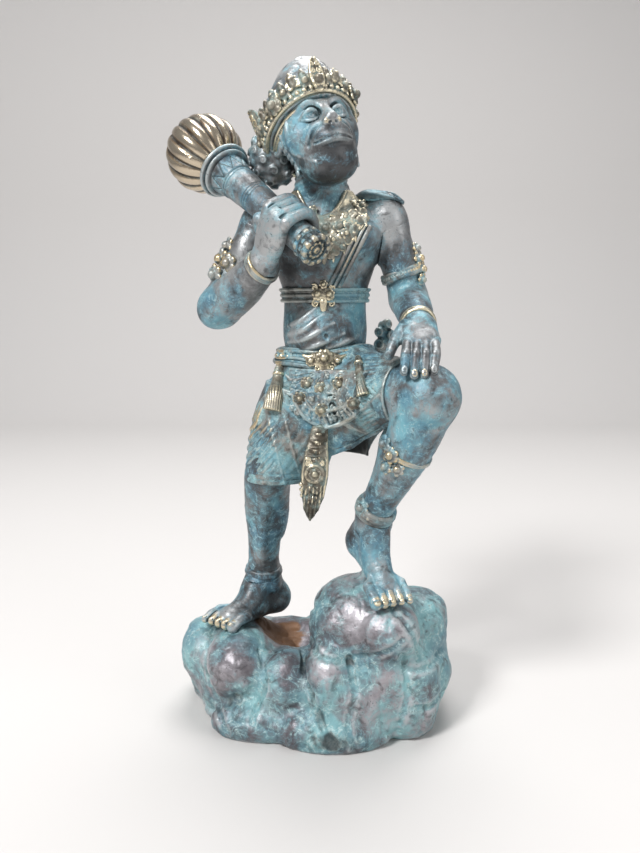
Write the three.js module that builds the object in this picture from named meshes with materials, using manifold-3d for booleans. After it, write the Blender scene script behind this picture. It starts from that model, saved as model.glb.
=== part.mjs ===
// A cast bronze monkey guardian standing on a rock, with a fluted club over its right shoulder.
// Millimetres, +Z up. The figure looks towards -Y, so its right hand is on the -X side.
// It is built as a foundry builds one: separate castings with tenons, brazed at seams under the ornaments.
import * as THREE from "three";
import { mergeVertices } from "three/addons/utils/BufferGeometryUtils.js";
import Module from "manifold-3d";

const wasm = await Module();
wasm.setup();

// Fits between castings
const SEAM = 0.3; // brazed gap between two castings
const TENON_RADIUS = 3.4;
const TENON_LENGTH = 9;
const TENON_ROOT = 6; // length of a tenon inside its own casting
const TENON_SIDES = 10;
const KNOB = 1.03; // how much an elbow or a knee swells past its limb
const SEAM_LAP = 0.2; // share of a limb that starts inside its neighbour and is then cut back to the seam

// Where the middle of the whole outline stands, in figure coordinates
const STAND_CENTRE = [-6.2, -7.7];

// Trunk: each station is the centre of a level cross-section and its half widths in X and Y
const HIPS = { at: [4, 4, 208], half: [27, 21] };
const BELT_LINE = { at: [3.5, 4, 226], half: [24.5, 20.5] };
const BELLY = { at: [3, 3, 241], half: [25.5, 21] };
const WAIST = { at: [3, 4, 261], half: [25, 19] };
const RIBS = { at: [3, 3, 277], half: [29.5, 21] };
const CHEST = { at: [3, 3, 293], half: [35, 22] };
const SHOULDER_LINE = { at: [3, 5, 307], half: [35, 18.5] };
const NAPE = { at: [2, 5, 317], half: [24, 16] };
const NECK_ROOT = { at: [1, 2, 325], half: [16.5, 15] };
const NECK_TOP = { at: [-1, -1, 346], half: [14.5, 14.5] };

// Right arm, bent up to the club: centre and radius of each section
const RIGHT_SHOULDER = { at: [-31, 6, 306], half: [13.5, 13.5] };
const RIGHT_BICEPS = { at: [-41, 5, 291], half: [12.5, 12.5] };
const RIGHT_ARM_SEAM = { at: [-49, 3, 275], half: [12, 12] };
const RIGHT_ELBOW = { at: [-59.5, -4, 255.5], half: [12.8, 12.8] };
const RIGHT_FOREARM = { at: [-46, -17, 266], half: [12.2, 12.2] };
const RIGHT_WRIST = { at: [-32, -30, 279], half: [9.4, 9] };

// Left arm, reaching down to the knee
const LEFT_SHOULDER = { at: [36.5, 4, 308], half: [13.5, 13.5] };
const LEFT_BICEPS = { at: [45, 4, 289], half: [11.9, 11.9] };
const LEFT_ARM_SEAM = { at: [50.5, 4, 274], half: [11.6, 11.6] };
const LEFT_ELBOW = { at: [54, 4, 260], half: [11.8, 11.8] };
const LEFT_FOREARM = { at: [55.5, -13, 253], half: [11, 11] };
const LEFT_WRIST = { at: [56, -35, 245], half: [9.3, 8.6] };

// Left hand, palm down over the knee
const LEFT_PALM = { at: [56.2, -43, 241.5], half: [10.3, 5.6] };
const LEFT_KNUCKLES = { at: [56, -51, 237], half: [11, 4.4] };
const LEFT_FINGER_BASE = [56, -50, 237];
const LEFT_FINGER_BEND = [54.5, -65, 231];
const LEFT_FINGER_TIP = [53, -72.5, 219.5];
const LEFT_FINGER_RADIUS = 2.8;
const LEFT_FINGER_PITCH = 5.3;
const LEFT_THUMB_BASE = [47.5, -38, 243];
const LEFT_THUMB_BEND = [41, -45, 236];
const LEFT_THUMB_TIP = [38, -49.5, 229];
const LEFT_THUMB_RADIUS = 3.1;
const FINGERS = 4;

// Club: turned profile sizes along its axis, measured from the grip in the right fist
const GRIP = [-17.5, -34.4, 300];
const CLUB_DIRECTION = [0.604, -0.584, -0.541]; // from the fluted head towards the pommel
const CLUB_HEAD_REACH = 87; // grip to the middle of the head
const CLUB_HEAD_RADIUS = 23.5;
const CLUB_HEAD_HALF_LENGTH = 23;
const CLUB_FLUTES = 16;
const CLUB_FLUTE_DEPTH = 1.7;
const CLUB_COLLAR_REACH = CLUB_HEAD_REACH - CLUB_HEAD_HALF_LENGTH; // the collar carries the head
const CLUB_COLLAR_RADIUS = 17;
const CLUB_COLLAR_LENGTH = 6;
const CLUB_NECK_RADIUS = 12.4;
const CLUB_NECK_LENGTH = 14;
const CLUB_RING_REACH = CLUB_COLLAR_REACH - CLUB_NECK_LENGTH; // the incised ring where the flared neck ends
const CLUB_SHAFT_RADIUS = 10.4;
const CLUB_GRIP_RADIUS = 8.6;
const CLUB_GRIP_END = 16;
const CLUB_TANG_RADIUS = 5;
const CLUB_TANG_LENGTH = 14;
const POMMEL_RADIUS = 9.6;
const POMMEL_LENGTH = 11;
const POMMEL_RIM = 2.6; // width of the raised rim round its end
const POMMEL_RECESS = 1.6;

// Right fist round the club
const FIST_PALM_THICK = 6;
const FIST_WIDTH = 22;
const FIST_FINGER_RADIUS = 3.1;
const FIST_FINGER_START = 20; // degrees round the grip from the back of the hand
const FIST_FINGER_SWEEP = 175;
const FIST_THUMB_SWEEP = -105;

// Right leg, standing straight
const RIGHT_THIGH = { at: [-21.5, -2, 181], half: [17.5, 17.5] };
const RIGHT_KNEE = { at: [-31, -5, 157], half: [15.4, 15.6] };
const RIGHT_CALF = { at: [-34, 0, 136], half: [13.8, 14.2] };
const RIGHT_SHIN = { at: [-35.5, 6, 108], half: [11, 11.4] };
const RIGHT_ANKLE = { at: [-36.5, 10, 84], half: [9.6, 10] };

// Left leg, raised with its foot on the boulder
const LEFT_THIGH = { at: [31, -17, 208.5], half: [18.5, 18.5] };
const LEFT_KNEE = { at: [59.5, -53, 206.5], half: [17.5, 18] };
const LEFT_CALF = { at: [50, -47, 177], half: [13.4, 15] };
const LEFT_SHIN = { at: [38.5, -35, 150], half: [11.4, 11.8] };
const LEFT_ANKLE = { at: [32, -26, 133], half: [9.6, 10] };
const LEFT_LEG_SIDE = [0.8, 0.6, 0]; // across the shin

// Feet: heel, instep and toe line on the rock
const RIGHT_HEEL = { at: [-29, 16, 65.5], half: [8.6, 8.6] };
const RIGHT_INSTEP = { at: [-45, -1, 68], half: [10, 10.5] };
const RIGHT_BALL = { at: [-56, -12, 62.5], half: [11.5, 6] };
const RIGHT_BIG_TOE = [-53.5, -23, 60.8];
const RIGHT_LITTLE_TOE = [-71.5, -10, 61];
const LEFT_HEEL = { at: [25.5, -11, 111], half: [8.6, 8.8] };
const LEFT_INSTEP = { at: [33, -30, 107], half: [10, 11] };
const LEFT_BALL = { at: [38.5, -43, 93], half: [11.5, 6] };
const LEFT_BIG_TOE = [32, -54, 87];
const LEFT_LITTLE_TOE = [51.5, -49, 88];
const TOES = 5;
const BIG_TOE_RADIUS = 3.9;
const LITTLE_TOE_RADIUS = 2.6;
const TOE_LENGTH = 11;
const SOLE_SINK = 1.2; // depth of a sole's seat in the rock

// Rings on the limbs: place along the limb from 0 to 1, half length in the same measure, thickness
const RIGHT_ARMLET = { place: 0.93, reach: 0.09, thick: 2.4 };
const LEFT_ARMLET = { place: 0.93, reach: 0.1, thick: 2.6 };
const RIGHT_BRACELET = { place: 0.92, reach: 0.065, thick: 1.8 };
const LEFT_BRACELET = { place: 0.92, reach: 0.07, thick: 2 };
const RIGHT_ANKLET = { place: 0.965, reach: 0.03, thick: 2.2 };
const LEFT_ANKLET = { place: 0.93, reach: 0.07, thick: 2.6 };
const LEFT_KNEE_BAND = { place: 0.42, reach: 0.05, thick: 1.8 };
const ARMLET_ROSETTE = [6, 6, 8]; // half sizes of the jewel on each armlet
const KNEE_ROSETTE = [6.5, 5, 10];

// Wrapped skirt: level stations at the hips, then one sleeve over each thigh
const SKIRT_TOP = { at: [3.5, 4, 231], half: [27, 23] };
const SKIRT_HIP = { at: [4, 3, 208], half: [34.5, 27] };
const SKIRT_LOW = { at: [2, 1, 188], half: [36, 28.5] };
const SKIRT_FORK = { at: [4, -3, 169], half: [27, 26] };
const RIGHT_SLEEVE_TOP = { at: [-9, 2, 202], half: [25, 26.5] };
const RIGHT_SLEEVE = { at: [-19, 0, 177], half: [24.5, 27] };
const RIGHT_HEM = { at: [-28.5, -1, 143], half: [20.5, 25] };
const RIGHT_HEM_LEVEL = 150; // the cloth over the standing leg is cut level
const LEFT_SLEEVE_TOP = { at: [15, -1, 204], half: [25.5, 24] };
const LEFT_SLEEVE = { at: [31, -19, 204], half: [25.5, 23] };
const LEFT_HEM = { at: [49, -41, 206.5], half: [23, 21] };
const SKIRT_WALL = 2.6;
const HEM_HOLLOW = 18; // how deep the hem is open

// Dress over the skirt
const HIP_BELT_HIGH = SKIRT_TOP.at[2] - 1.5;
const HIP_BELT_WIDTH = 9;
const HIP_BELT_LOW = HIP_BELT_HIGH - HIP_BELT_WIDTH;
const HIP_BELT_THICK = 3;
const APRON_THICK = 2.2;
const APRON_TOP = HIP_BELT_LOW - 1;
const APRON_DROP = 38;
const APRON_CENTRE = 4.5;
const APRON_HALF_WIDTH = 23;
const ROSETTE_HALF = [3.8, 2.6, 3.8];
const APRON_ROSETTES = [
  { across: -12, drop: 8.5 },
  { across: -4, drop: 11 },
  { across: 6.5, drop: 7.5 },
  { across: -16.5, drop: 17 },
  { across: 14.5, drop: 18 },
  { across: -3.5, drop: 23.5 },
]; // places from the apron's middle and below its top
const BUCKLE_HALF = [9, 3.2, 6];
const SASH_TAIL = [
  { at: [0.5, -27, 186], half: [4.2, 4] },
  { at: [-1.5, -33, 175], half: [6.4, 4.6] },
  { at: [-3, -35.5, 160], half: [8, 5] },
  { at: [-4.5, -34, 144], half: [6.2, 4.2] },
  { at: [-6, -31, 130], half: [2.4, 2.2] },
];
const HIP_TASSEL = [
  { x: -24.5, drop: 4.5, half: [2.6, 2.6] },
  { x: -25.5, drop: 13.5, half: [3.6, 3.4] },
  { x: -26, drop: 22.5, half: [3.4, 3.2] },
];
const SASH_END = [
  { x: 22.5, drop: 3.5, half: [2.4, 2.4] },
  { x: 23.4, drop: 9.5, half: [2.8, 2.6] },
  { x: 23.6, drop: 14.5, half: [3.2, 2.8] },
];
const HANGING_PROUD = 3; // how far those two stand off the skirt

// Dress on the trunk
const CHEST_BAND_LOW = 258;
const CHEST_BAND_HIGH = 266;
const CHEST_BAND_THICK = 2.4;
const CHEST_BUCKLE_HALF = [7.5, 3, 6.5];
const COLLAR_THICK = 2.6;
const COLLAR_TIP = 284; // lowest point of the pectoral
const COLLAR_HALF_WIDTH = 29;
const COLLAR_NECK_HALF = 13.5;
const COLLAR_NECK_LOW = 308;
const COLLAR_NECK_ROUND = 3;
const COLLAR_TOP = 323;
const COLLAR_RISE = 9; // tip to the pectoral's round corner
const COLLAR_SHOULDER_DROP = 17;
const PENDANT_HALF = [5.5, 3, 5];
const PENDANT_RISE = 6; // above the pectoral's tip
const SASH_CORD_THICK = 2.2;
const SASH_CORD_WIDTH = 9;
const SASH_CORD_TOP = [25, 300];
const SASH_CORD_FOOT = [7, 267.5];
const SHOULDER_LEAF_LENGTH = 23;
const SHOULDER_LEAF_WIDTH = 15;
const SHOULDER_LEAF_THICK = 2.2;
const SHOULDER_LEAF_SEAT = [25, 5, 325];
const SHOULDER_LEAF_TILT = -25; // degrees below level, out over the shoulder

// Head: placed and turned as a whole, with its own stations inside
const HEAD_CENTRE = [-4, -5, 357.5];
const HEAD_TURN = 19; // degrees, towards the figure's left
const HEAD_LIFT = 9; // degrees, chin up
const HEAD_LEAN = 11; // degrees, towards the figure's right
const SKULL = { at: [0, 4, 4], half: [22.5, 25, 22] };
const CHEEKS = { at: [0, -7, -7], half: [21.5, 17, 18.5] };
const MUZZLE = { at: [0, -21, -11], half: [13.5, 12, 10.5] };
const JAW = { at: [0, -11, -22], half: [15, 14, 10.5] };
const BROW = { at: [0, -18.5, 6.5], half: [17, 6.5, 4.4] };
const NOSE = { at: [0, -31.5, -4.5], half: [4.6, 3.6, 3.4] };
const EYE = { at: [8.8, -20.5, 0.5], half: [4.4, 3.6, 2.8] };

// Crown, in the head's own frame
const CROWN_SLOPE = 30; // degrees that the crown's rim falls from the brow to the nape
const CROWN_CENTRE = [-1, 4.5, 6];
const CROWN_CAP_HEIGHT = 41; // over the crown's centre
const CROWN_CAP_HALF = [26.5, 28.5, CROWN_CAP_HEIGHT];
const CROWN_RIM = -4.5; // height of the rim plane over the crown's centre
const BAND_HEIGHT = 10;
const BAND_THICK = 3;
const BAND_ROSETTE_HALF = [5, 3.4, 5.6];
const BAND_ROSETTE_TURN = 52; // degrees from the front
const FRONT_LEAF_WIDTH = 9;
const FRONT_LEAF_HEIGHT = 19;
const FRONT_LEAF_THICK = 3;
const FRONT_LEAF_LEAN = 18; // degrees back from upright, along the cap
const EAR_WING_LENGTH = 21;
const EAR_WING_WIDTH = 13;
const EAR_WING_THICK = 3.4;
const EAR_WING_SEAT = [27.5, 6, 2];
const EAR_WING_SPREAD = 7; // degrees out from the head
const EAR_WING_LEAN = 22; // degrees back
const HAIR_KNOT = { at: [-22, 20, -8], half: [14, 13, 17] };

// Tail, out of the skirt's back and round the left hip
const TAIL_ROOT = { at: [2, 26, 204], half: [6.5, 6.5] };
const TAIL_BACK = { at: [14, 39, 207], half: [6.2, 6.2] };
const TAIL_BEND = { at: [34, 38, 220], half: [5.6, 5.6] };
const TAIL_RISE = { at: [42, 30, 233], half: [5.4, 5.4] };
const TAIL_TIP = { at: [40, 29, 243], half: [6.4, 6.4] };

// Rock: lobes with their centres and half sizes, standing on the floor
const RIGHT_LEDGE_TOP = 57 + SOLE_SINK;
const ROCK_LOBES = [
  { at: [31, -15, 48], half: [37, 40, 44] },
  { at: [34, -18, 73], half: [13, 24, 31] },
  { at: [56, 4, 34], half: [26, 42, 39] },
  { at: [16, -41, 22], half: [30, 23, 33] },
  { at: [50, -30, 26], half: [25, 26, 36] },
  { at: [-43, -10, 24], half: [36, 30, 28] },
  { at: [-13, -24, 20], half: [34, 27, 30] },
  { at: [-64, 16, 22], half: [23.5, 32, 30] },
  { at: [-50, 2, RIGHT_LEDGE_TOP - 24], half: [34, 28, 24] },
  { at: [-20, 24, 16], half: [52, 35, 32] },
  { at: [34, 32, 24], half: [42, 28, 36] },
  { at: [0, 0, 4], half: [76, 55, 13] },
];
const VALLEY = { at: [-17, -2, 64], half: [21, 26, 22] }; // dip between the two feet
const ROCK_HOLLOW = [
  { at: [-3, 1, -6], half: [71, 45] },
  { at: [-3, 1, 10], half: [68, 42] },
  { at: [-3, 1, 24], half: [58, 34] },
];
const BOULDER_HOLLOW = { at: [32, -12, 26], half: [24, 25, 44] };
const WIDE = NECK_TOP.at[2] + HEAD_CENTRE[2]; // larger than any piece, for cutting planes

// Facets
const TRUNK_SIDES = 16;
const LIMB_SIDES = 10;
const FINGER_SIDES = 5;
const SMALL_BALL = 7;
const MIDDLE_BALL = 10;
const LARGE_BALL = 11;
const TURNED_SIDES = 16;

const BOTH_ENDS = [true, true];
const FAR_END = [false, true];

const vector = (point) => new THREE.Vector3(...point);
const radians = THREE.MathUtils.degToRad;

/** The point at a share of the way from one point to another. */
const between = (from, to, share) => vector(from).lerp(vector(to), share);

// A form is a function of a growth in millimetres, and gives geometries to be joined.
// The grown form cuts its neighbours, so that each seam keeps its clearance.

/**
 * Elliptical sections carried smoothly through stations.
 * The first half width points along side; round says which of the two ends are domed.
 */
function loft(stations, { sides = LIMB_SIDES, steps = 2, side = [1, 0, 0], round = [false, false] } = {}) {
  const path = new THREE.CatmullRomCurve3(stations.map((s) => vector(s.at)), false, "centripetal");
  const widths = new THREE.CatmullRomCurve3(stations.map((s) => vector([...s.half, 0])), false, "catmullrom");
  const stationAt = (t) => {
    const half = widths.getPoint(t);
    return { at: path.getPoint(t).toArray(), half: [half.x, half.y] };
  };
  const ringAt = (t, grow, along, shrink) => {
    const { at, half } = stationAt(t);
    const forward = path.getTangent(t);
    const across = vector(side).projectOnPlane(forward).normalize();
    const upward = forward.clone().cross(across);
    const centre = vector(at).addScaledVector(forward, along);
    return { centre, across, upward, half: half.map((h) => (h + grow) * shrink) };
  };
  const form = (grow = 0) => {
    const spans = (stations.length - 1) * steps;
    const rings = [];
    const thinnest = (t) => Math.min(...stationAt(t).half) + grow;
    if (round[0]) rings.push(ringAt(0, grow, -0.8 * thinnest(0), 0.6));
    for (let i = 0; i <= spans; i++) {
      const beyond = (i === spans && !round[1] ? grow : 0) - (i === 0 && !round[0] ? grow : 0);
      rings.push(ringAt(i / spans, grow, beyond, 1));
    }
    if (round[1]) rings.push(ringAt(1, grow, 0.8 * thinnest(1), 0.6));
    return [skin(rings, sides)];
  };
  form.stationAt = stationAt;
  form.path = path;
  return form;
}

/** Closes a run of elliptical rings into one surface with flat ends. */
function skin(rings, sides) {
  const points = [];
  const faces = [];
  for (const { centre, across, upward, half } of rings) {
    for (let j = 0; j < sides; j++) {
      const angle = (2 * Math.PI * j) / sides;
      const point = centre.clone();
      point.addScaledVector(across, half[0] * Math.cos(angle));
      point.addScaledVector(upward, half[1] * Math.sin(angle));
      points.push(...point.toArray());
    }
  }
  const first = points.length / 3;
  points.push(...rings[0].centre.toArray(), ...rings.at(-1).centre.toArray());
  for (let j = 0; j < sides; j++) {
    const next = (j + 1) % sides;
    for (let i = 0; i + 1 < rings.length; i++) {
      const [a, b, c, d] = [i * sides + j, i * sides + next, (i + 1) * sides + next, (i + 1) * sides + j];
      faces.push(a, b, c, a, c, d);
    }
    const last = (rings.length - 1) * sides;
    faces.push(first, next, j, first + 1, last + j, last + next);
  }
  const geometry = new THREE.BufferGeometry();
  geometry.setAttribute("position", new THREE.Float32BufferAttribute(points, 3));
  geometry.setIndex(faces);
  return geometry;
}

/** An ellipsoid with three half sizes. */
function ball(at, half, across = SMALL_BALL) {
  return (grow = 0) => [
    new THREE.SphereGeometry(1, across, Math.round(across * 0.7))
      .rotateX(Math.PI / 2)
      .scale(...half.map((h) => h + grow))
      .translate(...at),
  ];
}

/** A round tenon at a point, sunk into its own casting and standing out in a direction. */
function tenon(at, direction) {
  const away = vector(direction).normalize();
  return (grow = 0) => {
    const length = TENON_ROOT + TENON_LENGTH + grow;
    const turn = new THREE.Quaternion().setFromUnitVectors(new THREE.Vector3(0, 1, 0), away);
    const middle = vector(at).addScaledVector(away, length / 2 - TENON_ROOT);
    return [
      new THREE.CylinderGeometry(TENON_RADIUS + grow, TENON_RADIUS + grow, length, TENON_SIDES)
        .applyQuaternion(turn)
        .translate(...middle.toArray()),
    ];
  };
}

/** A profile of [radius, height] pairs turned about +Z, closed on the axis at both ends. */
function turned(profile, sides = TURNED_SIDES) {
  const points = profile.map(([radius, height]) => new THREE.Vector2(radius, height));
  return new THREE.LatheGeometry(points, sides).rotateX(Math.PI / 2);
}

/** An outline of [x, z] points carried along Y from back to front. */
function prism(outline, back, front) {
  const shape = new THREE.Shape(outline.map(([x, z]) => new THREE.Vector2(x, z)));
  return new THREE.ExtrudeGeometry(shape, { depth: back - front, bevelEnabled: false })
    .rotateX(Math.PI / 2)
    .translate(0, back, 0);
}

/** A level slice of space between two heights. */
const slice = (low, high) => new THREE.BoxGeometry(WIDE, WIDE, high - low).translate(0, 0, (low + high) / 2);

/** Several forms taken together. */
const together = (...forms) => (grow = 0) => forms.flatMap((form) => form(grow));

/** A form carried into another frame. */
const moved = (form, matrix) => (grow = 0) => form(grow).map((geometry) => geometry.applyMatrix4(matrix));

/** A closed geometry as a solid with its faces pointing out. */
function solid(geometry) {
  const bare = geometry.clone();
  bare.deleteAttribute("normal");
  bare.deleteAttribute("uv");
  const merged = mergeVertices(bare, 1e-4);
  const corners = [];
  for (let i = 0; i < merged.index.count; i += 3) {
    const [a, b, c] = [0, 1, 2].map((k) => merged.index.getX(i + k));
    if (a !== b && b !== c && c !== a) corners.push([a, b, c]);
  }
  const shape = (faces) =>
    new wasm.Manifold(
      new wasm.Mesh({
        numProp: 3,
        vertProperties: new Float32Array(merged.attributes.position.array),
        triVerts: new Uint32Array(faces.flat()),
      }),
    );
  const made = shape(corners);
  return made.volume() < 0 ? shape(corners.map(([a, b, c]) => [a, c, b])) : made;
}

/** All geometries of a form joined into one solid. */
const cast = (form, grow = 0) => form(grow).map(solid).reduce((whole, piece) => whole.add(piece));

/** A solid with its neighbours' grown forms taken out of it. */
const fitted = (body, ...neighbours) =>
  neighbours.reduce((left, neighbour) => left.subtract(cast(neighbour, SEAM)), body);

/** The largest body of a solid, without the crumbs that a cut leaves. */
const largest = (body) => body.decompose().reduce((a, b) => (a.volume() > b.volume() ? a : b));

// Finishes
const patina = new THREE.MeshStandardMaterial({ color: 0x3f6f78, roughness: 0.62, metalness: 0.55 });
const rockPatina = new THREE.MeshStandardMaterial({ color: 0x4a8285, roughness: 0.72, metalness: 0.4 });
const rubbedBrass = new THREE.MeshStandardMaterial({ color: 0x8d7c4f, roughness: 0.45, metalness: 0.85 });
const polishedBrass = new THREE.MeshStandardMaterial({ color: 0xb8935a, roughness: 0.22, metalness: 1 });

/** A named casting. */
function casting(name, body, finish) {
  const { vertProperties, triVerts } = largest(body).getMesh();
  const geometry = new THREE.BufferGeometry();
  geometry.setAttribute("position", new THREE.BufferAttribute(vertProperties, 3));
  geometry.setIndex(new THREE.BufferAttribute(triVerts, 1));
  geometry.computeVertexNormals();
  const mesh = new THREE.Mesh(geometry, finish);
  mesh.name = name;
  return mesh;
}

/** A band round a limb: thin at its edges and proud in the middle. */
function ringOn(limb, { place, reach, thick }, side) {
  const share = [-1, -0.45, 0.45, 1];
  const swell = [0.5, 1, 1, 0.5];
  const stations = share.map((s, i) => {
    const { at, half } = limb.stationAt(Math.min(1, Math.max(0, place + s * reach)));
    return { at, half: half.map((h) => h + SEAM + thick * swell[i]) };
  });
  return loft(stations, { sides: LIMB_SIDES, steps: 1, side });
}

// Forms of the body
const trunkStations = [HIPS, BELT_LINE, BELLY, WAIST, RIBS, CHEST, SHOULDER_LINE, NAPE, NECK_ROOT, NECK_TOP];
const trunkSkin = loft(trunkStations, { sides: TRUNK_SIDES, steps: 1 });
const down = [0, 0, -1];
const trunk = together(trunkSkin, tenon(HIPS.at, down));

/** The direction from one station to another. */
const towards = (from, to) => vector(to.at).sub(vector(from.at)).toArray();

/** A limb bent at a joint: one loft to the joint, a knob in it, and one loft from it. */
function bent(before, joint, after, side) {
  const far = loft([joint, ...after], { side });
  const knob = ball(joint.at, [joint.half[0], joint.half[1], joint.half[0]].map((h) => h * KNOB), LIMB_SIDES);
  const form = together(loft([...before, joint], { side }), knob, far);
  form.far = far;
  return form;
}

function arm(shoulder, biceps, seam, elbow, forearm, wrist) {
  const sleeve = loft([shoulder, biceps, seam]);
  const cap = ball(shoulder.at, [...shoulder.half, shoulder.half[0]].map((h) => h * KNOB), LIMB_SIDES);
  const upper = together(sleeve, cap);
  const start = { at: between(seam.at, biceps.at, SEAM_LAP).toArray(), half: seam.half };
  const lower = bent([start], elbow, [forearm, wrist], [0, 1, 0]);
  return {
    sleeve,
    upper,
    lower,
    upperCasting: together(upper, tenon(seam.at, towards(biceps, seam))),
    lowerCasting: together(lower, tenon(wrist.at, towards(forearm, wrist))),
  };
}

const rightArm = arm(RIGHT_SHOULDER, RIGHT_BICEPS, RIGHT_ARM_SEAM, RIGHT_ELBOW, RIGHT_FOREARM, RIGHT_WRIST);
const leftArm = arm(LEFT_SHOULDER, LEFT_BICEPS, LEFT_ARM_SEAM, LEFT_ELBOW, LEFT_FOREARM, LEFT_WRIST);

const rightLeg = loft([RIGHT_THIGH, RIGHT_KNEE, RIGHT_CALF, RIGHT_SHIN, RIGHT_ANKLE]);
const leftLeg = bent([LEFT_THIGH], LEFT_KNEE, [LEFT_CALF, LEFT_SHIN, LEFT_ANKLE], LEFT_LEG_SIDE);
const rightLegCasting = together(
  rightLeg,
  tenon(RIGHT_THIGH.at, towards(RIGHT_KNEE, RIGHT_THIGH)),
  tenon(RIGHT_ANKLE.at, towards(RIGHT_SHIN, RIGHT_ANKLE)),
);
const leftLegCasting = together(
  leftLeg,
  tenon(LEFT_THIGH.at, towards(LEFT_KNEE, LEFT_THIGH)),
  tenon(LEFT_ANKLE.at, towards(LEFT_SHIN, LEFT_ANKLE)),
);

/** Heel to toe line with an ankle stem, five toes and a tenon under the sole. */
function foot(ankle, heel, instep, ballOfFoot, bigToe, littleToe, side) {
  const sole = loft([heel, instep, ballOfFoot], { side, round: BOTH_ENDS });
  const stem = loft([ankle, { at: between(ankle.at, instep.at, 0.55).toArray(), half: heel.half }], { side });
  const ahead = vector(ballOfFoot.at).sub(vector(heel.at)).normalize();
  const toes = Array.from({ length: TOES }, (_, i) => {
    const share = i / (TOES - 1);
    const tip = between(bigToe, littleToe, share);
    const radius = THREE.MathUtils.lerp(BIG_TOE_RADIUS, LITTLE_TOE_RADIUS, Math.sqrt(share));
    const root = tip.clone().addScaledVector(ahead, -TOE_LENGTH);
    const half = [radius, radius];
    return loft([{ at: root.toArray(), half }, { at: tip.toArray(), half }], {
      sides: FINGER_SIDES,
      steps: 1,
      side,
      round: FAR_END,
    });
  });
  const seat = [instep.at[0], instep.at[1], instep.at[2] - instep.half[1]];
  return together(sole, stem, tenon(seat, down), ...toes);
}

const rightFoot = foot(
  RIGHT_ANKLE, RIGHT_HEEL, RIGHT_INSTEP, RIGHT_BALL, RIGHT_BIG_TOE, RIGHT_LITTLE_TOE, [0.7, -0.7, 0],
);
const leftFoot = foot(
  LEFT_ANKLE, LEFT_HEEL, LEFT_INSTEP, LEFT_BALL, LEFT_BIG_TOE, LEFT_LITTLE_TOE, [0.95, 0.3, 0],
);

// Left hand: palm, four fingers in a row across X, and a thumb
const leftPalm = loft([LEFT_WRIST, LEFT_PALM, LEFT_KNUCKLES], { round: FAR_END });
const leftFingers = Array.from({ length: FINGERS }, (_, i) => {
  const shift = (i - (FINGERS - 1) / 2) * LEFT_FINGER_PITCH;
  const half = [LEFT_FINGER_RADIUS, LEFT_FINGER_RADIUS];
  const stations = [LEFT_FINGER_BASE, LEFT_FINGER_BEND, LEFT_FINGER_TIP].map(([x, y, z]) => ({
    at: [x + shift, y, z],
    half,
  }));
  return loft(stations, { sides: FINGER_SIDES, steps: 1, round: FAR_END });
});
const leftThumb = loft(
  [LEFT_THUMB_BASE, LEFT_THUMB_BEND, LEFT_THUMB_TIP].map((at) => ({
    at,
    half: [LEFT_THUMB_RADIUS, LEFT_THUMB_RADIUS],
  })),
  { sides: FINGER_SIDES, steps: 1, round: FAR_END },
);
const leftHand = together(leftPalm, leftThumb, ...leftFingers);

// Club: its own frame has +Z from the pommel to the fluted head, with the grip at the origin
const clubAxis = vector(CLUB_DIRECTION).normalize();
const clubTurn = new THREE.Quaternion().setFromUnitVectors(new THREE.Vector3(0, 0, -1), clubAxis);
const clubFrame = new THREE.Matrix4().compose(vector(GRIP), clubTurn, new THREE.Vector3(1, 1, 1));
const collarTop = CLUB_COLLAR_REACH + CLUB_COLLAR_LENGTH / 2;
const collarFoot = CLUB_COLLAR_REACH - CLUB_COLLAR_LENGTH / 2;

const clubShaft = (grow = 0) => [
  turned([
    [0, -CLUB_GRIP_END - CLUB_TANG_LENGTH / 2 - grow],
    [CLUB_TANG_RADIUS + grow, -CLUB_GRIP_END - CLUB_TANG_LENGTH / 2 - grow],
    [CLUB_TANG_RADIUS + grow, -CLUB_GRIP_END - grow],
    [CLUB_GRIP_RADIUS + grow, -CLUB_GRIP_END - grow],
    [CLUB_GRIP_RADIUS + grow, CLUB_GRIP_END],
    [CLUB_SHAFT_RADIUS + grow, CLUB_RING_REACH],
    [CLUB_SHAFT_RADIUS + grow + 0.8, CLUB_RING_REACH],
    [CLUB_NECK_RADIUS + grow, collarFoot - SEAM + grow],
    [CLUB_TANG_RADIUS + grow, collarFoot - SEAM + grow],
    [CLUB_TANG_RADIUS + grow, collarTop + CLUB_TANG_LENGTH + grow],
    [0, collarTop + CLUB_TANG_LENGTH + grow],
  ]),
];
const clubCollar = (grow = 0) => [
  turned([
    [0, collarFoot - grow],
    [CLUB_NECK_RADIUS + 1 + grow, collarFoot - grow],
    [CLUB_COLLAR_RADIUS - 1.6 + grow, collarFoot + CLUB_COLLAR_LENGTH * 0.2],
    [CLUB_COLLAR_RADIUS - 2.2 + grow, collarFoot + CLUB_COLLAR_LENGTH * 0.4],
    [CLUB_COLLAR_RADIUS + grow, collarFoot + CLUB_COLLAR_LENGTH * 0.55],
    [CLUB_COLLAR_RADIUS + grow, collarFoot + CLUB_COLLAR_LENGTH * 0.8],
    [CLUB_COLLAR_RADIUS - 1.5 + grow, collarTop + grow],
    [0, collarTop + grow],
  ]),
];

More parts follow.
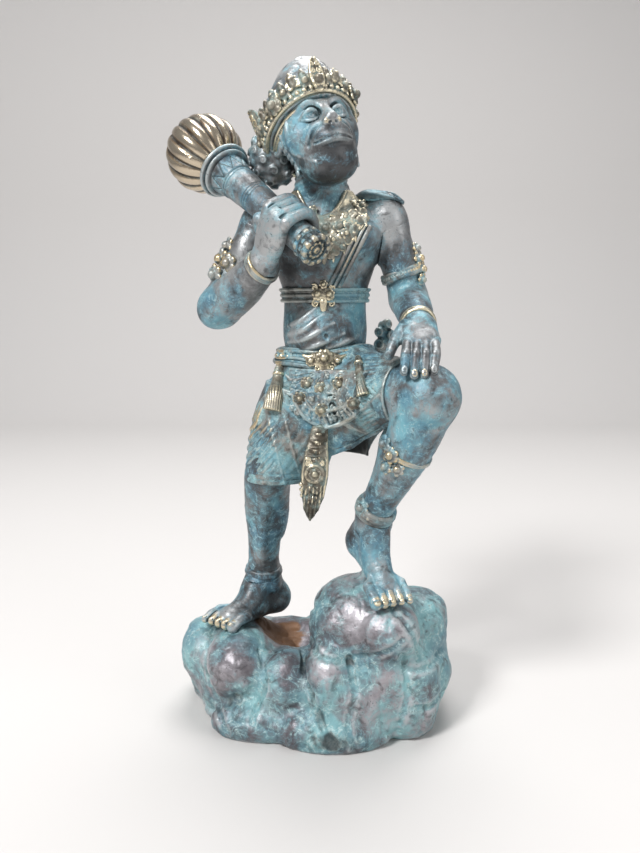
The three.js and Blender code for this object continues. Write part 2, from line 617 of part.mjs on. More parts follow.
/** The melon head: an ellipsoid whose meridians are pressed in between its ribs. */
function clubHead(grow = 0) {
  const perFlute = 2;
  const geometry = new THREE.SphereGeometry(1, CLUB_FLUTES * perFlute, 10).rotateX(Math.PI / 2);
  const place = geometry.getAttribute("position");
  for (let i = 0; i < place.count; i++) {
    const [x, y, z] = [place.getX(i), place.getY(i), place.getZ(i)];
    const groove = Math.abs(Math.cos((CLUB_FLUTES / 2) * Math.atan2(y, x)));
    const radius = CLUB_HEAD_RADIUS - CLUB_FLUTE_DEPTH * (1 - groove) + grow;
    const height = CLUB_HEAD_REACH + z * (CLUB_HEAD_HALF_LENGTH + grow);
    place.setXYZ(i, x * radius, y * radius, height);
  }
  return [geometry];
}

const pommelTop = -CLUB_GRIP_END - SEAM;
const clubPommel = (grow = 0) => [
  turned([
    [0, pommelTop + grow],
    [CLUB_GRIP_RADIUS + 0.6 + grow, pommelTop + grow],
    [POMMEL_RADIUS - 1 + grow, pommelTop - POMMEL_LENGTH * 0.25],
    [POMMEL_RADIUS - 1.8 + grow, pommelTop - POMMEL_LENGTH * 0.4],
    [POMMEL_RADIUS + grow, pommelTop - POMMEL_LENGTH * 0.55],
    [POMMEL_RADIUS + grow, pommelTop - POMMEL_LENGTH * 0.85],
    [POMMEL_RADIUS - POMMEL_RIM / 2 + grow, pommelTop - POMMEL_LENGTH - grow],
    [POMMEL_RADIUS - POMMEL_RIM, pommelTop - POMMEL_LENGTH - grow],
    [POMMEL_RADIUS - POMMEL_RIM, pommelTop - POMMEL_LENGTH + POMMEL_RECESS - grow],
    [0, pommelTop - POMMEL_LENGTH + POMMEL_RECESS / 2 - grow],
  ]),
];

// Right fist: back of the hand on one side of the grip, fingers curled over the other
const fistReach = vector(GRIP).sub(vector(RIGHT_WRIST.at)).projectOnPlane(clubAxis).normalize();
const fistBack = clubAxis.clone().cross(fistReach);
const fistPoint = (angle, radius, along) =>
  vector(GRIP)
    .addScaledVector(fistBack, radius * Math.cos(radians(angle)))
    .addScaledVector(fistReach, radius * Math.sin(radians(angle)))
    .addScaledVector(clubAxis, along)
    .toArray();

function fistFinger(along, start, sweep) {
  const bends = 4;
  const radius = CLUB_GRIP_RADIUS + FIST_FINGER_RADIUS * 0.9;
  const stations = Array.from({ length: bends }, (_, i) => ({
    at: fistPoint(start + (sweep * i) / (bends - 1), radius, along),
    half: [FIST_FINGER_RADIUS, FIST_FINGER_RADIUS],
  }));
  return loft(stations, { sides: FINGER_SIDES, steps: 1, side: CLUB_DIRECTION, round: FAR_END });
}

const fistPalmRadius = CLUB_GRIP_RADIUS + FIST_PALM_THICK * 0.55;
const fistPalm = loft(
  [
    RIGHT_WRIST,
    { at: fistPoint(-48, fistPalmRadius, 0), half: [FIST_WIDTH / 2, FIST_PALM_THICK * 1.15] },
    { at: fistPoint(22, fistPalmRadius, 0), half: [FIST_WIDTH / 2, FIST_PALM_THICK * 0.85] },
  ],
  { side: CLUB_DIRECTION, round: FAR_END },
);
const fistFingers = Array.from({ length: FINGERS }, (_, i) => {
  const along = (i - (FINGERS - 1) / 2) * (FIST_WIDTH / FINGERS);
  return fistFinger(along, FIST_FINGER_START, FIST_FINGER_SWEEP);
});
const fistThumb = fistFinger(-FIST_WIDTH / 2 - FIST_FINGER_RADIUS * 0.4, -30, FIST_THUMB_SWEEP);
const rightHand = together(fistPalm, fistThumb, ...fistFingers);

// Skirt: the hips and one sleeve over each thigh, open at the hems
const skirtHips = loft([SKIRT_TOP, SKIRT_HIP, SKIRT_LOW, SKIRT_FORK], { sides: TRUNK_SIDES });
const rightSleeve = loft([RIGHT_SLEEVE_TOP, RIGHT_SLEEVE, RIGHT_HEM], { sides: TRUNK_SIDES });
const leftSleeve = loft([LEFT_SLEEVE_TOP, LEFT_SLEEVE, LEFT_HEM], { sides: TRUNK_SIDES, side: [0, 0, 1] });
const skirtOuter = together(skirtHips, rightSleeve, leftSleeve);

/** The open inside of a sleeve's hem: the sleeve less its wall, run on past the hem. */
function hemHollow(sleeve, side) {
  const end = sleeve.stationAt(1);
  const ahead = sleeve.path.getTangent(1);
  const thin = end.half.map((h) => h - SKIRT_WALL);
  const station = (along) => ({ at: vector(end.at).addScaledVector(ahead, along).toArray(), half: thin });
  return loft([station(-HEM_HOLLOW), station(HEM_HOLLOW)], { sides: TRUNK_SIDES, steps: 1, side });
}

const forkHollow = loft(
  [
    { at: [SKIRT_FORK.at[0], SKIRT_FORK.at[1], SKIRT_FORK.at[2] + HEM_HOLLOW / 2], half: SKIRT_FORK.half },
    { at: [SKIRT_FORK.at[0], SKIRT_FORK.at[1], SKIRT_FORK.at[2] - HEM_HOLLOW], half: SKIRT_FORK.half },
  ],
  { sides: TRUNK_SIDES, steps: 1 },
);

/** The outermost point of a form on a line from a point along a direction. */
function outermost(form, from, direction) {
  const away = vector(direction).normalize();
  const sight = new THREE.Raycaster(vector(from).addScaledVector(away, WIDE), away.clone().negate());
  const hits = form().flatMap((geometry) => sight.intersectObject(new THREE.Mesh(geometry)));
  return hits.reduce((a, b) => (a.distance < b.distance ? a : b)).point;
}

/** The Y of a form's front face at a place across and a height. */
const frontOf = (form, x, z) => outermost(form, [x, 0, z], [0, -1, 0]).y;

/** Stations given across and below the belt, brought to the front of the skirt. */
const hungOnSkirt = (stations) =>
  stations.map(({ x, drop, half }) => {
    const z = HIP_BELT_LOW - drop;
    return { at: [x, frontOf(skirtOuter, x, z) - HANGING_PROUD, z], half };
  });

const apronProud = SEAM + APRON_THICK;
const apronSkin = (grow = 0) => skirtOuter(apronProud + grow);
const sashTail = loft(SASH_TAIL, { round: BOTH_ENDS });
const hipTassel = loft(hungOnSkirt(HIP_TASSEL), { sides: 8, steps: 1, round: BOTH_ENDS });
const sashEnd = loft(hungOnSkirt(SASH_END), { sides: 8, steps: 1, round: BOTH_ENDS });
const tailStations = [TAIL_ROOT, TAIL_BACK, TAIL_BEND, TAIL_RISE, TAIL_TIP];
const tail = loft(tailStations, { sides: LIMB_SIDES, round: BOTH_ENDS });

/** A shell over a form, between the seam and a thickness. */
const shellOver = (form, thick) => cast(form, SEAM + thick).subtract(cast(form, SEAM));

/** A jewel on the front of a form's skin. */
function jewel(skinForm, x, z, half, proud) {
  const bead = ball([x, frontOf(skinForm, x, z) - proud, z], half);
  return cast(bead).subtract(cast(skinForm, proud + SEAM));
}

// Head, in its own frame
const headFrame = new THREE.Matrix4().compose(
  vector(HEAD_CENTRE),
  new THREE.Quaternion().setFromEuler(
    new THREE.Euler(radians(-HEAD_LIFT), radians(-HEAD_LEAN), radians(HEAD_TURN), "ZYX"),
  ),
  new THREE.Vector3(1, 1, 1),
);
const intoHead = headFrame.clone().invert();
const mirrored = ({ at, half }) => ({ at: [-at[0], at[1], at[2]], half });
const headForm = together(
  ...[SKULL, CHEEKS].map(({ at, half }) => ball(at, half, LARGE_BALL)),
  ...[MUZZLE, JAW, BROW].map(({ at, half }) => ball(at, half, MIDDLE_BALL)),
  ...[NOSE, EYE, mirrored(EYE)].map(({ at, half }) => ball(at, half, SMALL_BALL)),
);
const neckInHead = moved(trunkSkin, intoHead);
const shouldersInHead = moved(together(rightArm.upper, leftArm.upper), intoHead);
const collarInHead = moved((grow = 0) => trunkSkin(SEAM + COLLAR_THICK + grow), intoHead);
const clubInHead = moved(moved(together(clubShaft, clubCollar, clubHead), clubFrame), intoHead);
const hairKnot = ball(HAIR_KNOT.at, HAIR_KNOT.half, MIDDLE_BALL);

// Crown: a sloping rim plane cuts the cap, and the band lies along the rim
const rimFrame = new THREE.Matrix4()
  .makeTranslation(...CROWN_CENTRE)
  .multiply(new THREE.Matrix4().makeRotationX(radians(-CROWN_SLOPE)));
const crownCap = ball(CROWN_CENTRE, CROWN_CAP_HALF, LARGE_BALL + 4);
const rimSlice = (low, high) => solid(slice(low, high).applyMatrix4(rimFrame));

/** A pointed leaf outline with its foot at the origin and its tip up. */
function leaf(width, length, thick) {
  const shape = new THREE.Shape();
  shape.moveTo(-width * 0.3, 0);
  shape.bezierCurveTo(-width * 0.75, length * 0.4, -width * 0.25, length * 0.7, 0, length);
  shape.bezierCurveTo(width * 0.25, length * 0.7, width * 0.75, length * 0.4, width * 0.3, 0);
  shape.closePath();
  return new THREE.ExtrudeGeometry(shape, { depth: thick, bevelEnabled: false, curveSegments: 6 })
    .translate(0, 0, -thick / 2)
    .rotateX(Math.PI / 2);
}

const bandProud = SEAM + BAND_THICK;
const bandSkin = (grow = 0) => crownCap(bandProud + grow);

/** The point of the band's face at a turn in degrees from the front, at a height over the rim plane. */
function onBand(turn, height) {
  const from = new THREE.Vector3(0, 0, CROWN_RIM + height).applyMatrix4(rimFrame);
  const towardsFace = new THREE.Vector3(Math.sin(radians(turn)), -Math.cos(radians(turn)), 0);
  return outermost(bandSkin, from.toArray(), towardsFace.transformDirection(rimFrame).toArray()).toArray();
}

const bandRosette = (turn) => cast(ball(onBand(turn, 0), BAND_ROSETTE_HALF)).subtract(cast(bandSkin, SEAM));

/** The tall middle of the crown: a leaf on the band's front with a rosette on it. */
function frontLeafPiece() {
  const [x, y, z] = onBand(0, -BAND_HEIGHT / 2);
  const blade = leaf(FRONT_LEAF_WIDTH, FRONT_LEAF_HEIGHT, FRONT_LEAF_THICK)
    .translate(0, -FRONT_LEAF_THICK / 2, 0)
    .rotateX(radians(-FRONT_LEAF_LEAN))
    .translate(x, y, z);
  const rosette = ball(onBand(0, BAND_HEIGHT * 0.3), BAND_ROSETTE_HALF);
  return solid(blade).add(cast(rosette)).subtract(cast(bandSkin, SEAM));
}

/** The crown's band and all that it encloses, between its two edges. */
function bandBlock(grow = 0) {
  const edge = BAND_HEIGHT / 2 + grow;
  return cast(bandSkin, grow).intersect(rimSlice(CROWN_RIM - edge, CROWN_RIM + edge));
}

/** The wing-shaped blade over one ear; hand is 1 for the figure's left and -1 for its right. */
const earBlade = (hand) => (grow = 0) => [
  leaf(EAR_WING_WIDTH + 2 * grow, EAR_WING_LENGTH + grow, EAR_WING_THICK + 2 * grow)
    .rotateZ(Math.PI / 2)
    .rotateY(radians(hand * EAR_WING_SPREAD))
    .rotateX(radians(-EAR_WING_LEAN))
    .translate(hand * EAR_WING_SEAT[0], EAR_WING_SEAT[1], EAR_WING_SEAT[2]),
];

/** The ornament over one ear, seated against the crown's band. */
const earWing = (hand) =>
  fitted(cast(earBlade(hand)), headForm, neckInHead, crownCap).subtract(bandBlock(SEAM));

/** Curls at the nape, seated on the head, the crown and the collar, and clear of the club. */
function hairPiece() {
  const bulk = cast(hairKnot).subtract(bandBlock(SEAM));
  const bodies = [headForm, neckInHead, shouldersInHead];
  return fitted(bulk, ...bodies, crownCap, earBlade(-1), collarInHead, clubInHead);
}

// Rock
const rockLobes = together(...ROCK_LOBES.map(({ at, half }) => ball(at, half, LARGE_BALL)));
const rockHollow = together(
  loft(ROCK_HOLLOW, { sides: TRUNK_SIDES, steps: 2 }),
  ball(BOULDER_HOLLOW.at, BOULDER_HOLLOW.half, MIDDLE_BALL),
);

function rockBase() {
  const aboveFloor = cast(rockLobes).subtract(solid(slice(-WIDE, 0)));
  const dipped = aboveFloor.subtract(cast(ball(VALLEY.at, VALLEY.half, LARGE_BALL)));
  return fitted(dipped.subtract(cast(rockHollow)), rightFoot, leftFoot);
}

function skirt() {
  const open = cast(together(hemHollow(rightSleeve, [1, 0, 0]), hemHollow(leftSleeve, [0, 0, 1])));
  const fork = cast(forkHollow, -SKIRT_WALL);
  const cloth = cast(skirtOuter).subtract(solid(slice(-WIDE, RIGHT_HEM_LEVEL)));
  return fitted(cloth.subtract(open).subtract(fork), trunk, rightLegCasting, leftLegCasting);
}

function hipBelt() {
  const ring = cast(skirtHips, SEAM + HIP_BELT_THICK).intersect(solid(slice(HIP_BELT_LOW, HIP_BELT_HIGH)));
  return fitted(ring, skirtOuter, trunk, leftLeg);
}

function frontApron() {
  const outline = [];
  const bends = 16;
  for (let i = 0; i <= bends; i++) {
    const angle = (Math.PI * i) / bends;
    const x = APRON_CENTRE - APRON_HALF_WIDTH * Math.cos(angle);
    outline.push([x, APRON_TOP - APRON_DROP * Math.sin(angle) ** 0.8]);
  }
  const cloth = shellOver(skirtOuter, APRON_THICK);
  return fitted(cloth.intersect(solid(prism(outline, SKIRT_HIP.at[1], -WIDE / 2))), leftLeg);
}

function chestBand() {
  const band = shellOver(trunkSkin, CHEST_BAND_THICK);
  return band.intersect(solid(slice(CHEST_BAND_LOW, CHEST_BAND_HIGH)));
}

/** The pectoral's outer edge, from one shoulder round a point on the breast to the other. */
function collarEdge(grow = 0) {
  const middle = NECK_ROOT.at[0];
  const half = COLLAR_HALF_WIDTH + grow;
  const side = [
    [half * 0.55, COLLAR_TIP + COLLAR_RISE - grow],
    [half * 0.92, COLLAR_TOP - COLLAR_SHOULDER_DROP - grow],
    [half, COLLAR_TOP],
  ];
  const left = side.map(([x, z]) => [middle + x, z]);
  const right = side.map(([x, z]) => [middle - x, z]).reverse();
  return solid(prism([...right, [middle, COLLAR_TIP - grow], ...left], WIDE / 2, -WIDE / 2));
}

/** Pectoral collar: a shield round the neck, from the shoulders to a point on the breast. */
function collar() {
  const middle = NECK_ROOT.at[0];
  const neckline = [
    [middle - COLLAR_NECK_HALF, COLLAR_TOP],
    [middle - COLLAR_NECK_HALF * 0.7, COLLAR_NECK_LOW + COLLAR_NECK_ROUND],
    [middle, COLLAR_NECK_LOW],
    [middle + COLLAR_NECK_HALF * 0.7, COLLAR_NECK_LOW + COLLAR_NECK_ROUND],
    [middle + COLLAR_NECK_HALF, COLLAR_TOP],
  ];
  const cape = collarEdge().subtract(solid(prism(neckline, WIDE / 2, -WIDE / 2)));
  const laid = shellOver(trunkSkin, COLLAR_THICK).intersect(cape);
  return fitted(laid, rightArm.upperCasting, leftArm.upperCasting, moved(headForm, headFrame));
}

/** Sash from the left shoulder across the breast, between the collar and the chest band. */
function sashCord() {
  const along = new THREE.Vector2(SASH_CORD_FOOT[0] - SASH_CORD_TOP[0], SASH_CORD_FOOT[1] - SASH_CORD_TOP[1]);
  const aside = new THREE.Vector2(-along.y, along.x).setLength(SASH_CORD_WIDTH / 2);
  const strip = [
    [SASH_CORD_TOP[0] + aside.x, SASH_CORD_TOP[1] + aside.y],
    [SASH_CORD_TOP[0] - aside.x, SASH_CORD_TOP[1] - aside.y],
    [SASH_CORD_FOOT[0] - aside.x, SASH_CORD_FOOT[1] - aside.y],
    [SASH_CORD_FOOT[0] + aside.x, SASH_CORD_FOOT[1] + aside.y],
  ];
  const laid = shellOver(trunkSkin, SASH_CORD_THICK).intersect(solid(prism(strip, CHEST.at[1], -WIDE / 2)));
  const clear = laid.subtract(solid(slice(0, CHEST_BAND_HIGH + SEAM))).subtract(collarEdge(SEAM));
  return fitted(clear, leftArm.upperCasting);
}

/** Leaf-shaped plate on top of the left shoulder. */
function shoulderLeaf() {
  const plate = leaf(SHOULDER_LEAF_WIDTH, SHOULDER_LEAF_LENGTH, SHOULDER_LEAF_THICK)
    .rotateX(-Math.PI / 2)
    .rotateZ(-Math.PI / 2)
    .rotateY(radians(-SHOULDER_LEAF_TILT))
    .translate(...SHOULDER_LEAF_SEAT);
  const collarSkin = (grow = 0) => trunkSkin(SEAM + COLLAR_THICK + grow);
  return fitted(solid(plate), collarSkin, leftArm.upperCasting);
}

function armletWithRosette(limb, ring, hand) {
  const { at, half } = limb.sleeve.stationAt(ring.place);
  const out = [at[0] + hand * (half[0] + ring.thick), at[1] - 2, at[2] + 2];
  return together(ringOn(limb.sleeve, ring), ball(out, ARMLET_ROSETTE));
}

/** A ring fitted to the castings that it wraps. */
const worn = (ring, ...castings) => fitted(cast(ring), ...castings);

const kneeBand = () => {
  const { at, half } = leftLeg.far.stationAt(LEFT_KNEE_BAND.place);
  const inward = [at[0] - half[0] * 0.82, at[1] - half[1] * 0.55, at[2] + 2];
  const band = ringOn(leftLeg.far, LEFT_KNEE_BAND, LEFT_LEG_SIDE);
  return worn(together(band, ball(inward, KNEE_ROSETTE)), leftLeg, skirtOuter);
};

// Assembly
const figure = new THREE.Group();
figure.position.set(-STAND_CENTRE[0], -STAND_CENTRE[1], 0);

const rock = new THREE.Group();
rock.add(casting("rock_base", rockBase(), rockPatina));

const legs = new THREE.Group();
const rightAnklet = ringOn(rightLeg, RIGHT_ANKLET);
const leftAnklet = ringOn(leftLeg.far, LEFT_ANKLET, LEFT_LEG_SIDE);
legs.add(
  casting("right_leg", cast(rightLegCasting), patina),
  casting("left_leg", fitted(cast(leftLegCasting), trunk), patina),
  casting("right_foot", fitted(cast(rightFoot), rightLegCasting), patina),
  casting("left_foot", fitted(cast(leftFoot), leftLegCasting), patina),
  casting("right_anklet", worn(rightAnklet, rightLeg, rightFoot), rubbedBrass),
  casting("left_anklet", worn(leftAnklet, leftLeg, leftFoot), rubbedBrass),
  casting("left_knee_band", kneeBand(), rubbedBrass),
);

const dress = new THREE.Group();
dress.add(
  casting("skirt", skirt(), patina),
  casting("hip_belt", hipBelt(), patina),
  casting("front_apron", frontApron(), patina),
  casting("front_sash_tail", fitted(cast(sashTail), apronSkin), rubbedBrass),
  casting("right_hip_tassel", fitted(cast(hipTassel), skirtOuter), polishedBrass),
  casting("left_sash_end", fitted(cast(sashEnd), apronSkin), rubbedBrass),
  casting("tail", fitted(cast(tail), skirtOuter, trunk), patina),
);
const beltMiddle = (HIP_BELT_LOW + HIP_BELT_HIGH) / 2;
const beltProud = SEAM + HIP_BELT_THICK;
const buckle = jewel(skirtOuter, APRON_CENTRE - 2, beltMiddle, BUCKLE_HALF, beltProud);
dress.add(casting("hip_belt_buckle", buckle.subtract(cast(apronSkin, SEAM)), rubbedBrass));
APRON_ROSETTES.forEach(({ across, drop }, i) => {
  const bead = jewel(skirtOuter, APRON_CENTRE + across, APRON_TOP - drop, ROSETTE_HALF, apronProud);
  dress.add(casting(`apron_rosette_${i + 1}`, fitted(bead, sashTail), rubbedBrass));
});

const upperBody = new THREE.Group();
const bandMiddle = (CHEST_BAND_LOW + CHEST_BAND_HIGH) / 2;
const bandReach = SEAM + CHEST_BAND_THICK;
const collarReach = SEAM + COLLAR_THICK;
const chestBuckle = jewel(trunkSkin, WAIST.at[0], bandMiddle, CHEST_BUCKLE_HALF, bandReach);
const pendant = jewel(trunkSkin, CHEST.at[0], COLLAR_TIP + PENDANT_RISE, PENDANT_HALF, collarReach);
upperBody.add(
  casting("torso", cast(trunk), patina),
  casting("chest_band", chestBand(), patina),
  casting("chest_buckle", chestBuckle, rubbedBrass),
  casting("collar", collar(), rubbedBrass),
  casting("collar_pendant", pendant, rubbedBrass),
  casting("sash_cord", sashCord(), rubbedBrass),
  casting("left_shoulder_leaf", shoulderLeaf(), patina),
);

const arms = new THREE.Group();
const clubInFist = moved(clubShaft, clubFrame);
const rightBracelet = ringOn(rightArm.lower.far, RIGHT_BRACELET, [0, 1, 0]);
const leftBracelet = ringOn(leftArm.lower.far, LEFT_BRACELET, [0, 1, 0]);
const rightArmlet = armletWithRosette(rightArm, RIGHT_ARMLET, -1);
const leftArmlet = armletWithRosette(leftArm, LEFT_ARMLET, 1);
const leftHandOnKnee = fitted(cast(leftHand), leftLeg, skirtOuter);
arms.add(
  casting("right_upper_arm", fitted(cast(rightArm.upperCasting), trunk), patina),
  casting("right_forearm", fitted(cast(rightArm.lowerCasting), rightArm.upperCasting), patina),
  casting("right_armlet", worn(rightArmlet, rightArm.upper, rightArm.lower), rubbedBrass),
  casting("right_bracelet", worn(rightBracelet, rightArm.lower), rubbedBrass),
  casting("right_hand", fitted(cast(rightHand), rightArm.lowerCasting, rightBracelet, clubInFist), patina),
  casting("left_upper_arm", fitted(cast(leftArm.upperCasting), trunk), patina),
  casting("left_forearm", fitted(cast(leftArm.lowerCasting), leftArm.upperCasting), patina),
  casting("left_armlet", worn(leftArmlet, leftArm.upper, leftArm.lower), rubbedBrass),
  casting("left_bracelet", worn(leftBracelet, leftArm.lower), rubbedBrass),
  casting("left_hand", fitted(leftHandOnKnee, leftArm.lowerCasting, leftBracelet), patina),
);

const club = new THREE.Group();
club.applyMatrix4(clubFrame);
club.add(
  casting("club_shaft", cast(clubShaft), patina),
  casting("club_collar", fitted(cast(clubCollar), clubShaft), polishedBrass),
  casting("club_head", fitted(cast(clubHead), clubShaft, clubCollar), polishedBrass),
  casting("club_pommel", fitted(cast(clubPommel), clubShaft), rubbedBrass),
);

const headGroup = new THREE.Group();
headGroup.applyMatrix4(headFrame);
const capAboveRim = cast(crownCap).intersect(rimSlice(CROWN_RIM - BAND_HEIGHT / 2, WIDE));
headGroup.add(
  casting("head", fitted(cast(headForm), neckInHead), patina),
  casting("crown_cap", fitted(capAboveRim, headForm, neckInHead), patina),
  casting("crown_band", fitted(bandBlock(), crownCap, headForm, neckInHead), rubbedBrass),
  casting("crown_front_leaf", frontLeafPiece(), rubbedBrass),
  casting("crown_rosette_right", bandRosette(-BAND_ROSETTE_TURN), rubbedBrass),
  casting("crown_rosette_left", bandRosette(BAND_ROSETTE_TURN), rubbedBrass),
  casting("right_ear_wing", earWing(-1), rubbedBrass),
  casting("left_ear_wing", earWing(1), rubbedBrass),
  casting("hair_knot", hairPiece(), patina),
);

figure.add(rock, legs, dress, upperBody, arms, club, headGroup);

const statue = new THREE.Group();
statue.add(figure);
export default statue;
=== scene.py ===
"""Looks of a cast bronze monkey warrior on a rock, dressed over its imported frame.

Shapes are worked out in millimetres in the figure's own coordinates, with +Z up and the figure looking
towards -Y. STAND then moves them into the frame, and MM turns them into metres.

Cast pieces are modelled as in a foundry's clay: signed distances on a grid, to which rounded shapes are
added and from which others are cut, all as whole numpy arrays. The zero level of the grid is then the
piece's skin.
"""
import logging
import math
from dataclasses import dataclass, field
from enum import Enum
from typing import Callable, Optional, Sequence

import bpy
import numpy as np
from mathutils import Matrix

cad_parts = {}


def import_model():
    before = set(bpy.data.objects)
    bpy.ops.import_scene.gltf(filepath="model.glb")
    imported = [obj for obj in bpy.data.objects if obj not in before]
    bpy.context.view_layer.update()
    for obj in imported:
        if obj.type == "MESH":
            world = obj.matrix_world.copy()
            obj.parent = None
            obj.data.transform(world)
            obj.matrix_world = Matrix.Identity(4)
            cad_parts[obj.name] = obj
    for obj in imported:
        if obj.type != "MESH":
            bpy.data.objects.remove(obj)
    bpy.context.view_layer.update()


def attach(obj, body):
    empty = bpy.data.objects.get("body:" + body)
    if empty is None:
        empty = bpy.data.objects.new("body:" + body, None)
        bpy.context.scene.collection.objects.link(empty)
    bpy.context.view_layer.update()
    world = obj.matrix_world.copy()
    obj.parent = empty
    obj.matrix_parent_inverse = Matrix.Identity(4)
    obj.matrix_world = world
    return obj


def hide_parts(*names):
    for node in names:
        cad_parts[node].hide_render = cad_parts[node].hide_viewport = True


Array = np.ndarray
Vec = Sequence[float]
Colour = tuple[float, float, float]

STAND = np.array([6.2, 7.7, 0.0])
MM = 0.001
TINY = 1e-6
FAR = 90.0
LATTICE = 32
GOLDEN_ANGLE = math.pi * (3 - math.sqrt(5))
UP = (0.0, 0.0, 1.0)
FRONT = (0.0, -1.0, 0.0)
BLOOM = ("Mask", "Tone", "Pale", "Speck", "Crust")
LIMB_GRIT = ((0.2, 9, 11), (0.08, 3, 12))

LOFT_STEPS = 12
SLOPE_STEP = 0.8
WALK_STEP = 0.5
SEAT_ROUNDS = 3
EVEN_ROUNDS = 2
EDGE_LIFT = 0.3
BEND_STEP = 1.2
BEND_GAIN = 1.2
BEND_FREE = 0.15
FLOWER_ASIDE = (0.31, 0.27, 0.91)
SCROLL_ASIDE = (0.13, 0.21, 0.97)
SCROLL_POINTS = 14
SCROLL_HALF_TURNS = 2.6
SCROLL_START = 0.6
SCROLL_SHRINK = 0.85
SCROLL_TAPER = 0.3
RING_GRAIN = 0.5
RING_ROOM = 11.0

log = logging.getLogger("statue")


class Tool(Enum):
    """Whether a shape is added to the clay or cut out of it."""

    ADD = 1
    CUT = -1


@dataclass(frozen=True)
class Station:
    """A section of a trunk, a skirt or a cap: its centre and its two half widths."""

    at: tuple[float, float, float]
    half: tuple[float, float]


@dataclass(frozen=True)
class Knot:
    """A point of a limb's middle line and the limb's radius there."""

    at: tuple[float, float, float]
    radius: float


def unit(values: Vec) -> Array:
    """A direction with length 1."""
    values = np.asarray(values, float)
    return values / np.linalg.norm(values)


def turn(axis: int, degrees: float) -> Array:
    """The 3 x 3 matrix that turns by an angle about the X, Y or Z axis, numbered 0, 1 and 2."""
    c, s = math.cos(math.radians(degrees)), math.sin(math.radians(degrees))
    i, j = (axis + 1) % 3, (axis + 2) % 3
    matrix = np.eye(3)
    matrix[i, i], matrix[i, j], matrix[j, i], matrix[j, j] = c, -s, s, c
    return matrix


def axes_along(along: Vec, across: Vec) -> Array:
    """Three square directions as rows: the first along a line, the second as near to across as can be."""
    along = unit(along)
    across = np.asarray(across, float)
    across = unit(across - along * (across @ along))
    return np.array([along, across, np.cross(along, across)])


def curve_through(points: Array, count: int) -> Array:
    """A smooth curve through points of any dimension.

    In each span it is the Catmull-Rom cubic, whose slope at a point is half the step between its
    neighbours.

    Args:
        points: the points, one a row.
        count: how many samples the curve gets, evenly in its parameter.

    Returns:
        The samples, one a row.
    """
    points = np.asarray(points, float)
    padded = np.vstack([2 * points[0] - points[1], points, 2 * points[-1] - points[-2]])
    spans = len(points) - 1
    place = np.linspace(0, spans, count)
    span = np.minimum(place.astype(int), spans - 1)
    t = (place - span)[:, None]
    a, b, c, d = (padded[span + k] for k in range(4))
    return 0.5 * (2 * b + (c - a) * t + (2 * a - 5 * b + 4 * c - d) * t**2 + (3 * b - a - 3 * c + d) * t**3)


def sunflower(count: int, spread: float) -> Array:
    """Directions from the top downwards as on a sunflower, over part of a ball: spread 2 is all of it."""
    k = np.arange(count)
    high = 1 - spread * (k + 0.5) / count
    ring = np.sqrt(1 - high**2)
    return np.column_stack([ring * np.cos(k * GOLDEN_ANGLE), ring * np.sin(k * GOLDEN_ANGLE), high])


def resampled(corners: Sequence[Vec], count: int) -> Array:
    """Points at even distances along a line of straight spans in two directions."""
    corners = np.array(corners, float)
    length = np.concatenate([[0], np.cumsum(np.hypot(*np.diff(corners, axis=0).T))])
    place = np.linspace(0, length[-1], count)
    return np.column_stack([np.interp(place, length, corners[:, k]) for k in range(2)])


def soft_min(a: Array, b: Array, blend: float) -> Array:
    """The lesser of two distances, eased over a blend: b + (a - b) h - blend h (1 - h), h from 0 to 1."""
    if blend <= 0:
        return np.minimum(a, b)
    share = np.clip(0.5 + 0.5 * (b - a) / blend, 0, 1)
    return b + (a - b) * share - blend * share * (1 - share)


def noise(points: Array, pitch: float, seed: int) -> Array:
    """Smooth noise from -1 to 1: seeded values on a cubic lattice, blended by eased distances."""
    table = np.random.default_rng(seed).uniform(-1, 1, (LATTICE, LATTICE, LATTICE))
    place = points / pitch
    base = np.floor(place).astype(int)
    t = place - base
    t = t * t * (3 - 2 * t)
    value = np.zeros(len(points))
    for corner in np.ndindex(2, 2, 2):
        weight = np.prod(np.where(np.array(corner) == 1, t, 1 - t), axis=1)
        value += weight * table[tuple(((base + corner) % LATTICE).T)]
    return value


def groove(distance: Array, width: float, depth: float) -> Array:
    """The height of a rounded groove: minus depth on its line, fading as a bell over its width."""
    return -depth * np.exp(-((distance / width) ** 2))


@dataclass
class Skin:
    """A surface: points, faces of four corners, outward normals, and how hollow or how proud each point is.

    A face whose last two corners are one and the same is a triangle.
    """

    points: Array
    faces: Array
    normals: Array
    hollow: Array
    crest: Array

    def raise_by(self, height: Array, full: float = 0.6) -> "Skin":
        """Moves the points along their normals; sunk points turn hollow and raised ones proud.

        Args:
            height: millimetres outwards, one a point.
            full: the height that counts as wholly hollow or wholly proud.
        """
        self.points = self.points + self.normals * height[:, None]
        self.hollow = np.clip(self.hollow + np.maximum(-height, 0) / full, 0, 1)
        self.crest = np.clip(self.crest + np.maximum(height, 0) / full, 0, 1)
        return self

    def placed(self, axes: Array, origin: Vec) -> "Skin":
        """The skin carried from its own frame: origin + x axes[0] + y axes[1] + z axes[2]."""
        self.points = self.points @ axes + np.asarray(origin, float)
        self.normals = self.normals @ axes
        return self


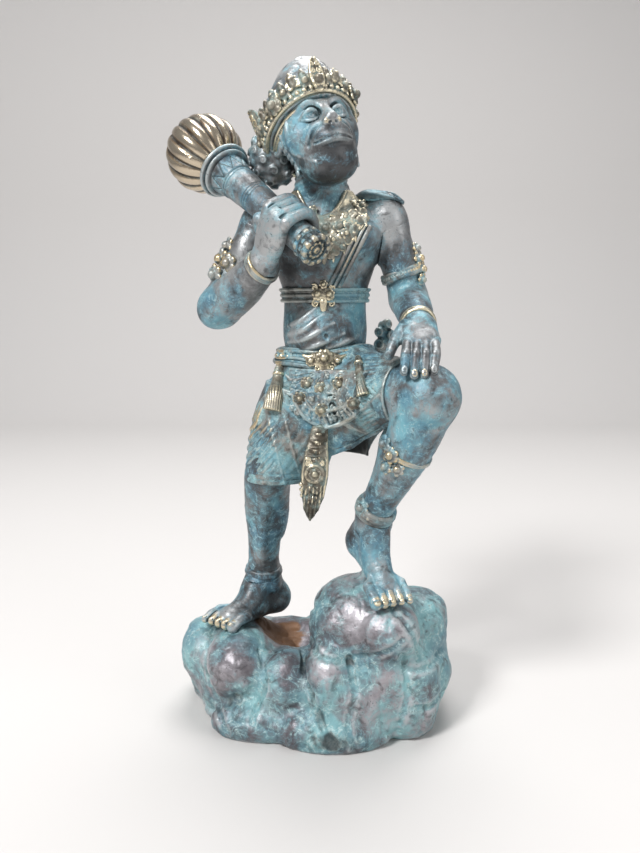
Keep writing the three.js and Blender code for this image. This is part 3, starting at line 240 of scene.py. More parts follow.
def turned_skin(profile: Array, sides: int, swell: Callable[[Array, Array], Array]) -> Skin:
    """A turned body about Z, closed by a pole at each end: its radius is the profile's plus a swell.

    Args:
        profile: rows of radius and height from one end to the other, with no radius at the two ends.
        sides: how many columns go round.
        swell: millimetres added to the radius at a height and an angle; also what is hollow or proud.

    Returns:
        The closed skin.
    """
    rows = len(profile) - 2
    angle = np.linspace(0, 2 * np.pi, sides, endpoint=False)
    high, round_ = np.meshgrid(profile[1:-1, 1], angle, indexing="ij")
    lift = swell(high, round_)
    radius = profile[1:-1, :1] + lift
    body = np.stack([radius * np.cos(round_), radius * np.sin(round_), high], -1)
    slope = np.gradient(profile[:, 0])[1:-1, None] / (np.gradient(profile[:, 1])[1:-1, None] + TINY)
    normal = np.stack([np.cos(round_), np.sin(round_), -slope + 0 * round_], -1)
    normal /= np.linalg.norm(normal, axis=-1, keepdims=True)
    rising = profile[-1, 1] > profile[0, 1]
    i, j = np.meshgrid(np.arange(rows - 1), np.arange(sides), indexing="ij")
    k = (j + 1) % sides
    low, high_row = i * sides, (i + 1) * sides
    quads = np.stack([low + j, low + k, high_row + k, high_row + j], -1).reshape(-1, 4)
    first, last = rows * sides, rows * sides + 1
    here = np.arange(sides)
    then = (here + 1) % sides
    top = (rows - 1) * sides
    fans = np.vstack([
        np.stack([then, here, 0 * here + first, 0 * here + first], -1),
        np.stack([top + here, top + then, 0 * here + last, 0 * here + last], -1),
    ])
    faces = np.vstack([quads, fans])
    poles = np.array([[0, 0, profile[0, 1]], [0, 0, profile[-1, 1]]])
    points = np.vstack([body.reshape(-1, 3), poles])
    ends = np.array([[0, 0, -1.0], [0, 0, 1.0]])
    if not rising:
        faces = faces[:, [1, 0, 3, 2]]
        faces[len(quads):] = faces[len(quads):][:, [0, 1, 3, 2]]
        ends = -ends
    lift = np.concatenate([lift.ravel(), [0, 0]])
    full = max(np.abs(lift).max(), TINY)
    return Skin(
        points,
        faces,
        np.vstack([normal.reshape(-1, 3), ends]),
        np.clip(-lift / full, 0, 1),
        np.clip(lift / full, 0, 1),
    )


class Clay:
    """Signed distances on a grid, negative inside, worked shape by shape and then turned into a skin."""

    def __init__(self, low: Vec, high: Vec, grain: float) -> None:
        """Sets up an empty grid.

        Args:
            low: lowest corner of the box.
            high: highest corner of the box.
            grain: distance between grid points.
        """
        self.grain = grain
        self.low = np.asarray(low, float)
        self.count = np.ceil((np.asarray(high, float) - self.low) / grain).astype(int) + 1
        self.axes = [(self.low[k] + grain * np.arange(self.count[k])).astype(np.float32) for k in range(3)]
        self.depth = np.full(self.count, FAR, np.float32)
        self.whole: Optional[Array] = None

    def settle(self) -> "Clay":
        """Notes the shape as it is, so that the seams cut later don't count as hollows or crests."""
        self.whole = self.depth.copy()
        return self

    def grid(self) -> tuple[Array, Array, Array]:
        """The grid's X, Y and Z, each along its own direction."""
        x, y, z = self.axes
        return x[:, None, None], y[None, :, None], z[None, None, :]

    def work(
        self,
        low: Vec,
        high: Vec,
        distance: Callable[[Array, Array, Array], Array],
        blend: float = 0.0,
        tool: Tool = Tool.ADD,
    ) -> "Clay":
        """Adds or cuts a shape inside the box that holds it.

        Args:
            low: lowest corner of the shape.
            high: highest corner of the shape.
            distance: the shape's signed distance at X, Y and Z.
            blend: width of the eased seam between the shape and the clay.
            tool: whether the shape is added or cut.
        """
        margin = blend + 3 * self.grain + 1
        start = np.floor((np.asarray(low, float) - margin - self.low) / self.grain).astype(int)
        stop = np.ceil((np.asarray(high, float) + margin - self.low) / self.grain).astype(int) + 1
        start = np.clip(start, 0, self.count)
        stop = np.clip(stop, 0, self.count)
        if np.any(stop <= start):
            return self
        where = tuple(slice(a, b) for a, b in zip(start, stop))
        x, y, z = (axis[part] for axis, part in zip(self.axes, where))
        shape = distance(x[:, None, None], y[None, :, None], z[None, None, :])
        if tool is Tool.ADD:
            self.depth[where] = soft_min(self.depth[where], shape, blend)
        else:
            self.depth[where] = -soft_min(-self.depth[where], shape, blend)
        return self

    def ball(
        self, at: Vec, half: Vec, blend: float = 0.0, tool: Tool = Tool.ADD, axes: Optional[Array] = None
    ) -> "Clay":
        """An ellipsoid at distance k (k - 1) / m, with k the length of p / half and m of p / half squared.

        Args:
            at: centre.
            half: three half sizes, or one radius.
            blend: width of the eased seam.
            tool: whether it is added or cut.
            axes: its own three directions as rows, if it is turned.
        """
        at = np.asarray(at, float)
        half = np.broadcast_to(np.asarray(half, float), 3)
        rows = np.eye(3) if axes is None else axes
        reach = np.sqrt(((rows * half[:, None]) ** 2).sum(0))

        def distance(x: Array, y: Array, z: Array) -> Array:
            """The ellipsoid's distance."""
            step = (x - at[0], y - at[1], z - at[2])
            own = step if axes is None else [
                row[0] * step[0] + row[1] * step[1] + row[2] * step[2] for row in rows
            ]
            near = np.sqrt(sum((p / h) ** 2 for p, h in zip(own, half))) + TINY
            slope = np.sqrt(sum((p / h**2) ** 2 for p, h in zip(own, half))) + TINY
            return near * (near - 1) / slope

        return self.work(at - reach, at + reach, distance, blend, tool)

    def limb(
        self,
        points: Sequence[Vec],
        radii: Sequence[float],
        blend: float = 0.0,
        tool: Tool = Tool.ADD,
        steps: int = 6,
        flat: Optional[tuple[Vec, float]] = None,
    ) -> "Clay":
        """A round-ended tube along a smooth curve: the least distance to its tapered spans.

        Args:
            points: points that the curve goes through.
            radii: its radius at each of them, or one radius for all.
            blend: width of the eased seam.
            tool: whether it is added or cut.
            steps: straight spans between two points.
            flat: a direction and a share below 1 to which the tube is flattened along it.
        """
        points = np.asarray(points, float)
        radii = np.broadcast_to(np.asarray(radii, float), len(points))
        way = curve_through(np.column_stack([points, radii]), steps * (len(points) - 1) + 1)
        low = (way[:, :3] - way[:, 3:]).min(0)
        high = (way[:, :3] + way[:, 3:]).max(0)
        squash = unit(flat[0]) if flat else np.zeros(3)
        stretch = 1 / flat[1] - 1 if flat else 0.0
        shrink = flat[1] if flat else 1.0
        spine = way[:, :3] + np.outer(way[:, :3] @ squash, squash) * stretch

        def distance(x: Array, y: Array, z: Array) -> Array:
            """The least distance to the spans."""
            if flat:
                pull = (x * squash[0] + y * squash[1] + z * squash[2]) * stretch
                x, y, z = x + pull * squash[0], y + pull * squash[1], z + pull * squash[2]
            least = None
            for a, b, ra, rb in zip(spine[:-1], spine[1:], way[:-1, 3], way[1:, 3]):
                ab = b - a
                px, py, pz = x - a[0], y - a[1], z - a[2]
                t = np.clip((px * ab[0] + py * ab[1] + pz * ab[2]) / (ab @ ab + TINY), 0, 1)
                gap = np.sqrt((px - ab[0] * t) ** 2 + (py - ab[1] * t) ** 2 + (pz - ab[2] * t) ** 2)
                gap = gap - (ra + (rb - ra) * t)
                least = gap if least is None else np.minimum(least, gap)
            return least * shrink

        return self.work(low, high, distance, blend, tool)

    def ring(
        self, at: Vec, axis: Vec, radius: float, tube: float, blend: float = 0.0, tool: Tool = Tool.ADD
    ) -> "Clay":
        """A torus: the length of (distance from the axis less radius, height) less the tube's radius."""
        at, axis = np.asarray(at, float), unit(axis)

        def distance(x: Array, y: Array, z: Array) -> Array:
            """The torus's distance."""
            px, py, pz = x - at[0], y - at[1], z - at[2]
            high = px * axis[0] + py * axis[1] + pz * axis[2]
            aside = np.sqrt(np.maximum(px**2 + py**2 + pz**2 - high**2, 0))
            return np.sqrt((aside - radius) ** 2 + high**2) - tube

        reach = radius + tube
        return self.work(at - reach, at + reach, distance, blend, tool)

    def loft(
        self,
        stations: Sequence[Station],
        along: Vec = UP,
        across: Vec = (1.0, 0.0, 0.0),
        blend: float = 0.0,
        tool: Tool = Tool.ADD,
        grow: float = 0.0,
    ) -> "Clay":
        """A body of elliptical sections, whose centres and half widths follow a smooth curve along an axis.

        Args:
            stations: the sections in order along the axis.
            along: the axis.
            across: direction of each section's first half width.
            blend: width of the eased seam.
            tool: whether it is added or cut.
            grow: millimetres added to every half width.
        """
        rows = axes_along(along, across)
        ats = np.array([s.at for s in stations])
        halves = np.array([s.half for s in stations]) + grow
        way = curve_through(np.column_stack([ats @ rows.T, halves]), LOFT_STEPS * len(stations))
        reach = np.abs(rows[1]) * halves[:, :1] + np.abs(rows[2]) * halves[:, 1:]

        def distance(x: Array, y: Array, z: Array) -> Array:
            """The section's ellipse distance, ended by the first and the last section."""
            place, u, v = (
                sum(c * part for c, part in zip(row, (x, y, z)) if abs(c) > TINY) for row in rows
            )
            cu, cv, a, b = (np.interp(place, way[:, 0], way[:, k]) for k in range(1, 5))
            p, q = (u - cu) / a, (v - cv) / b
            near = np.sqrt(p * p + q * q) + TINY
            slope = np.sqrt((p / a) ** 2 + (q / b) ** 2) + TINY
            ends = np.maximum(way[0, 0] - place, place - way[-1, 0])
            return np.maximum(near * (near - 1) / slope, ends).astype(np.float32)

        return self.work((ats - reach).min(0), (ats + reach).max(0), distance, blend, tool)

    def plane(self, at: Vec, normal: Vec) -> Array:
        """The distance of every grid point beyond a plane."""
        normal = unit(normal)
        return sum((part - c) * n for part, c, n in zip(self.grid(), at, normal) if abs(n) > TINY)

    def trim(self, at: Vec, normal: Vec) -> "Clay":
        """Cuts off everything beyond a plane."""
        self.depth = np.maximum(self.depth, self.plane(at, normal)).astype(np.float32)
        return self

    def keep(self, region: Array, blend: float = 0.0) -> "Clay":
        """Keeps only what lies inside a region, given by its own distances."""
        self.depth = (-soft_min(-self.depth, -region, blend)).astype(np.float32)
        return self

    def shell(self, inner: float, outer: float) -> "Clay":
        """Turns the clay into a wall between two distances from its old skin."""
        self.depth = np.maximum(self.depth - outer, inner - self.depth)
        return self

    def sample(self, points: Array, depth: Optional[Array] = None) -> Array:
        """The distance at any points in this or another field, blended from eight grid points each."""
        depth = self.depth if depth is None else depth
        place = np.clip((points - self.low) / self.grain, 0, self.count - 1.001)
        base = place.astype(int)
        t = place - base
        value = np.zeros(len(points))
        for corner in np.ndindex(2, 2, 2):
            weight = np.prod(np.where(np.array(corner) == 1, t, 1 - t), axis=1)
            value += weight * depth[tuple((base + corner).T)]
        return value

    def slope(self, points: Array) -> Array:
        """The outward direction at any points: the distance's steepest way up."""
        step = SLOPE_STEP * self.grain
        rise = np.stack(
            [self.sample(points + step * e) - self.sample(points - step * e) for e in np.eye(3)], 1
        )
        return rise / (np.linalg.norm(rise, axis=1, keepdims=True) + TINY)

    def seat(self, points: Array, direction: Vec = FRONT, reach: float = 60.0) -> Array:
        """Points carried onto the skin along a line, from outside inwards.

        Args:
            points: places on the lines.
            direction: the way out, one for all or one a point.
            reach: how far out the walk starts.

        Returns:
            The points of the skin.
        """
        points = np.atleast_2d(np.asarray(points, float))
        out = np.broadcast_to(np.asarray(direction, float), points.shape)
        walk = np.arange(reach, -reach, -WALK_STEP * self.grain)
        inside = np.array([self.sample(points + out * w) < 0 for w in walk])
        first = np.where(inside.any(0), inside.argmax(0), len(walk) // 2)
        found = points + out * walk[first][:, None]
        for _ in range(SEAT_ROUNDS):
            found = found - out * self.sample(found)[:, None]
        return found

    def skin(self, dent: float = 2.0) -> Skin:
        """The zero level as a closed surface.

        One point stands in each cell that the level crosses, at the mean of the crossings on the cell's
        edges, and each crossed grid edge gets a face between its four cells. The points are then evened
        out and drawn onto the level. A point is hollow where the way out is shorter than it would be over
        a plane, and proud where the way in is, or where the skin bends tightly: the bend is the sum of
        the distance's second differences.

        Args:
            dent: reach of that test in millimetres.
        """
        for axis in range(3):
            for end in (0, -1):
                edge = [slice(None)] * 3
                edge[axis] = end
                self.depth[tuple(edge)] = np.maximum(self.depth[tuple(edge)], EDGE_LIFT * self.grain)
        inside = self.depth < 0
        corners = list(np.ndindex(2, 2, 2))
        span = [n - 1 for n in inside.shape]
        total = sum(
            inside[a : a + span[0], b : b + span[1], c : c + span[2]].astype(np.int8) for a, b, c in corners
        )
        mixed = (total > 0) & (total < 8)
        cells = np.argwhere(mixed)
        number = np.full(mixed.shape, -1, np.int64)
        number[mixed] = np.arange(len(cells))
        values = np.stack([self.depth[tuple((cells + c).T)] for c in corners], 1)
        place = np.zeros((len(cells), 3))
        hits = np.zeros(len(cells))
        for i, a in enumerate(corners):
            for j, b in enumerate(corners):
                if i < j and sum(p != q for p, q in zip(a, b)) == 1:
                    crossed = (values[:, i] < 0) != (values[:, j] < 0)
                    share = np.where(crossed, values[:, i] / (values[:, i] - values[:, j] + 1e-12), 0)
                    place += crossed[:, None] * (np.array(a) + share[:, None] * (np.array(b) - np.array(a)))
                    hits += crossed
        points = (cells + place / hits[:, None]) * self.grain + self.low
        faces = []
        for axis in range(3):
            u, v = np.eye(3, dtype=int)[(axis + 1) % 3], np.eye(3, dtype=int)[(axis + 2) % 3]
            lower = [slice(1, -1)] * 3
            upper = [slice(1, -1)] * 3
            lower[axis], upper[axis] = slice(0, -1), slice(1, None)
            start = np.array([0 if k == axis else 1 for k in range(3)])
            before, after = inside[tuple(lower)], inside[tuple(upper)]
            for sense, crossed in ((1, before & ~after), (-1, ~before & after)):
                at = np.argwhere(crossed) + start
                quad = np.stack([number[tuple((at + step).T)] for step in (-u - v, -v, 0 * u, -u)], 1)
                faces.append(quad[:, ::sense])
        faces = np.vstack(faces)
        pairs = np.vstack([faces[:, [k, (k + 1) % 4]] for k in range(4)])
        degree = np.bincount(pairs[:, 0], minlength=len(points)) + TINY
        for _ in range(EVEN_ROUNDS):
            near = [np.bincount(pairs[:, 0], points[pairs[:, 1], k], len(points)) for k in range(3)]
            points = 0.5 * points + 0.5 * np.stack(near, 1) / degree[:, None]
            out = self.slope(points)
            gap = np.clip(self.sample(points), -self.grain, self.grain)
            points = points - out * gap[:, None]
        out = self.slope(points)
        hollow = np.clip(1 - self.sample(points + out * dent, self.whole) / dent, 0, 1)
        crest = np.clip(1 + self.sample(points - out * dent, self.whole) / dent, 0, 1)
        step = BEND_STEP * self.grain
        sides = [self.sample(points + s * step * e, self.whole) for e in np.eye(3) for s in (-1, 1)]
        bend = (sum(sides) - 6 * self.sample(points, self.whole)) / step**2
        crest = np.clip(crest + BEND_GAIN * np.clip(bend * dent / 2 - BEND_FREE, 0, 1), 0, 1)
        return Skin(points, faces, out, hollow, crest)


@dataclass(frozen=True)
class Zone:
    """A place where verdigris is thicker or thinner, metal rubbed bright, or bare bronze paler or darker.

    It counts only for nodes whose names hold its word.
    """

    at: tuple[float, float, float]
    reach: float
    verdigris: float = 0.0
    rub: float = 0.0
    pale: float = 0.0
    word: str = ""


ZONES = (
    Zone((55, -50, 205), 26, 0.15, 0, 0.3, "leg"),
    Zone((56, -8, 254), 20, 0.3),
    Zone((42, 2, 300), 24, -0.3, 0, 0.7),
    Zone((26, -6, 248), 16, 0.45),
    Zone((-62, -6, 252), 13, 0.5, 0, 0.3),
    Zone((-44, -14, 274), 22, -0.35, 0, 0.75),
    Zone((-22, -38, 297), 18, -0.3, 0, 0.7, "hand"),
    Zone((-1, -52, 285), 12, -0.2, 0.25, -0.5, "pommel"),
    Zone((-24, 18, 345), 24, -0.6, 0, -0.3, "hair"),
    Zone((38, -58, 172), 9, -0.3, 0.75, 0, "knee_band"),
    Zone((24, -38, 131), 9, -0.2, 0.45, 0, "left_anklet"),
    Zone((-38, -14, 322), 34, 0.0, 0, 0.45, "club_shaft"),
    Zone((-6, -33, 133), 8, -0.5, -1.2, -0.8, "sash_tail"),
    Zone((-2, -36, 164), 20, -0.1, 0, -0.3, "sash_tail"),
    Zone((40, 2, 314), 18, 0.1, 0, -1.1, "shoulder_leaf"),
    Zone((-26, -28, 206), 12, -0.5, 0.4, 0.5, "tassel"),
    Zone((-25, -8, 225), 8, 0, 0.75, 0, "hip_belt"),
    Zone((19, -19, 228), 6, 0, 0.75, 0, "hip_belt"),
    Zone((-14, -18, 262), 13, -0.6, 0.2, 0, "chest_band"),
    Zone((20, -18, 262), 12, 0.5, 0, 0, "chest_band"),
    Zone((-7, -24, 303), 13, 0.3, -1.2, 0.9, "collar"),
    Zone((16, -23, 285), 18, -0.5, 0.45, 0.4, "sash_cord"),
    Zone((-56, -2, 281), 13, -0.3, 1.3, 0.5, "right_armlet"),
    Zone((61, -1, 281), 10, -0.3, 1.2, 0.5, "left_armlet"),
    Zone((-33, -39, 281), 8, 0, 0.8, 0.5, "right_bracelet"),
    Zone((-14, -20, 277), 18, -0.5, 0, -0.5),
    Zone((8, -28, 334), 17, -0.45, 0, -0.4, "head"),
    Zone((0, -22, 366), 15, -0.1, 0, 0.6, "head"),
    Zone((-13, -24, 352), 12, 0.3, 0, 0.4, "head"),
    Zone((-8, 0, 396), 30, -0.35, 0, 0.8, "crown_cap"),
    Zone((-34, -6, 128), 34, 0.1, 0, -0.3),
    Zone((50, -50, 180), 30, 0.25, 0, 0.2, "left_leg"),
    Zone((36, -38, 104), 20, 0.35, 0, 0.4),
    Zone((-20, -28, 160), 12, 0.35, 0, 0, "skirt"),
    Zone((-40, -14, 186), 11, 0, 0.8, 0, "skirt"),
    # Painted shadow: the skirt darkened under the raised left thigh, with less verdigris and brass.
    Zone((24, 16, 164), 17, -1.2, -0.5, -1.6, "skirt"),
    Zone((2, -34, 204), 30, 0, 0.35, 0, "apron_rosette"),
    Zone((2, -24, 244), 34, -0.2, 0.55, 0, "buckle"),
    Zone((-46, 2, 66), 18, -0.3, 0, 0, "foot"),
    Zone((-62, -18, 62), 11, 0.0, 1.0, 0.6, "foot"),
    Zone((42, -54, 89), 11, 0.0, 0.95, 0.5, "foot"),
    Zone((54, -60, 232), 17, -0.15, 0, 0.15, "hand"),
    Zone((54, -71, 222), 7, -0.3, 0.75, 0, "hand"),
    Zone((7, -37, 357), 5, -0.4, 0.6, 0, "head"),
    Zone((-24, 4, 52), 22, -0.8, 2.8, 0, "rock"),
    Zone((-52, -40, 38), 13, -0.45, 0, 0.35, "rock"),
    Zone((26, -54, 72), 13, -0.4, 0, 0.3, "rock"),
    Zone((34, -58, 38), 9, -0.4, 0, 0.35, "rock"),
    Zone((4, -58, 48), 7, -0.4, 0, 0.35, "rock"),
    Zone((-80, -6, 40), 14, 0.5, 0, 0, "rock"),
    Zone((66, -20, 44), 26, 0.3, 0, 0, "rock"),
)


@dataclass(frozen=True)
class Finish:
    """A patinated or polished metal surface.

    The first two colours are the bare metal at its darkest and palest; the palest also serves as a
    painted highlight, paler bronze on proud crests. The third is the dark of tarnish specks and also
    painted shading in the hollows. cover is how far verdigris hides it, mottle the size of its patches in
    millimetres, rub how much brass shows on proud edges, and grain the cast texture's height.
    """

    name: str
    slot: str
    bronze: Colour
    pale_bronze: Colour
    tarnish_and_painted_shade: Colour
    blue: Colour
    turquoise: Colour
    mint: Colour
    brass: Colour
    cover: float
    mottle: float
    rub: float
    bronze_rough: float
    brass_rough: float
    grain: float


SKIN_PATINA = Finish(
    "skin_patina", "patinated_bronze", (0.078, 0.08, 0.083), (0.42, 0.428, 0.43), (0.011, 0.013, 0.014),
    (0.085, 0.21, 0.29), (0.16, 0.38, 0.445), (0.5, 0.67, 0.69), (0.72, 0.62, 0.44), 0.34, 11.0, -0.35,
    0.42, 0.34, 0.24,
)
DRESS_PATINA = Finish(
    "dress_patina", "patinated_bronze", (0.08, 0.076, 0.072), (0.4, 0.39, 0.36), (0.01, 0.011, 0.011),
    (0.1, 0.25, 0.33), (0.21, 0.4, 0.43), (0.52, 0.65, 0.62), (0.68, 0.56, 0.36), 0.38, 9.0, -0.3, 0.44,
    0.36, 0.26,
)
RUBBED_BRASS = Finish(
    "rubbed_brass", "rubbed_brass", (0.09, 0.075, 0.055), (0.4, 0.37, 0.3), (0.018, 0.015, 0.012),
    (0.13, 0.2, 0.2), (0.22, 0.34, 0.32), (0.5, 0.56, 0.48), (0.82, 0.73, 0.53), 0.28, 6.0, 0.3, 0.42, 0.32,
    0.16,
)
POLISHED_BRASS = Finish(
    "polished_brass", "polished_brass", (0.09, 0.055, 0.03), (0.28, 0.2, 0.12), (0.014, 0.009, 0.006),
    (0.12, 0.12, 0.1), (0.15, 0.17, 0.15), (0.42, 0.4, 0.33), (0.56, 0.475, 0.36), 0.24, 12.0, 0.4, 0.34,
    0.22, 0.08,
)
ROCK_PATINA = Finish(
    "rock_patina", "rock_patina", (0.11, 0.1, 0.112), (0.48, 0.455, 0.48), (0.014, 0.013, 0.015),
    (0.12, 0.24, 0.29), (0.22, 0.43, 0.45), (0.55, 0.7, 0.69), (0.17, 0.095, 0.055), 0.4, 13.0, -0.6, 0.42,
    0.6, 0.5,
)


class Wiring:
    """Adds nodes to a tree and joins them."""

    def __init__(self, tree: bpy.types.NodeTree) -> None:
        """Keeps the tree."""
        self.tree = tree

    def add(self, kind: str, inputs: Optional[dict] = None, **settings: object) -> bpy.types.Node:
        """A new node.

        Args:
            kind: the node's type.
            inputs: values or sockets by input name or number.
            settings: properties of the node.

        Returns:
            The node.
        """
        node = self.tree.nodes.new(kind)
        for key, value in settings.items():
            setattr(node, key, value)
        for key, value in (inputs or {}).items():
            if isinstance(value, bpy.types.NodeSocket):
                self.tree.links.new(value, node.inputs[key])
            else:
                node.inputs[key].default_value = value
        return node

    def math(self, operation: str, a: object, b: object = 0.0, c: object = 0.0) -> bpy.types.NodeSocket:
        """The result of a sum on values or sockets."""
        return self.add("ShaderNodeMath", {0: a, 1: b, 2: c}, operation=operation).outputs[0]

    def total(self, *terms: tuple[object, float]) -> bpy.types.NodeSocket:
        """The sum of sockets, each times its weight."""
        value: object = 0.0
        for socket, weight in terms:
            value = self.math("MULTIPLY_ADD", socket, weight, value)
        return value

    def ease(self, value: object, low: float, high: float) -> bpy.types.NodeSocket:
        """An eased step from 0 at low to 1 at high."""
        node = self.add("ShaderNodeMapRange", {0: value, 1: low, 2: high}, interpolation_type="SMOOTHSTEP")
        return node.outputs[0]

    def mix(self, share: object, a: object, b: object) -> bpy.types.NodeSocket:
        """A colour between two."""
        a, b = (c if isinstance(c, bpy.types.NodeSocket) else (*c, 1.0) for c in (a, b))
        return self.add("ShaderNodeMix", {0: share, 6: a, 7: b}, data_type="RGBA").outputs[2]

    def lerp(self, share: object, a: object, b: object) -> bpy.types.NodeSocket:
        """A value between two."""
        return self.add("ShaderNodeMix", {0: share, 2: a, 3: b}, data_type="FLOAT").outputs[0]

    def speckle(self, scale: object, detail: float = 4.0, warp: float = 0.0) -> bpy.types.NodeSocket:
        """Noise on Object coordinates."""
        place = self.add("ShaderNodeTexCoord").outputs["Object"]
        inputs = {"Vector": place, "Scale": scale, "Detail": detail, "Roughness": 0.6, "Distortion": warp}
        return self.add("ShaderNodeTexNoise", inputs).outputs["Fac"]

    def effect(self, tree: bpy.types.NodeTree, inputs: dict) -> bpy.types.Node:
        """A group put into the tree, with its inputs."""
        return self.add("ShaderNodeGroup", inputs, node_tree=tree)

    def attribute(self, name: str) -> bpy.types.NodeSocket:
        """A value kept on the mesh's points."""
        return self.add("ShaderNodeAttribute", attribute_name=name).outputs["Fac"]


def group(
    name: str, inputs: Sequence[str], outputs: Sequence[str]
) -> tuple[Wiring, bpy.types.Node, bpy.types.Node]:
    """A new node group with float sockets.

    Args:
        name: the group's name.
        inputs: names of its inputs.
        outputs: names of its outputs.

    Returns:
        Its wiring, its input node and its output node.
    """
    tree = bpy.data.node_groups.new(name, "ShaderNodeTree")
    for label in inputs:
        tree.interface.new_socket(name=label, in_out="INPUT", socket_type="NodeSocketFloat")
    for label in outputs:
        tree.interface.new_socket(name=label, in_out="OUTPUT", socket_type="NodeSocketFloat")
    return Wiring(tree), tree.nodes.new("NodeGroupInput"), tree.nodes.new("NodeGroupOutput")


class Patina:
    """The effects that all finishes share, as node groups, and the materials made from them."""

    def __init__(self) -> None:
        """Builds the groups."""
        self.verdigris = self._verdigris()
        self.rub = self._rub()
        self.grain = self._grain()
        self.made: dict[str, bpy.types.Material] = {}

    @staticmethod
    def _verdigris() -> bpy.types.NodeTree:
        """Patches of verdigris: eased noise drawn to hollows and zones, veined, specked and crusted."""
        w, given, out = group("verdigris", ("Pitch", "Cover", "Zone", "Hollow", "Crest"), BLOOM)
        pitch = given.outputs["Pitch"]
        broad = w.speckle(w.math("MULTIPLY", pitch, 0.62), 2.5, 0.8)
        fine = w.speckle(w.math("MULTIPLY", pitch, 2.6), 5.0, 0.6)
        wide = w.speckle(w.math("MULTIPLY", pitch, 0.36), 2.0)
        speck = w.speckle(w.math("MULTIPLY", pitch, 10.0), 3.0)
        cloud = w.speckle(w.math("MULTIPLY", pitch, 1.2), 4.0, 1.4)
        vein = w.ease(w.math("ABSOLUTE", w.math("SUBTRACT", cloud, 0.5)), 0.045, 0.0)
        ground = w.total(
            (broad, 0.85), (fine, 0.3), (speck, 0.12), (vein, 0.1), (given.outputs["Cover"], 1.0),
            (given.outputs["Zone"], 0.45), (given.outputs["Hollow"], 0.25), (given.outputs["Crest"], -0.06),
        )
        mask = w.ease(ground, 0.88, 1.22)
        tone = w.ease(w.total((wide, 0.75), (fine, 0.25)), 0.36, 0.64)
        crusty = w.total((fine, 0.75), (speck, 0.4), (given.outputs["Hollow"], 0.15), (vein, 0.12))
        pale = w.math("MULTIPLY", w.ease(crusty, 0.6, 0.95), mask)
        tarnish = w.ease(w.speckle(w.math("MULTIPLY", pitch, 1.5), 7.0, 0.7), 0.52, 0.7)
        dark = w.math("MAXIMUM", w.ease(w.total((speck, 0.5), (fine, 0.5)), 0.54, 0.68), tarnish)
        crust = w.total((mask, 0.5), (pale, 0.35), (speck, 0.25))
        for label, socket in zip(BLOOM, (mask, tone, pale, dark, crust)):
            w.tree.links.new(socket, out.inputs[label])
        return w.tree

    @staticmethod
    def _rub() -> bpy.types.NodeTree:
        """Bright metal on proud edges and rubbed zones, broken up by noise."""
        w, given, out = group("brass_rub", ("Crest", "Hollow", "Rub", "Amount"), ("Mask",))
        patch = w.speckle(150.0, 4.0, 0.3)
        speck = w.speckle(900.0, 2.0)
        value = w.total(
            (given.outputs["Crest"], 0.9), (given.outputs["Hollow"], -0.7), (given.outputs["Rub"], 1.0),
            (patch, 0.55), (speck, 0.25), (given.outputs["Amount"], 1.0),
        )
        w.tree.links.new(w.ease(value, 0.95, 1.35), out.inputs["Mask"])
        return w.tree

    @staticmethod
    def _grain() -> bpy.types.NodeTree:
        """The cast surface: fine sand grain with a few pits."""
        w, given, out = group("cast_grain", ("Height",), ("Height",))
        sand = w.speckle(1100.0, 3.0)
        lump = w.speckle(300.0, 3.0)
        place = w.add("ShaderNodeTexCoord").outputs["Object"]
        pits = w.add("ShaderNodeTexVoronoi", {"Vector": place, "Scale": 420.0}).outputs["Distance"]
        pit = w.ease(pits, 0.02, 0.2)
        height = w.math("MULTIPLY", w.total((sand, 0.5), (lump, 0.7), (pit, 0.5)), given.outputs["Height"])
        w.tree.links.new(height, out.inputs["Height"])
        return w.tree

    def material(self, finish: Finish) -> bpy.types.Material:
        """The material of a finish, made once.

        Bare bronze is dark or pale by random tone and by place, and painted paler on proud crests as a
        highlight; verdigris lies over it in tones from blue to turquoise with mint crusts, and mint on
        proud edges is partly edge wear and partly painted highlight. Dark tarnish specks break both,
        painted shading darkens the hollows, and brass shows where it is rubbed.

        Args:
            finish: the finish.

        Returns:
            The material.
        """
        if finish.name in self.made:
            return self.made[finish.name]
        material = bpy.data.materials.new(finish.name)
        material.use_nodes = True
        material.node_tree.nodes.clear()
        w = Wiring(material.node_tree)
        hollow, crest, zone, rubbed, pale_bronze = (
            w.attribute(k) for k in ("hollow", "crest", "verdigris", "rub", "pale")
        )
        given = {
            "Pitch": 1 / (finish.mottle * MM), "Cover": finish.cover, "Zone": zone, "Hollow": hollow,
            "Crest": crest
        }
        bloom = w.effect(self.verdigris, given)
        given = {"Crest": crest, "Hollow": hollow, "Rub": rubbed, "Amount": finish.rub}
        bright = w.effect(self.rub, given).outputs["Mask"]
        grain = w.effect(self.grain, {"Height": finish.grain}).outputs["Height"]
        mask, tone, pale, speck, crust = (bloom.outputs[k] for k in BLOOM)
        # Paler bare bronze by random tone and by place, plus a painted highlight that makes proud crests
        # paler.
        tone_and_crest_highlight = w.ease(w.total((tone, 0.5), (pale_bronze, 0.6), (crest, 0.5)), 0.05, 0.85)
        metal = w.mix(tone_and_crest_highlight, finish.bronze, finish.pale_bronze)
        copper = w.mix(pale, w.mix(tone, finish.blue, finish.turquoise), finish.mint)
        # Mint on proud edges: partly edge wear, partly painted highlight.
        edge_wear_and_highlight = w.mix(
            w.math("MULTIPLY", w.ease(crest, 0.35, 1.0), 0.22), w.mix(mask, metal, copper), finish.mint
        )
        flecked = w.mix(w.math("MULTIPLY", speck, 0.62), edge_wear_and_highlight, finish.tarnish_and_painted_shade)
        shown = w.mix(bright, flecked, finish.brass)
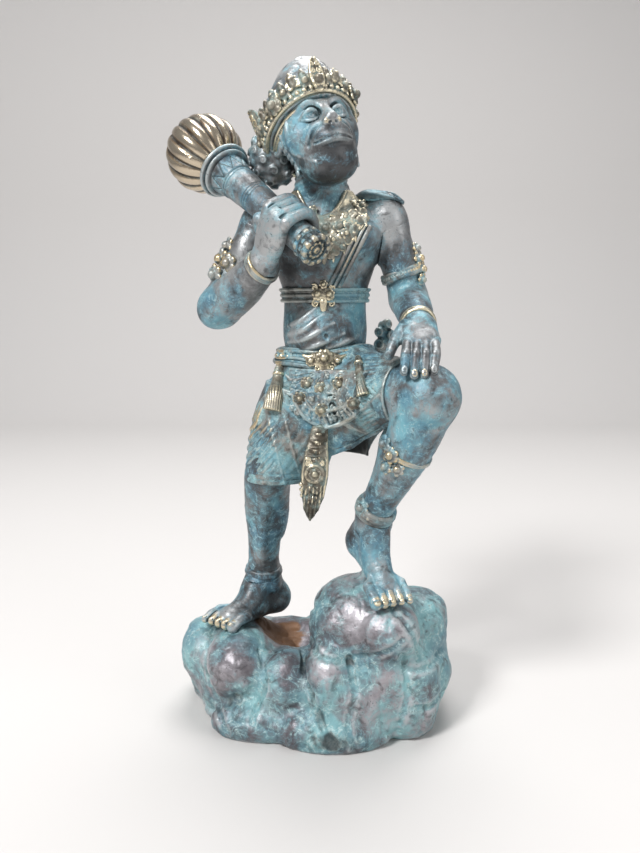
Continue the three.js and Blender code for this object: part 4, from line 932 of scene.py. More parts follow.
        # Painted shading: the colour is darkened in the hollows, where less light reaches.
        colour = w.mix(w.math("MULTIPLY", w.ease(hollow, 0.35, 0.95), 0.85), shown, finish.tarnish_and_painted_shade)
        rough = w.lerp(bright, w.lerp(mask, finish.bronze_rough, 0.56), finish.brass_rough)
        metallic = w.lerp(bright, w.lerp(mask, 0.6, 0.1), 1.0)
        height = w.math("ADD", w.math("MULTIPLY", crust, 0.34), grain)
        bump = w.add("ShaderNodeBump", {"Strength": 0.7, "Distance": MM, "Height": height})
        shader = w.add("ShaderNodeBsdfPrincipled", {
            "Base Color": colour, "Roughness": rough, "Metallic": metallic, "Normal": bump.outputs[0],
            "Coat Weight": 0.12, "Coat Roughness": 0.3,
        })
        w.add("ShaderNodeOutputMaterial", {"Surface": shader.outputs[0]})
        self.made[finish.name] = material
        return material


class Foundry:
    """Puts finished skins into the scene in place of the solids that they stand for."""

    def __init__(self) -> None:
        """Makes the shared finishes ready."""
        self.patina = Patina()

    def place(self, node: str, skin: Skin, finish: Finish) -> bpy.types.Object:
        """A new piece over a node.

        Args:
            node: the node that it replaces.
            skin: its surface in figure coordinates.
            finish: its finish.

        Returns:
            The piece, at the origin, with its place in its mesh.
        """
        mesh = bpy.data.meshes.new(f"{node}_cast")
        points = (skin.points + STAND) * MM
        corner = np.where(skin.faces[:, 2] == skin.faces[:, 3], 3, 4)
        keep = np.arange(4)[None, :] < corner[:, None]
        mesh.vertices.add(len(points))
        mesh.vertices.foreach_set("co", points.astype(np.float32).ravel())
        mesh.loops.add(int(corner.sum()))
        mesh.loops.foreach_set("vertex_index", skin.faces[keep].astype(np.int32))
        mesh.polygons.add(len(corner))
        mesh.polygons.foreach_set(
            "loop_start", np.concatenate([[0], np.cumsum(corner)[:-1]]).astype(np.int32)
        )
        mesh.polygons.foreach_set("use_smooth", np.ones(len(corner), bool))
        zones = [z for z in ZONES if z.word in node]
        near = np.array([np.exp(-(((skin.points - z.at) ** 2).sum(1) / z.reach**2)) for z in zones])
        values = {"hollow": skin.hollow, "crest": skin.crest}
        for label in ("verdigris", "rub", "pale"):
            values[label] = np.array([getattr(z, label) for z in zones]) @ near
        for label, value in values.items():
            mesh.attributes.new(label, "FLOAT", "POINT").data.foreach_set("value", value.astype(np.float32))
        mesh.update(calc_edges=True)
        mesh.validate()
        mesh.materials.append(self.patina.material(finish))
        piece = bpy.data.objects.new(f"{node}_cast", mesh)
        bpy.context.scene.collection.objects.link(piece)
        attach(piece, "root")
        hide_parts(node)
        log.info("%s: %d faces", piece.name, len(corner))
        return piece

    def cast(
        self, node: str, clay: Clay, finish: Finish, dent: float, grit: Sequence[tuple], full: float = 1.0
    ) -> bpy.types.Object:
        """A new piece from clay, with a hand-worked surface.

        Args:
            node: the node that it replaces.
            clay: its shape in figure coordinates.
            finish: its finish.
            dent: reach of the test for hollows and crests in millimetres.
            grit: height, pitch and seed of each noise on its surface.
            full: the height that counts as wholly hollow or wholly proud.

        Returns:
            The piece.
        """
        skin = clay.skin(dent)
        height = sum(rise * noise(skin.points, pitch, seed) for rise, pitch, seed in grit)
        return self.place(node, skin.raise_by(height, full), finish)


BALLS = tuple[tuple[tuple[float, float, float], tuple[float, float, float]], ...]


@dataclass
class Rock:
    """The rock under both feet: rounded boulders with creases between them, open underneath."""

    grain: float = 1.2
    boulders: BALLS = (
        ((31, -15, 48), (37, 40, 44)), ((34, -18, 73), (13, 24, 31)), ((56, 4, 34), (26, 42, 39)),
        ((16, -41, 22), (30, 23, 33)), ((50, -30, 26), (25, 26, 36)), ((-43, -10, 24), (36, 30, 28)),
        ((-13, -24, 20), (34, 27, 30)), ((-64, 16, 22), (23.5, 32, 30)), ((-50, 2, 34.2), (34, 28, 24)),
        ((-20, 24, 16), (52, 35, 32)), ((34, 32, 24), (42, 28, 36)), ((0, 0, 4), (76, 55, 13)),
    )
    lumps: BALLS = (
        ((-50, -18, 37), (24, 27, 21.5)), ((-73, -2, 37), (15, 24, 21)), ((23, -20, 64), (31, 32, 28)),
        ((40, -43, 67), (19, 19, 17.5)),
        ((6, -42, 36), (16, 20, 26)), ((34, -38, 34), (20, 20, 25)), ((60, -12, 56), (19, 20, 20)),
        ((62, -16, 30), (20, 24, 20)), ((-20, -32, 28), (20, 21, 22)), ((62, 4, 58), (20, 22, 18)),
        ((58, 26, 50), (20, 18, 18)), ((10, 46, 30), (22, 14, 18)), ((-40, 46, 22), (26, 14, 18)),
        ((-52, 4, 40), (24, 22, 18.5)), ((8, -46, 8), (36, 21, 17)), ((-34, -36, 8), (32, 18, 15)),
    )
    creases: tuple = (
        ((-66, 57), (-70, 39), (-63, 20), (-56, 6)), ((-36, 50), (-33, 34), (-40, 14)),
        ((-6, 57), (8.6, 53.6), (29, 56), (47, 68)), ((17, 53), (20, 36), (16, 18), (19, 5)),
        ((-3, 84), (-8, 60), (-10, 46), (-2, 24), (6, 8)), ((47, 58), (51, 36), (47, 14)),
        ((53, 46), (64, 45), (74, 47)), ((55, 24), (66, 22), (76, 26)), ((40, 84), (52, 72), (58, 50)),
    )
    sunk: float = 0.8
    dip: tuple = ((-17, -2, 64), (21, 26, 22))
    hollow: tuple[Station, ...] = (
        Station((-3, 1, -6), (71, 45)), Station((-3, 1, 10), (68, 42)), Station((-3, 1, 24), (58, 34)),
    )
    core: tuple = ((32, -12, 26), (24, 25, 44))

    def build(self, foundry: Foundry) -> None:
        """Models the boulders, cuts creases, the dip between the feet and the hollow, and roughens it all.

        The roughness is ridged: the size of smooth noise, which has sharp valleys where the noise crosses
        zero.
        """
        clay = Clay((-92, -68, -4), (88, 68, 112), self.grain)
        for at, half in self.boulders:
            clay.ball(at, np.array(half) - self.sunk, 3.0)
        for at, half in self.lumps:
            clay.ball(at, half, 4.0)
        clay.ball(*self.dip, 4.0, Tool.CUT)
        for line in self.creases:
            seats = clay.seat(curve_through([(x, -20, z) for x, z in line], 12))
            clay.limb(seats, 1.4, 2.0, Tool.CUT, steps=1)
        clay.trim((0, 0, 0), (0, 0, -1))
        clay.loft(self.hollow, tool=Tool.CUT)
        clay.ball(*self.core, 0.0, Tool.CUT)
        skin = clay.skin(4.5)
        p = skin.points
        outside = np.clip(p[:, 2] / 3, 0, 1)
        grit = np.exp(-((p[:, 2] / 15) ** 2)) + 1.2 * np.exp(-(((p - (44, -46, 60)) / 9) ** 2).sum(1))
        ridged = 1.5 * np.abs(noise(p, 24, 1)) - 1.0 * np.abs(noise(p, 12, 2)) - 0.1
        cracks = groove(noise(p, 15, 7), 0.09, 0.55) + groove(noise(p, 8, 9), 0.12, 0.3)
        height = ridged + cracks + 0.35 * noise(p, 5.5, 4) + (0.2 + 0.6 * grit) * noise(p, 2.9, 3)
        skin.raise_by(outside * height, 2.4)
        foundry.place("rock_base", skin, ROCK_PATINA)


@dataclass
class Foot:
    """A bare foot: ankle, heel, instep, ball and a row of five toes with nails."""

    ankle: tuple
    heel: tuple
    instep: tuple
    ball: tuple
    big_toe: tuple
    little_toe: tuple
    big_radius: float = 3.7
    little_radius: float = 2.6
    toe_length: float = 12.0

    def model(self, clay: Clay) -> None:
        """Adds the foot to the clay, with a tendon behind each toe."""
        heel, instep, ball = (np.array(p) for p in (self.heel, self.instep, self.ball))
        ahead = unit(ball - heel)
        across_foot = np.linalg.norm(np.subtract(self.little_toe, self.big_toe))
        across = np.subtract(self.little_toe, self.big_toe) / across_foot
        axes = axes_along(ahead, across)
        top = axes[2] if axes[2][2] > 0 else -axes[2]
        ankle = np.array(self.ankle)
        stem = ankle + 0.5 * (instep - ankle) + np.array([0, 0, 1.0])
        clay.limb([ankle + (0, 0, 6), ankle, stem, instep + top, ball], [9.2, 9.2, 9.6, 9.0, 5.0], 3)
        clay.limb([ankle, heel + (0, 0, 4), heel], [8.4, 8.6, 8.8], 6)
        clay.limb([heel, 0.5 * (heel + ball), ball], [8.2, 7.4, 5.2], 5)
        clay.ball(ball, (5.6, 11.8, 5.2), 4, axes=axes)
        for hand in (-1, 1):
            clay.ball(ankle + across * 8 * hand - (0, 0, 7), 3.6, 4)
        for k in range(5):
            share = k / 4
            tip = np.array(self.big_toe) + share * (np.array(self.little_toe) - np.array(self.big_toe))
            radius = self.big_radius + (self.little_radius - self.big_radius) * math.sqrt(share)
            root = tip - ahead * self.toe_length + top * 2.4
            knuckle = tip - ahead * self.toe_length * 0.45 + top * 2.2
            clay.limb([root, knuckle, tip], [radius * 0.9, radius * 0.95, radius * 0.92], 0.4)
            behind = root - across * across_foot * (share - 0.5) * 0.6 - ahead * 12
            clay.limb([behind + top * 1.2, root + top * 1.4], [0.9, 1.7], 1.6)
            nail = tip + ahead * radius * 0.3 + top * radius * 0.72
            clay.ball(nail, (radius * 0.6, radius * 0.62, radius * 0.34), 0.2, axes=axes)
            clay.ring(nail - top * 0.1, top, radius * 0.66, 0.3, 0.2, Tool.CUT)


@dataclass
class Legs:
    """Both legs with their feet, the anklets and the knee band."""

    grain: float = 0.68
    right: tuple[Knot, ...] = (
        Knot((-21.5, -2, 181), 17.5), Knot((-31, -5, 157), 15.0),
        Knot((-34, 0, 136), 13.2), Knot((-35.5, 6, 108), 10.4),
        Knot((-36.5, 10, 84), 9.2),
    )
    left: tuple[Knot, ...] = (
        Knot((31, -17, 208.5), 18.5), Knot((59.5, -53, 206.5), 17.5),
        Knot((50, -47, 177), 14.4), Knot((38.5, -35, 150), 11.0),
        Knot((32, -26, 133), 9.2),
    )
    right_foot: Foot = field(default_factory=lambda: Foot(
        (-36.5, 10, 84), (-29, 16, 65.5), (-45, -1, 68), (-56, -12, 62.5),
        (-53.5, -24, 61), (-72, -11, 61.2),
    ))
    left_foot: Foot = field(default_factory=lambda: Foot(
        (32, -26, 133), (25.5, -11, 111), (33, -30, 108), (38.5, -43, 93),
        (32, -55, 87), (51.5, -50, 88),
    ))

    def model_right(self, clay: Clay) -> None:
        """Adds the standing leg: a tapered limb with kneecap, calf and shin."""
        clay.limb([s.at for s in self.right], [s.radius for s in self.right], 0)
        clay.ball((-31.5, -17, 159), (8, 5, 9), 6)
        clay.ball((-35, 8, 136), (9, 8, 19), 8)
        clay.ball((-25, 3, 130), (4.5, 7, 17), 7)
        clay.limb([(-33, -14.5, 146), (-35.5, -7.6, 118), (-37, 0, 92)], [2.4, 2.4, 1.8], 5)

    def model_left(self, clay: Clay) -> None:
        """Adds the raised leg: thigh and shin meeting in a rounded knee."""
        ats = [s.at for s in self.left]
        radii = [s.radius for s in self.left]
        clay.limb(ats[:2], radii[:2], 0)
        clay.limb(ats[1:], radii[1:], 4)
        clay.ball((62, -58, 204), (12, 11, 12), 7)
        clay.ball((42, -32, 172), (8, 8, 16), 8)
        clay.limb([(60, -60, 188), (50, -52, 162), (37, -36, 138)], [2.6, 2.6, 2.2], 5)

    def build(self, foundry: Foundry) -> None:
        """Models the legs and feet, split at the ankles, and the rings over the splits."""
        boxes = {
            "right_leg": ((-56, -28, 80), (-2, 30, 176)), "right_foot": ((-82, -34, 50), (-14, 32, 92)),
            "left_leg": ((14, -76, 128), (82, 4, 230)), "left_foot": ((12, -66, 72), (60, 8, 140)),
        }
        for name, (low, high) in boxes.items():
            right = "right" in name
            line = self.right if right else self.left
            clay = Clay(low, high, self.grain if "leg" in name else 0.54)
            if right:
                self.model_right(clay)
                self.right_foot.model(clay)
            else:
                self.model_left(clay)
                self.left_foot.model(clay)
            clay.settle()
            way = unit(np.subtract(line[-1].at, line[-2].at))
            clay.trim(line[-1].at, way if "leg" in name else -way)
            foundry.cast(name, clay, SKIN_PATINA, 2.2, ((0.25, 9, 5), (0.12, 3.2, 6)), 1.6)
        self.build_rings(foundry)

    def build_rings(self, foundry: Foundry) -> None:
        """Models the two anklets, and the thin band under the left knee with flowers on its inner side."""
        at, before = np.array(self.right[-1].at), np.array(self.right[-2].at)
        axis = unit(at - before)
        ring_piece(foundry, "right_anklet", at - axis * 2.5, axis, 10.2, (1.5, 2.0, 1.5), 2.0, SKIN_PATINA)
        at, before = np.array(self.left[-1].at), np.array(self.left[-2].at)
        axis = unit(at - before)
        flowers = [
            (at - axis * 4 + (-9.5, -7.5, 3), (-0.75, -0.65, 0.1), 5.4),
            (at - axis * 4 + (-5.5, -10.5, -3), (-0.4, -0.9, 0.1), 3.8),
        ]
        shin = Clay((10, -76, 120), (70, -4, 195), 1.0)
        self.model_left(shin)
        flowers = seated(shin, flowers)
        ring_piece(
            foundry, "left_anklet", at - axis * 3.6, axis, 10.6, (1.8, 2.3, 1.9), 2.4, DRESS_PATINA, flowers
        )
        knee = np.array(self.left[2].at)
        axis = unit(self.left[3].at - knee)
        mid = knee + axis * 2
        flowers = [
            (mid + (-13.2, -7.0, 5), (-0.85, -0.5, 0.1), 5.2),
            (mid + (-10.2, -11.5, -1), (-0.6, -0.78, 0.1), 5.0),
            (mid + (-12.6, -8.0, -8), (-0.78, -0.6, 0.1), 4.6),
            (mid + (-7.2, -13.6, -8.5), (-0.4, -0.9, 0.1), 4.2),
        ]
        flowers = seated(shin, flowers)
        ring_piece(foundry, "left_knee_band", mid, axis, 14.6, (0.8, 0.8), 1.5, DRESS_PATINA, flowers)


def flower_on(clay: Clay, at: Vec, out: Vec, radius: float, petals: int = 8) -> None:
    """Adds a rosette: a domed boss, a ring of petals and a ring of seeds, facing a direction.

    Args:
        clay: what it is added to.
        at: the middle of its foot.
        out: the way it faces.
        radius: its outer radius.
        petals: how many petals it has.
    """
    axes = axes_along(out, FLOWER_ASIDE)
    at = np.asarray(at, float)
    clay.ball(at, (radius * 0.34, radius * 0.72, radius * 0.72), 0.3, axes=axes)
    for k in range(petals):
        angle = 2 * math.pi * k / petals
        way = axes[1] * math.cos(angle) + axes[2] * math.sin(angle)
        frame = axes_along(way, axes[0])
        clay.ball(at + way * radius * 0.62, (radius * 0.42, radius * 0.24, radius * 0.36), 0.35, axes=frame)
    clay.ball(at + axes[0] * radius * 0.3, radius * 0.48, 0.1)


def seated(limb: Clay, flowers: Sequence[tuple]) -> list[tuple]:
    """Flowers drawn onto a limb along the way that each faces, and left a millimetre proud."""
    return [(limb.seat(at, unit(out), 14)[0] + unit(out), out, size) for at, out, size in flowers]


def ring_piece(
    foundry: Foundry,
    node: str,
    at: Vec,
    axis: Vec,
    radius: float,
    cords: Sequence[float],
    pitch: float,
    finish: Finish,
    flowers: Sequence[tuple] = (),
    beads: int = 0,
) -> None:
    """A ring of parallel smooth cords round a limb, with flowers on it.

    Args:
        foundry: where the piece goes.
        node: the node that it replaces.
        at: its middle.
        axis: the limb's direction.
        radius: radius of the cords' middle line.
        cords: each cord's own radius, in order along the limb.
        pitch: distance between two cords.
        finish: its finish.
        flowers: place, facing and radius of each flower.
        beads: how many small beads lie between the outer cords, if any.
    """
    at, axis = np.asarray(at, float), unit(axis)
    reach = radius + RING_ROOM
    clay = Clay(at - reach, at + reach, RING_GRAIN)
    for k, tube in enumerate(cords):
        clay.ring(at + axis * pitch * (k - (len(cords) - 1) / 2), axis, radius, tube, 0.4)
    frame = axes_along(axis, (0.2, 0.9, 0.1))
    for k in range(beads):
        angle = 2 * math.pi * k / beads
        clay.ball(at + (frame[1] * math.cos(angle) + frame[2] * math.sin(angle)) * (radius + 0.9), 0.9, 0.2)
    for place, out, size in flowers:
        flower_on(clay, place, out, size, 6)
    foundry.cast(node, clay, finish, 1.2, ((0.14, 2.6, 8),), 0.7)


@dataclass
class Arm:
    """An arm from shoulder to wrist: centres and radii of its sections."""

    shoulder: Knot
    biceps: Knot
    seam: Knot
    elbow: Knot
    forearm: Knot
    wrist: Knot
    bulges: tuple = ()

    def model_upper(self, clay: Clay) -> None:
        """Adds shoulder, upper arm and elbow."""
        parts = (self.shoulder, self.biceps, self.seam, self.elbow)
        clay.limb([s.at for s in parts], [s.radius for s in parts], 5)
        for at, half in self.bulges:
            clay.ball(at, half, 6)

    def model_lower(self, clay: Clay) -> None:
        """Adds the forearm, from the elbow to the wrist."""
        parts = (self.elbow, self.forearm, self.wrist)
        clay.limb([s.at for s in parts], [s.radius for s in parts], 2)


RIGHT_ARM = Arm(
    Knot((-31, 6, 306), 13.5), Knot((-41, 5, 291), 12.5), Knot((-49, 3, 275), 12),
    Knot((-59.5, -4, 255.5), 12.8), Knot((-46, -17, 266), 12.2),
    Knot((-32, -30, 279), 9.4),
    (((-36, 4, 304), (11, 13, 13)), ((-44, -4, 285), (8, 7, 13)), ((-64, -3, 253), (9, 10, 10))),
)
LEFT_ARM = Arm(
    Knot((36.5, 4, 308), 13.5), Knot((45, 4, 289), 11.9), Knot((50.5, 4, 274), 11.6),
    Knot((54, 4, 260), 11.8), Knot((55.5, -13, 253), 11), Knot((56, -35, 245), 8.8),
    (((41, 3, 305), (11, 13, 12)), ((47, -4, 285), (7, 6, 12)), ((55, 8, 256), (8, 8, 8))),
)


@dataclass
class Trunk:
    """The bare trunk and neck, and the two arms down to the wrists."""

    grain: float = 0.7
    sections: tuple[Station, ...] = (
        Station((4, 4, 208), (27, 21)), Station((3.5, 4, 226), (24.5, 20.5)),
        Station((3, 3, 241), (25.5, 21)),
        Station((3, 4, 261), (25, 19)), Station((3, 3, 277), (29.5, 21)), Station((3, 3, 293), (35, 22)),
        Station((3, 5, 307), (35, 18.5)), Station((2, 5, 317), (24, 16)), Station((1, 2, 325), (16.5, 15)),
        Station((-1, -1, 346), (14.5, 14.5)),
    )
    muscles: BALLS = (
        ((-12, -13, 296), (16, 9, 11)), ((19, -13, 296), (16, 9, 11)), ((3, -13, 240), (18, 8.5, 13)),
        ((-14, 17, 296), (13, 8, 14)), ((20, 17, 296), (13, 8, 14)), ((-12, 16, 216), (14, 10, 14)),
        ((18, 16, 216), (14, 10, 14)),
    )
    folds: tuple = (
        ((-19, 244), (-12, 247), (-2, 255)), ((-19, 239), (-10, 242), (2, 251)),
        ((-19, 234), (-8, 237), (8, 246)),
        ((-18, 229), (-4, 232), (14, 240)), ((23, 239), (15, 235), (4, 231)),
        ((23, 233), (13, 230), (0, 227)),
    )
    right_seam: tuple = ((-35, 6, 299), (-10, -1, -15))
    left_seam: tuple = ((40, 4, 300), (8.5, 0, -19))
    coarse: Optional[Clay] = None

    def model(self, clay: Clay) -> None:
        """Adds the trunk: level sections with breast, back and belly muscles."""
        clay.loft(self.sections)
        for at, half in self.muscles:
            clay.ball(at, half, 7)
        clay.limb([(3, 28, 310), (3, 27, 285), (3, 25, 255), (3.5, 28, 225)], [2.5, 3, 3, 2.5], 7, Tool.CUT)
        clay.limb([(3, -27, 300), (3, -25.5, 285), (3, -24, 270)], [1.6, 1.5, 1.2], 5, Tool.CUT)

    def front(self, places: Sequence[tuple[float, float]]) -> Array:
        """Points of the trunk's front at places across and up."""
        if self.coarse is None:
            self.coarse = Clay((-40, -32, 205), (46, 6, 335), 1.2)
            self.model(self.coarse)
        return self.coarse.seat(np.array([(x, -10, z) for x, z in places]), FRONT, 26)

    def build(self, foundry: Foundry) -> None:
        """Models the trunk, splits off the arms at the shoulders, and adds belly folds and neck lines."""
        clay = Clay((-52, -30, 204), (58, 32, 350), self.grain)
        self.model(clay)
        bare = clay.depth.copy()
        territory = []
        for arm, (at, way) in ((RIGHT_ARM, self.right_seam), (LEFT_ARM, self.left_seam)):
            side = Clay((-52, -30, 204), (58, 32, 350), self.grain)
            arm.model_upper(side)
            beyond = clay.plane(at, way)
            territory.append((np.maximum(1.2 - beyond, (side.depth - bare) / 2), beyond))
            arm.model_upper(clay)
        for line in self.folds:
            clay.limb(self.front(line) + (0, 0.2, 0), [0.7, 1.5, 0.7], 1.4)
        clay.settle()
        for cut, beyond in territory:
            recess = 0.15 * np.clip(beyond / 0.4, 0, 1) * (cut < 2)
            clay.depth = np.maximum(clay.depth + recess, -cut).astype(np.float32)
        skin = clay.skin(2.4)
        x, y, z = skin.points.T
        neck = np.clip((z - 322) / 4, 0, 1) * np.clip((344 - z) / 3, 0, 1)
        height = 0.3 * neck * (np.cos(2 * np.pi * (z + 0.02 * x**2) / 3.1) - 0.6)
        navel = groove(np.hypot(x - 3.5, z - 238.5), 1.8, 1.6) * (y < 0)
        height += navel + sum(rise * noise(skin.points, pitch, seed) for rise, pitch, seed in LIMB_GRIT)
        foundry.place("torso", skin.raise_by(height, 1.3), SKIN_PATINA)
        self.build_arms(foundry)

    def build_arms(self, foundry: Foundry) -> None:
        """Models the upper arms and the forearms, split under the armlets and the bracelets."""
        for name, arm, (at, way), low, high in (
            ("right_upper_arm", RIGHT_ARM, self.right_seam, (-66, -18, 262), (-20, 26, 308)),
            ("left_upper_arm", LEFT_ARM, self.left_seam, (26, -18, 262), (68, 26, 308)),
        ):
            clay = Clay(low, high, self.grain)
            self.model(clay)
            bare = clay.depth.copy()
            own = Clay(low, high, self.grain)
            arm.model_upper(own)
            arm.model_upper(clay)
            arm.model_lower(clay)
            clay.settle()
            clay.keep(np.maximum(-clay.plane(at, way), (own.depth - bare) / 2))
            clay.trim(arm.seam.at, np.subtract(arm.elbow.at, arm.seam.at))
            foundry.cast(name, clay, SKIN_PATINA, 2.4, LIMB_GRIT, 1.3)
        for name, arm, low, high in (
            ("right_forearm", RIGHT_ARM, (-76, -44, 238), (-22, 20, 292)),
            ("left_forearm", LEFT_ARM, (38, -44, 236), (72, 22, 284)),
        ):
            clay = Clay(low, high, self.grain)
            arm.model_upper(clay)
            arm.model_lower(clay)
            clay.settle()
            clay.trim(arm.seam.at, np.subtract(arm.seam.at, arm.elbow.at))
            clay.trim(arm.wrist.at, np.subtract(arm.wrist.at, arm.forearm.at))
            foundry.cast(name, clay, SKIN_PATINA, 2.4, LIMB_GRIT, 1.3)


@dataclass
class Club:
    """The fluted club: head, collar, shaft and pommel, turned about an axis through the right fist."""

    grip: tuple = (-17.5, -34.4, 300)
    towards_pommel: tuple = (0.604, -0.584, -0.541)
    head_reach: float = 87.0
    head_radius: float = 23.5
    head_half_length: float = 23.0
    flutes: int = 16
    flute_depth: float = 2.3
    collar_reach: float = 64.0
    collar_radius: float = 17.0
    neck_radius: float = 12.4
    ring_reach: float = 50.0
    shaft_radius: float = 10.4
    grip_radius: float = 8.6
    grip_end: float = 16.0
    pommel_radius: float = 9.6

    def axes(self) -> Array:
        """The club's own directions as rows, with Z from the pommel to the head."""
        along = -unit(self.towards_pommel)
        rows = axes_along(along, (0.0, 0.0, 1.0))
        return np.array([rows[1], rows[2], rows[0]])

    def turned(
        self, foundry: Foundry, node: str, profile: Sequence[Vec], finish: Finish, petals: int = 0
    ) -> None:
        """A turned piece of the club from a profile of radius and reach, smoothed into many rows.

        Where the profile bends inwards the skin is hollow, and where it bends outwards proud: the bend is
        the cross product of the steps before and after a row, summed over a millimetre. Petals press the
        rims in between them.

        Args:
            foundry: where the piece goes.
            node: the node that it replaces.
            profile: radius and reach of each corner, from end to end.
            finish: its finish.
            petals: how many petals go round it, if any.
        """
        long = np.hypot(*np.diff(np.array(profile, float), axis=0).T).sum()
        rows = resampled(profile, max(24, int(long / 0.35)))
        for _ in range(3):
            rows[1:-1] = 0.25 * rows[:-2] + 0.5 * rows[1:-1] + 0.25 * rows[2:]
        sides = 130
        rim = np.clip((rows[1:-1, :1] - 1.5) / 5, 0, 1)
        press = 1.3 if petals else 0.0

        def swell(high: Array, angle: Array) -> Array:
            """The petals: less the press where the meridian lies between two of them."""
            return press * rim * (np.abs(np.cos(petals / 2 * angle)) ** 0.7 - 1)

        skin = turned_skin(rows, sides, swell)
        step = np.diff(rows, axis=0)
        step /= np.linalg.norm(step, axis=1, keepdims=True) + TINY
        bend = step[:-1, 0] * step[1:, 1] - step[:-1, 1] * step[1:, 0]
        bend = np.convolve(bend, np.ones(5), "same") * np.sign(rows[-1, 1] - rows[0, 1])
        bend = np.concatenate([np.repeat(bend, sides), [0, 0]])
        pressed = skin.hollow if petals else 0 * bend
        skin.hollow = np.clip(1.1 * pressed - bend, 0, 1)
        skin.crest = np.clip(bend * (1 - pressed) + (0.5 - pressed) * (petals > 0), 0, 1)
        foundry.place(node, skin.placed(self.axes(), self.grip), finish)

    def build(self, foundry: Foundry) -> None:
        """Turns the four pieces: fluted head, double collar, shaft, flanged pommel with a hollow end."""
        self.build_head(foundry)
        reach, radius = self.collar_reach, self.collar_radius
        self.turned(
            foundry, "club_collar",
            [
                (0, reach - 3.2), (13.2, reach - 3.2), (14.8, reach - 2.6), (15.4, reach - 1.4),
                (14.2, reach - 0.8), (14.4, reach - 0.2), (16.6, reach + 0.2), (radius, reach + 1),
                (radius, reach + 1.8), (16, reach + 2.6), (14.6, reach + 3), (0, reach + 3.2),
            ],
            SKIN_PATINA,
        )
        self.build_shaft(foundry)
        top, radius = -self.grip_end, self.pommel_radius
        self.turned(
            foundry, "club_pommel",
            [
                (0, top), (8.9, top), (radius, top - 1.0), (radius, top - 2.6), (8.3, top - 3.6),
                (8.1, top - 6.4), (9.2, top - 7.2), (radius, top - 8.2), (radius, top - 10),
                (8.9, top - 11), (7.6, top - 11), (6.9, top - 10.2), (6.7, top - 9.2), (5.6, top - 9.2),
                (5.0, top - 10.2), (4.0, top - 10.2), (3.5, top - 9.3), (2.6, top - 9.3),
                (1.8, top - 10.4), (0, top - 10.8),
            ],
            DRESS_PATINA, 10,
        )

    def build_head(self, foundry: Foundry) -> None:
        """The melon head: an ellipsoid pressed in between its ribs, deepest on its belly."""
        share = np.linspace(-1, 1, 110)
        tilt = share * np.pi / 2
        profile = np.column_stack(
            [self.head_radius * np.cos(tilt), self.head_reach + self.head_half_length * np.sin(tilt)]
        )
        profile[[0, -1], 0] = 0

        def swell(high: Array, angle: Array) -> Array:
            """The ribs: less the flute's depth where the meridian lies between two of them."""
            belly = np.sqrt(np.clip(1 - ((high - self.head_reach) / self.head_half_length) ** 2, 0, 1))
            rib = np.abs(np.cos(self.flutes / 2 * angle)) ** 0.6
            return self.flute_depth * belly * (rib - 1)

        skin = turned_skin(profile, self.flutes * 16, swell)
        skin.crest = np.clip(1 - 1.9 * skin.hollow, 0, 1)
        skin.hollow = np.clip(1.9 * skin.hollow - 0.3, 0, 1)
        foundry.place("club_head", skin.placed(self.axes(), self.grip), POLISHED_BRASS)

    def build_shaft(self, foundry: Foundry) -> None:
        """The shaft: five incised rings, and a row of pointed leaves engraved under the collar."""
        profile = [
            (0, -self.grip_end), (self.grip_radius, -self.grip_end), (self.grip_radius, self.grip_end),
            (9.6, 34), (self.shaft_radius, self.ring_reach), (self.shaft_radius + 0.5, self.ring_reach + 1),
            (self.neck_radius, self.collar_reach - 3), (0, self.collar_reach - 3),
        ]

        def swell(high: Array, angle: Array) -> Array:
            """Grooves round the shaft, and zigzag grooves between the ring and the collar."""
            rings = sum(groove(high - at, 0.4, 0.5) for at in (29.5, 31.5, 33.5, 48.6, 50.4))
            phase = np.abs(((angle * 9 / (2 * np.pi)) % 1) - 0.5) * 2
            tall = np.clip((high - 51.5) / 9, 0, 1)
            leaf = groove((phase - (1 - tall)) * 3.4, 0.5, 0.55) * (tall > 0) * (tall < 1)
            vein = groove((phase - 0.0) * 3.4, 0.32, 0.35) * (tall > 0.05) * (tall < 0.7)
            return rings + leaf + vein

        skin = turned_skin(resampled(profile, 250), 190, swell)
        foundry.place("club_shaft", skin.placed(self.axes(), self.grip), SKIN_PATINA)


CLUB = Club()


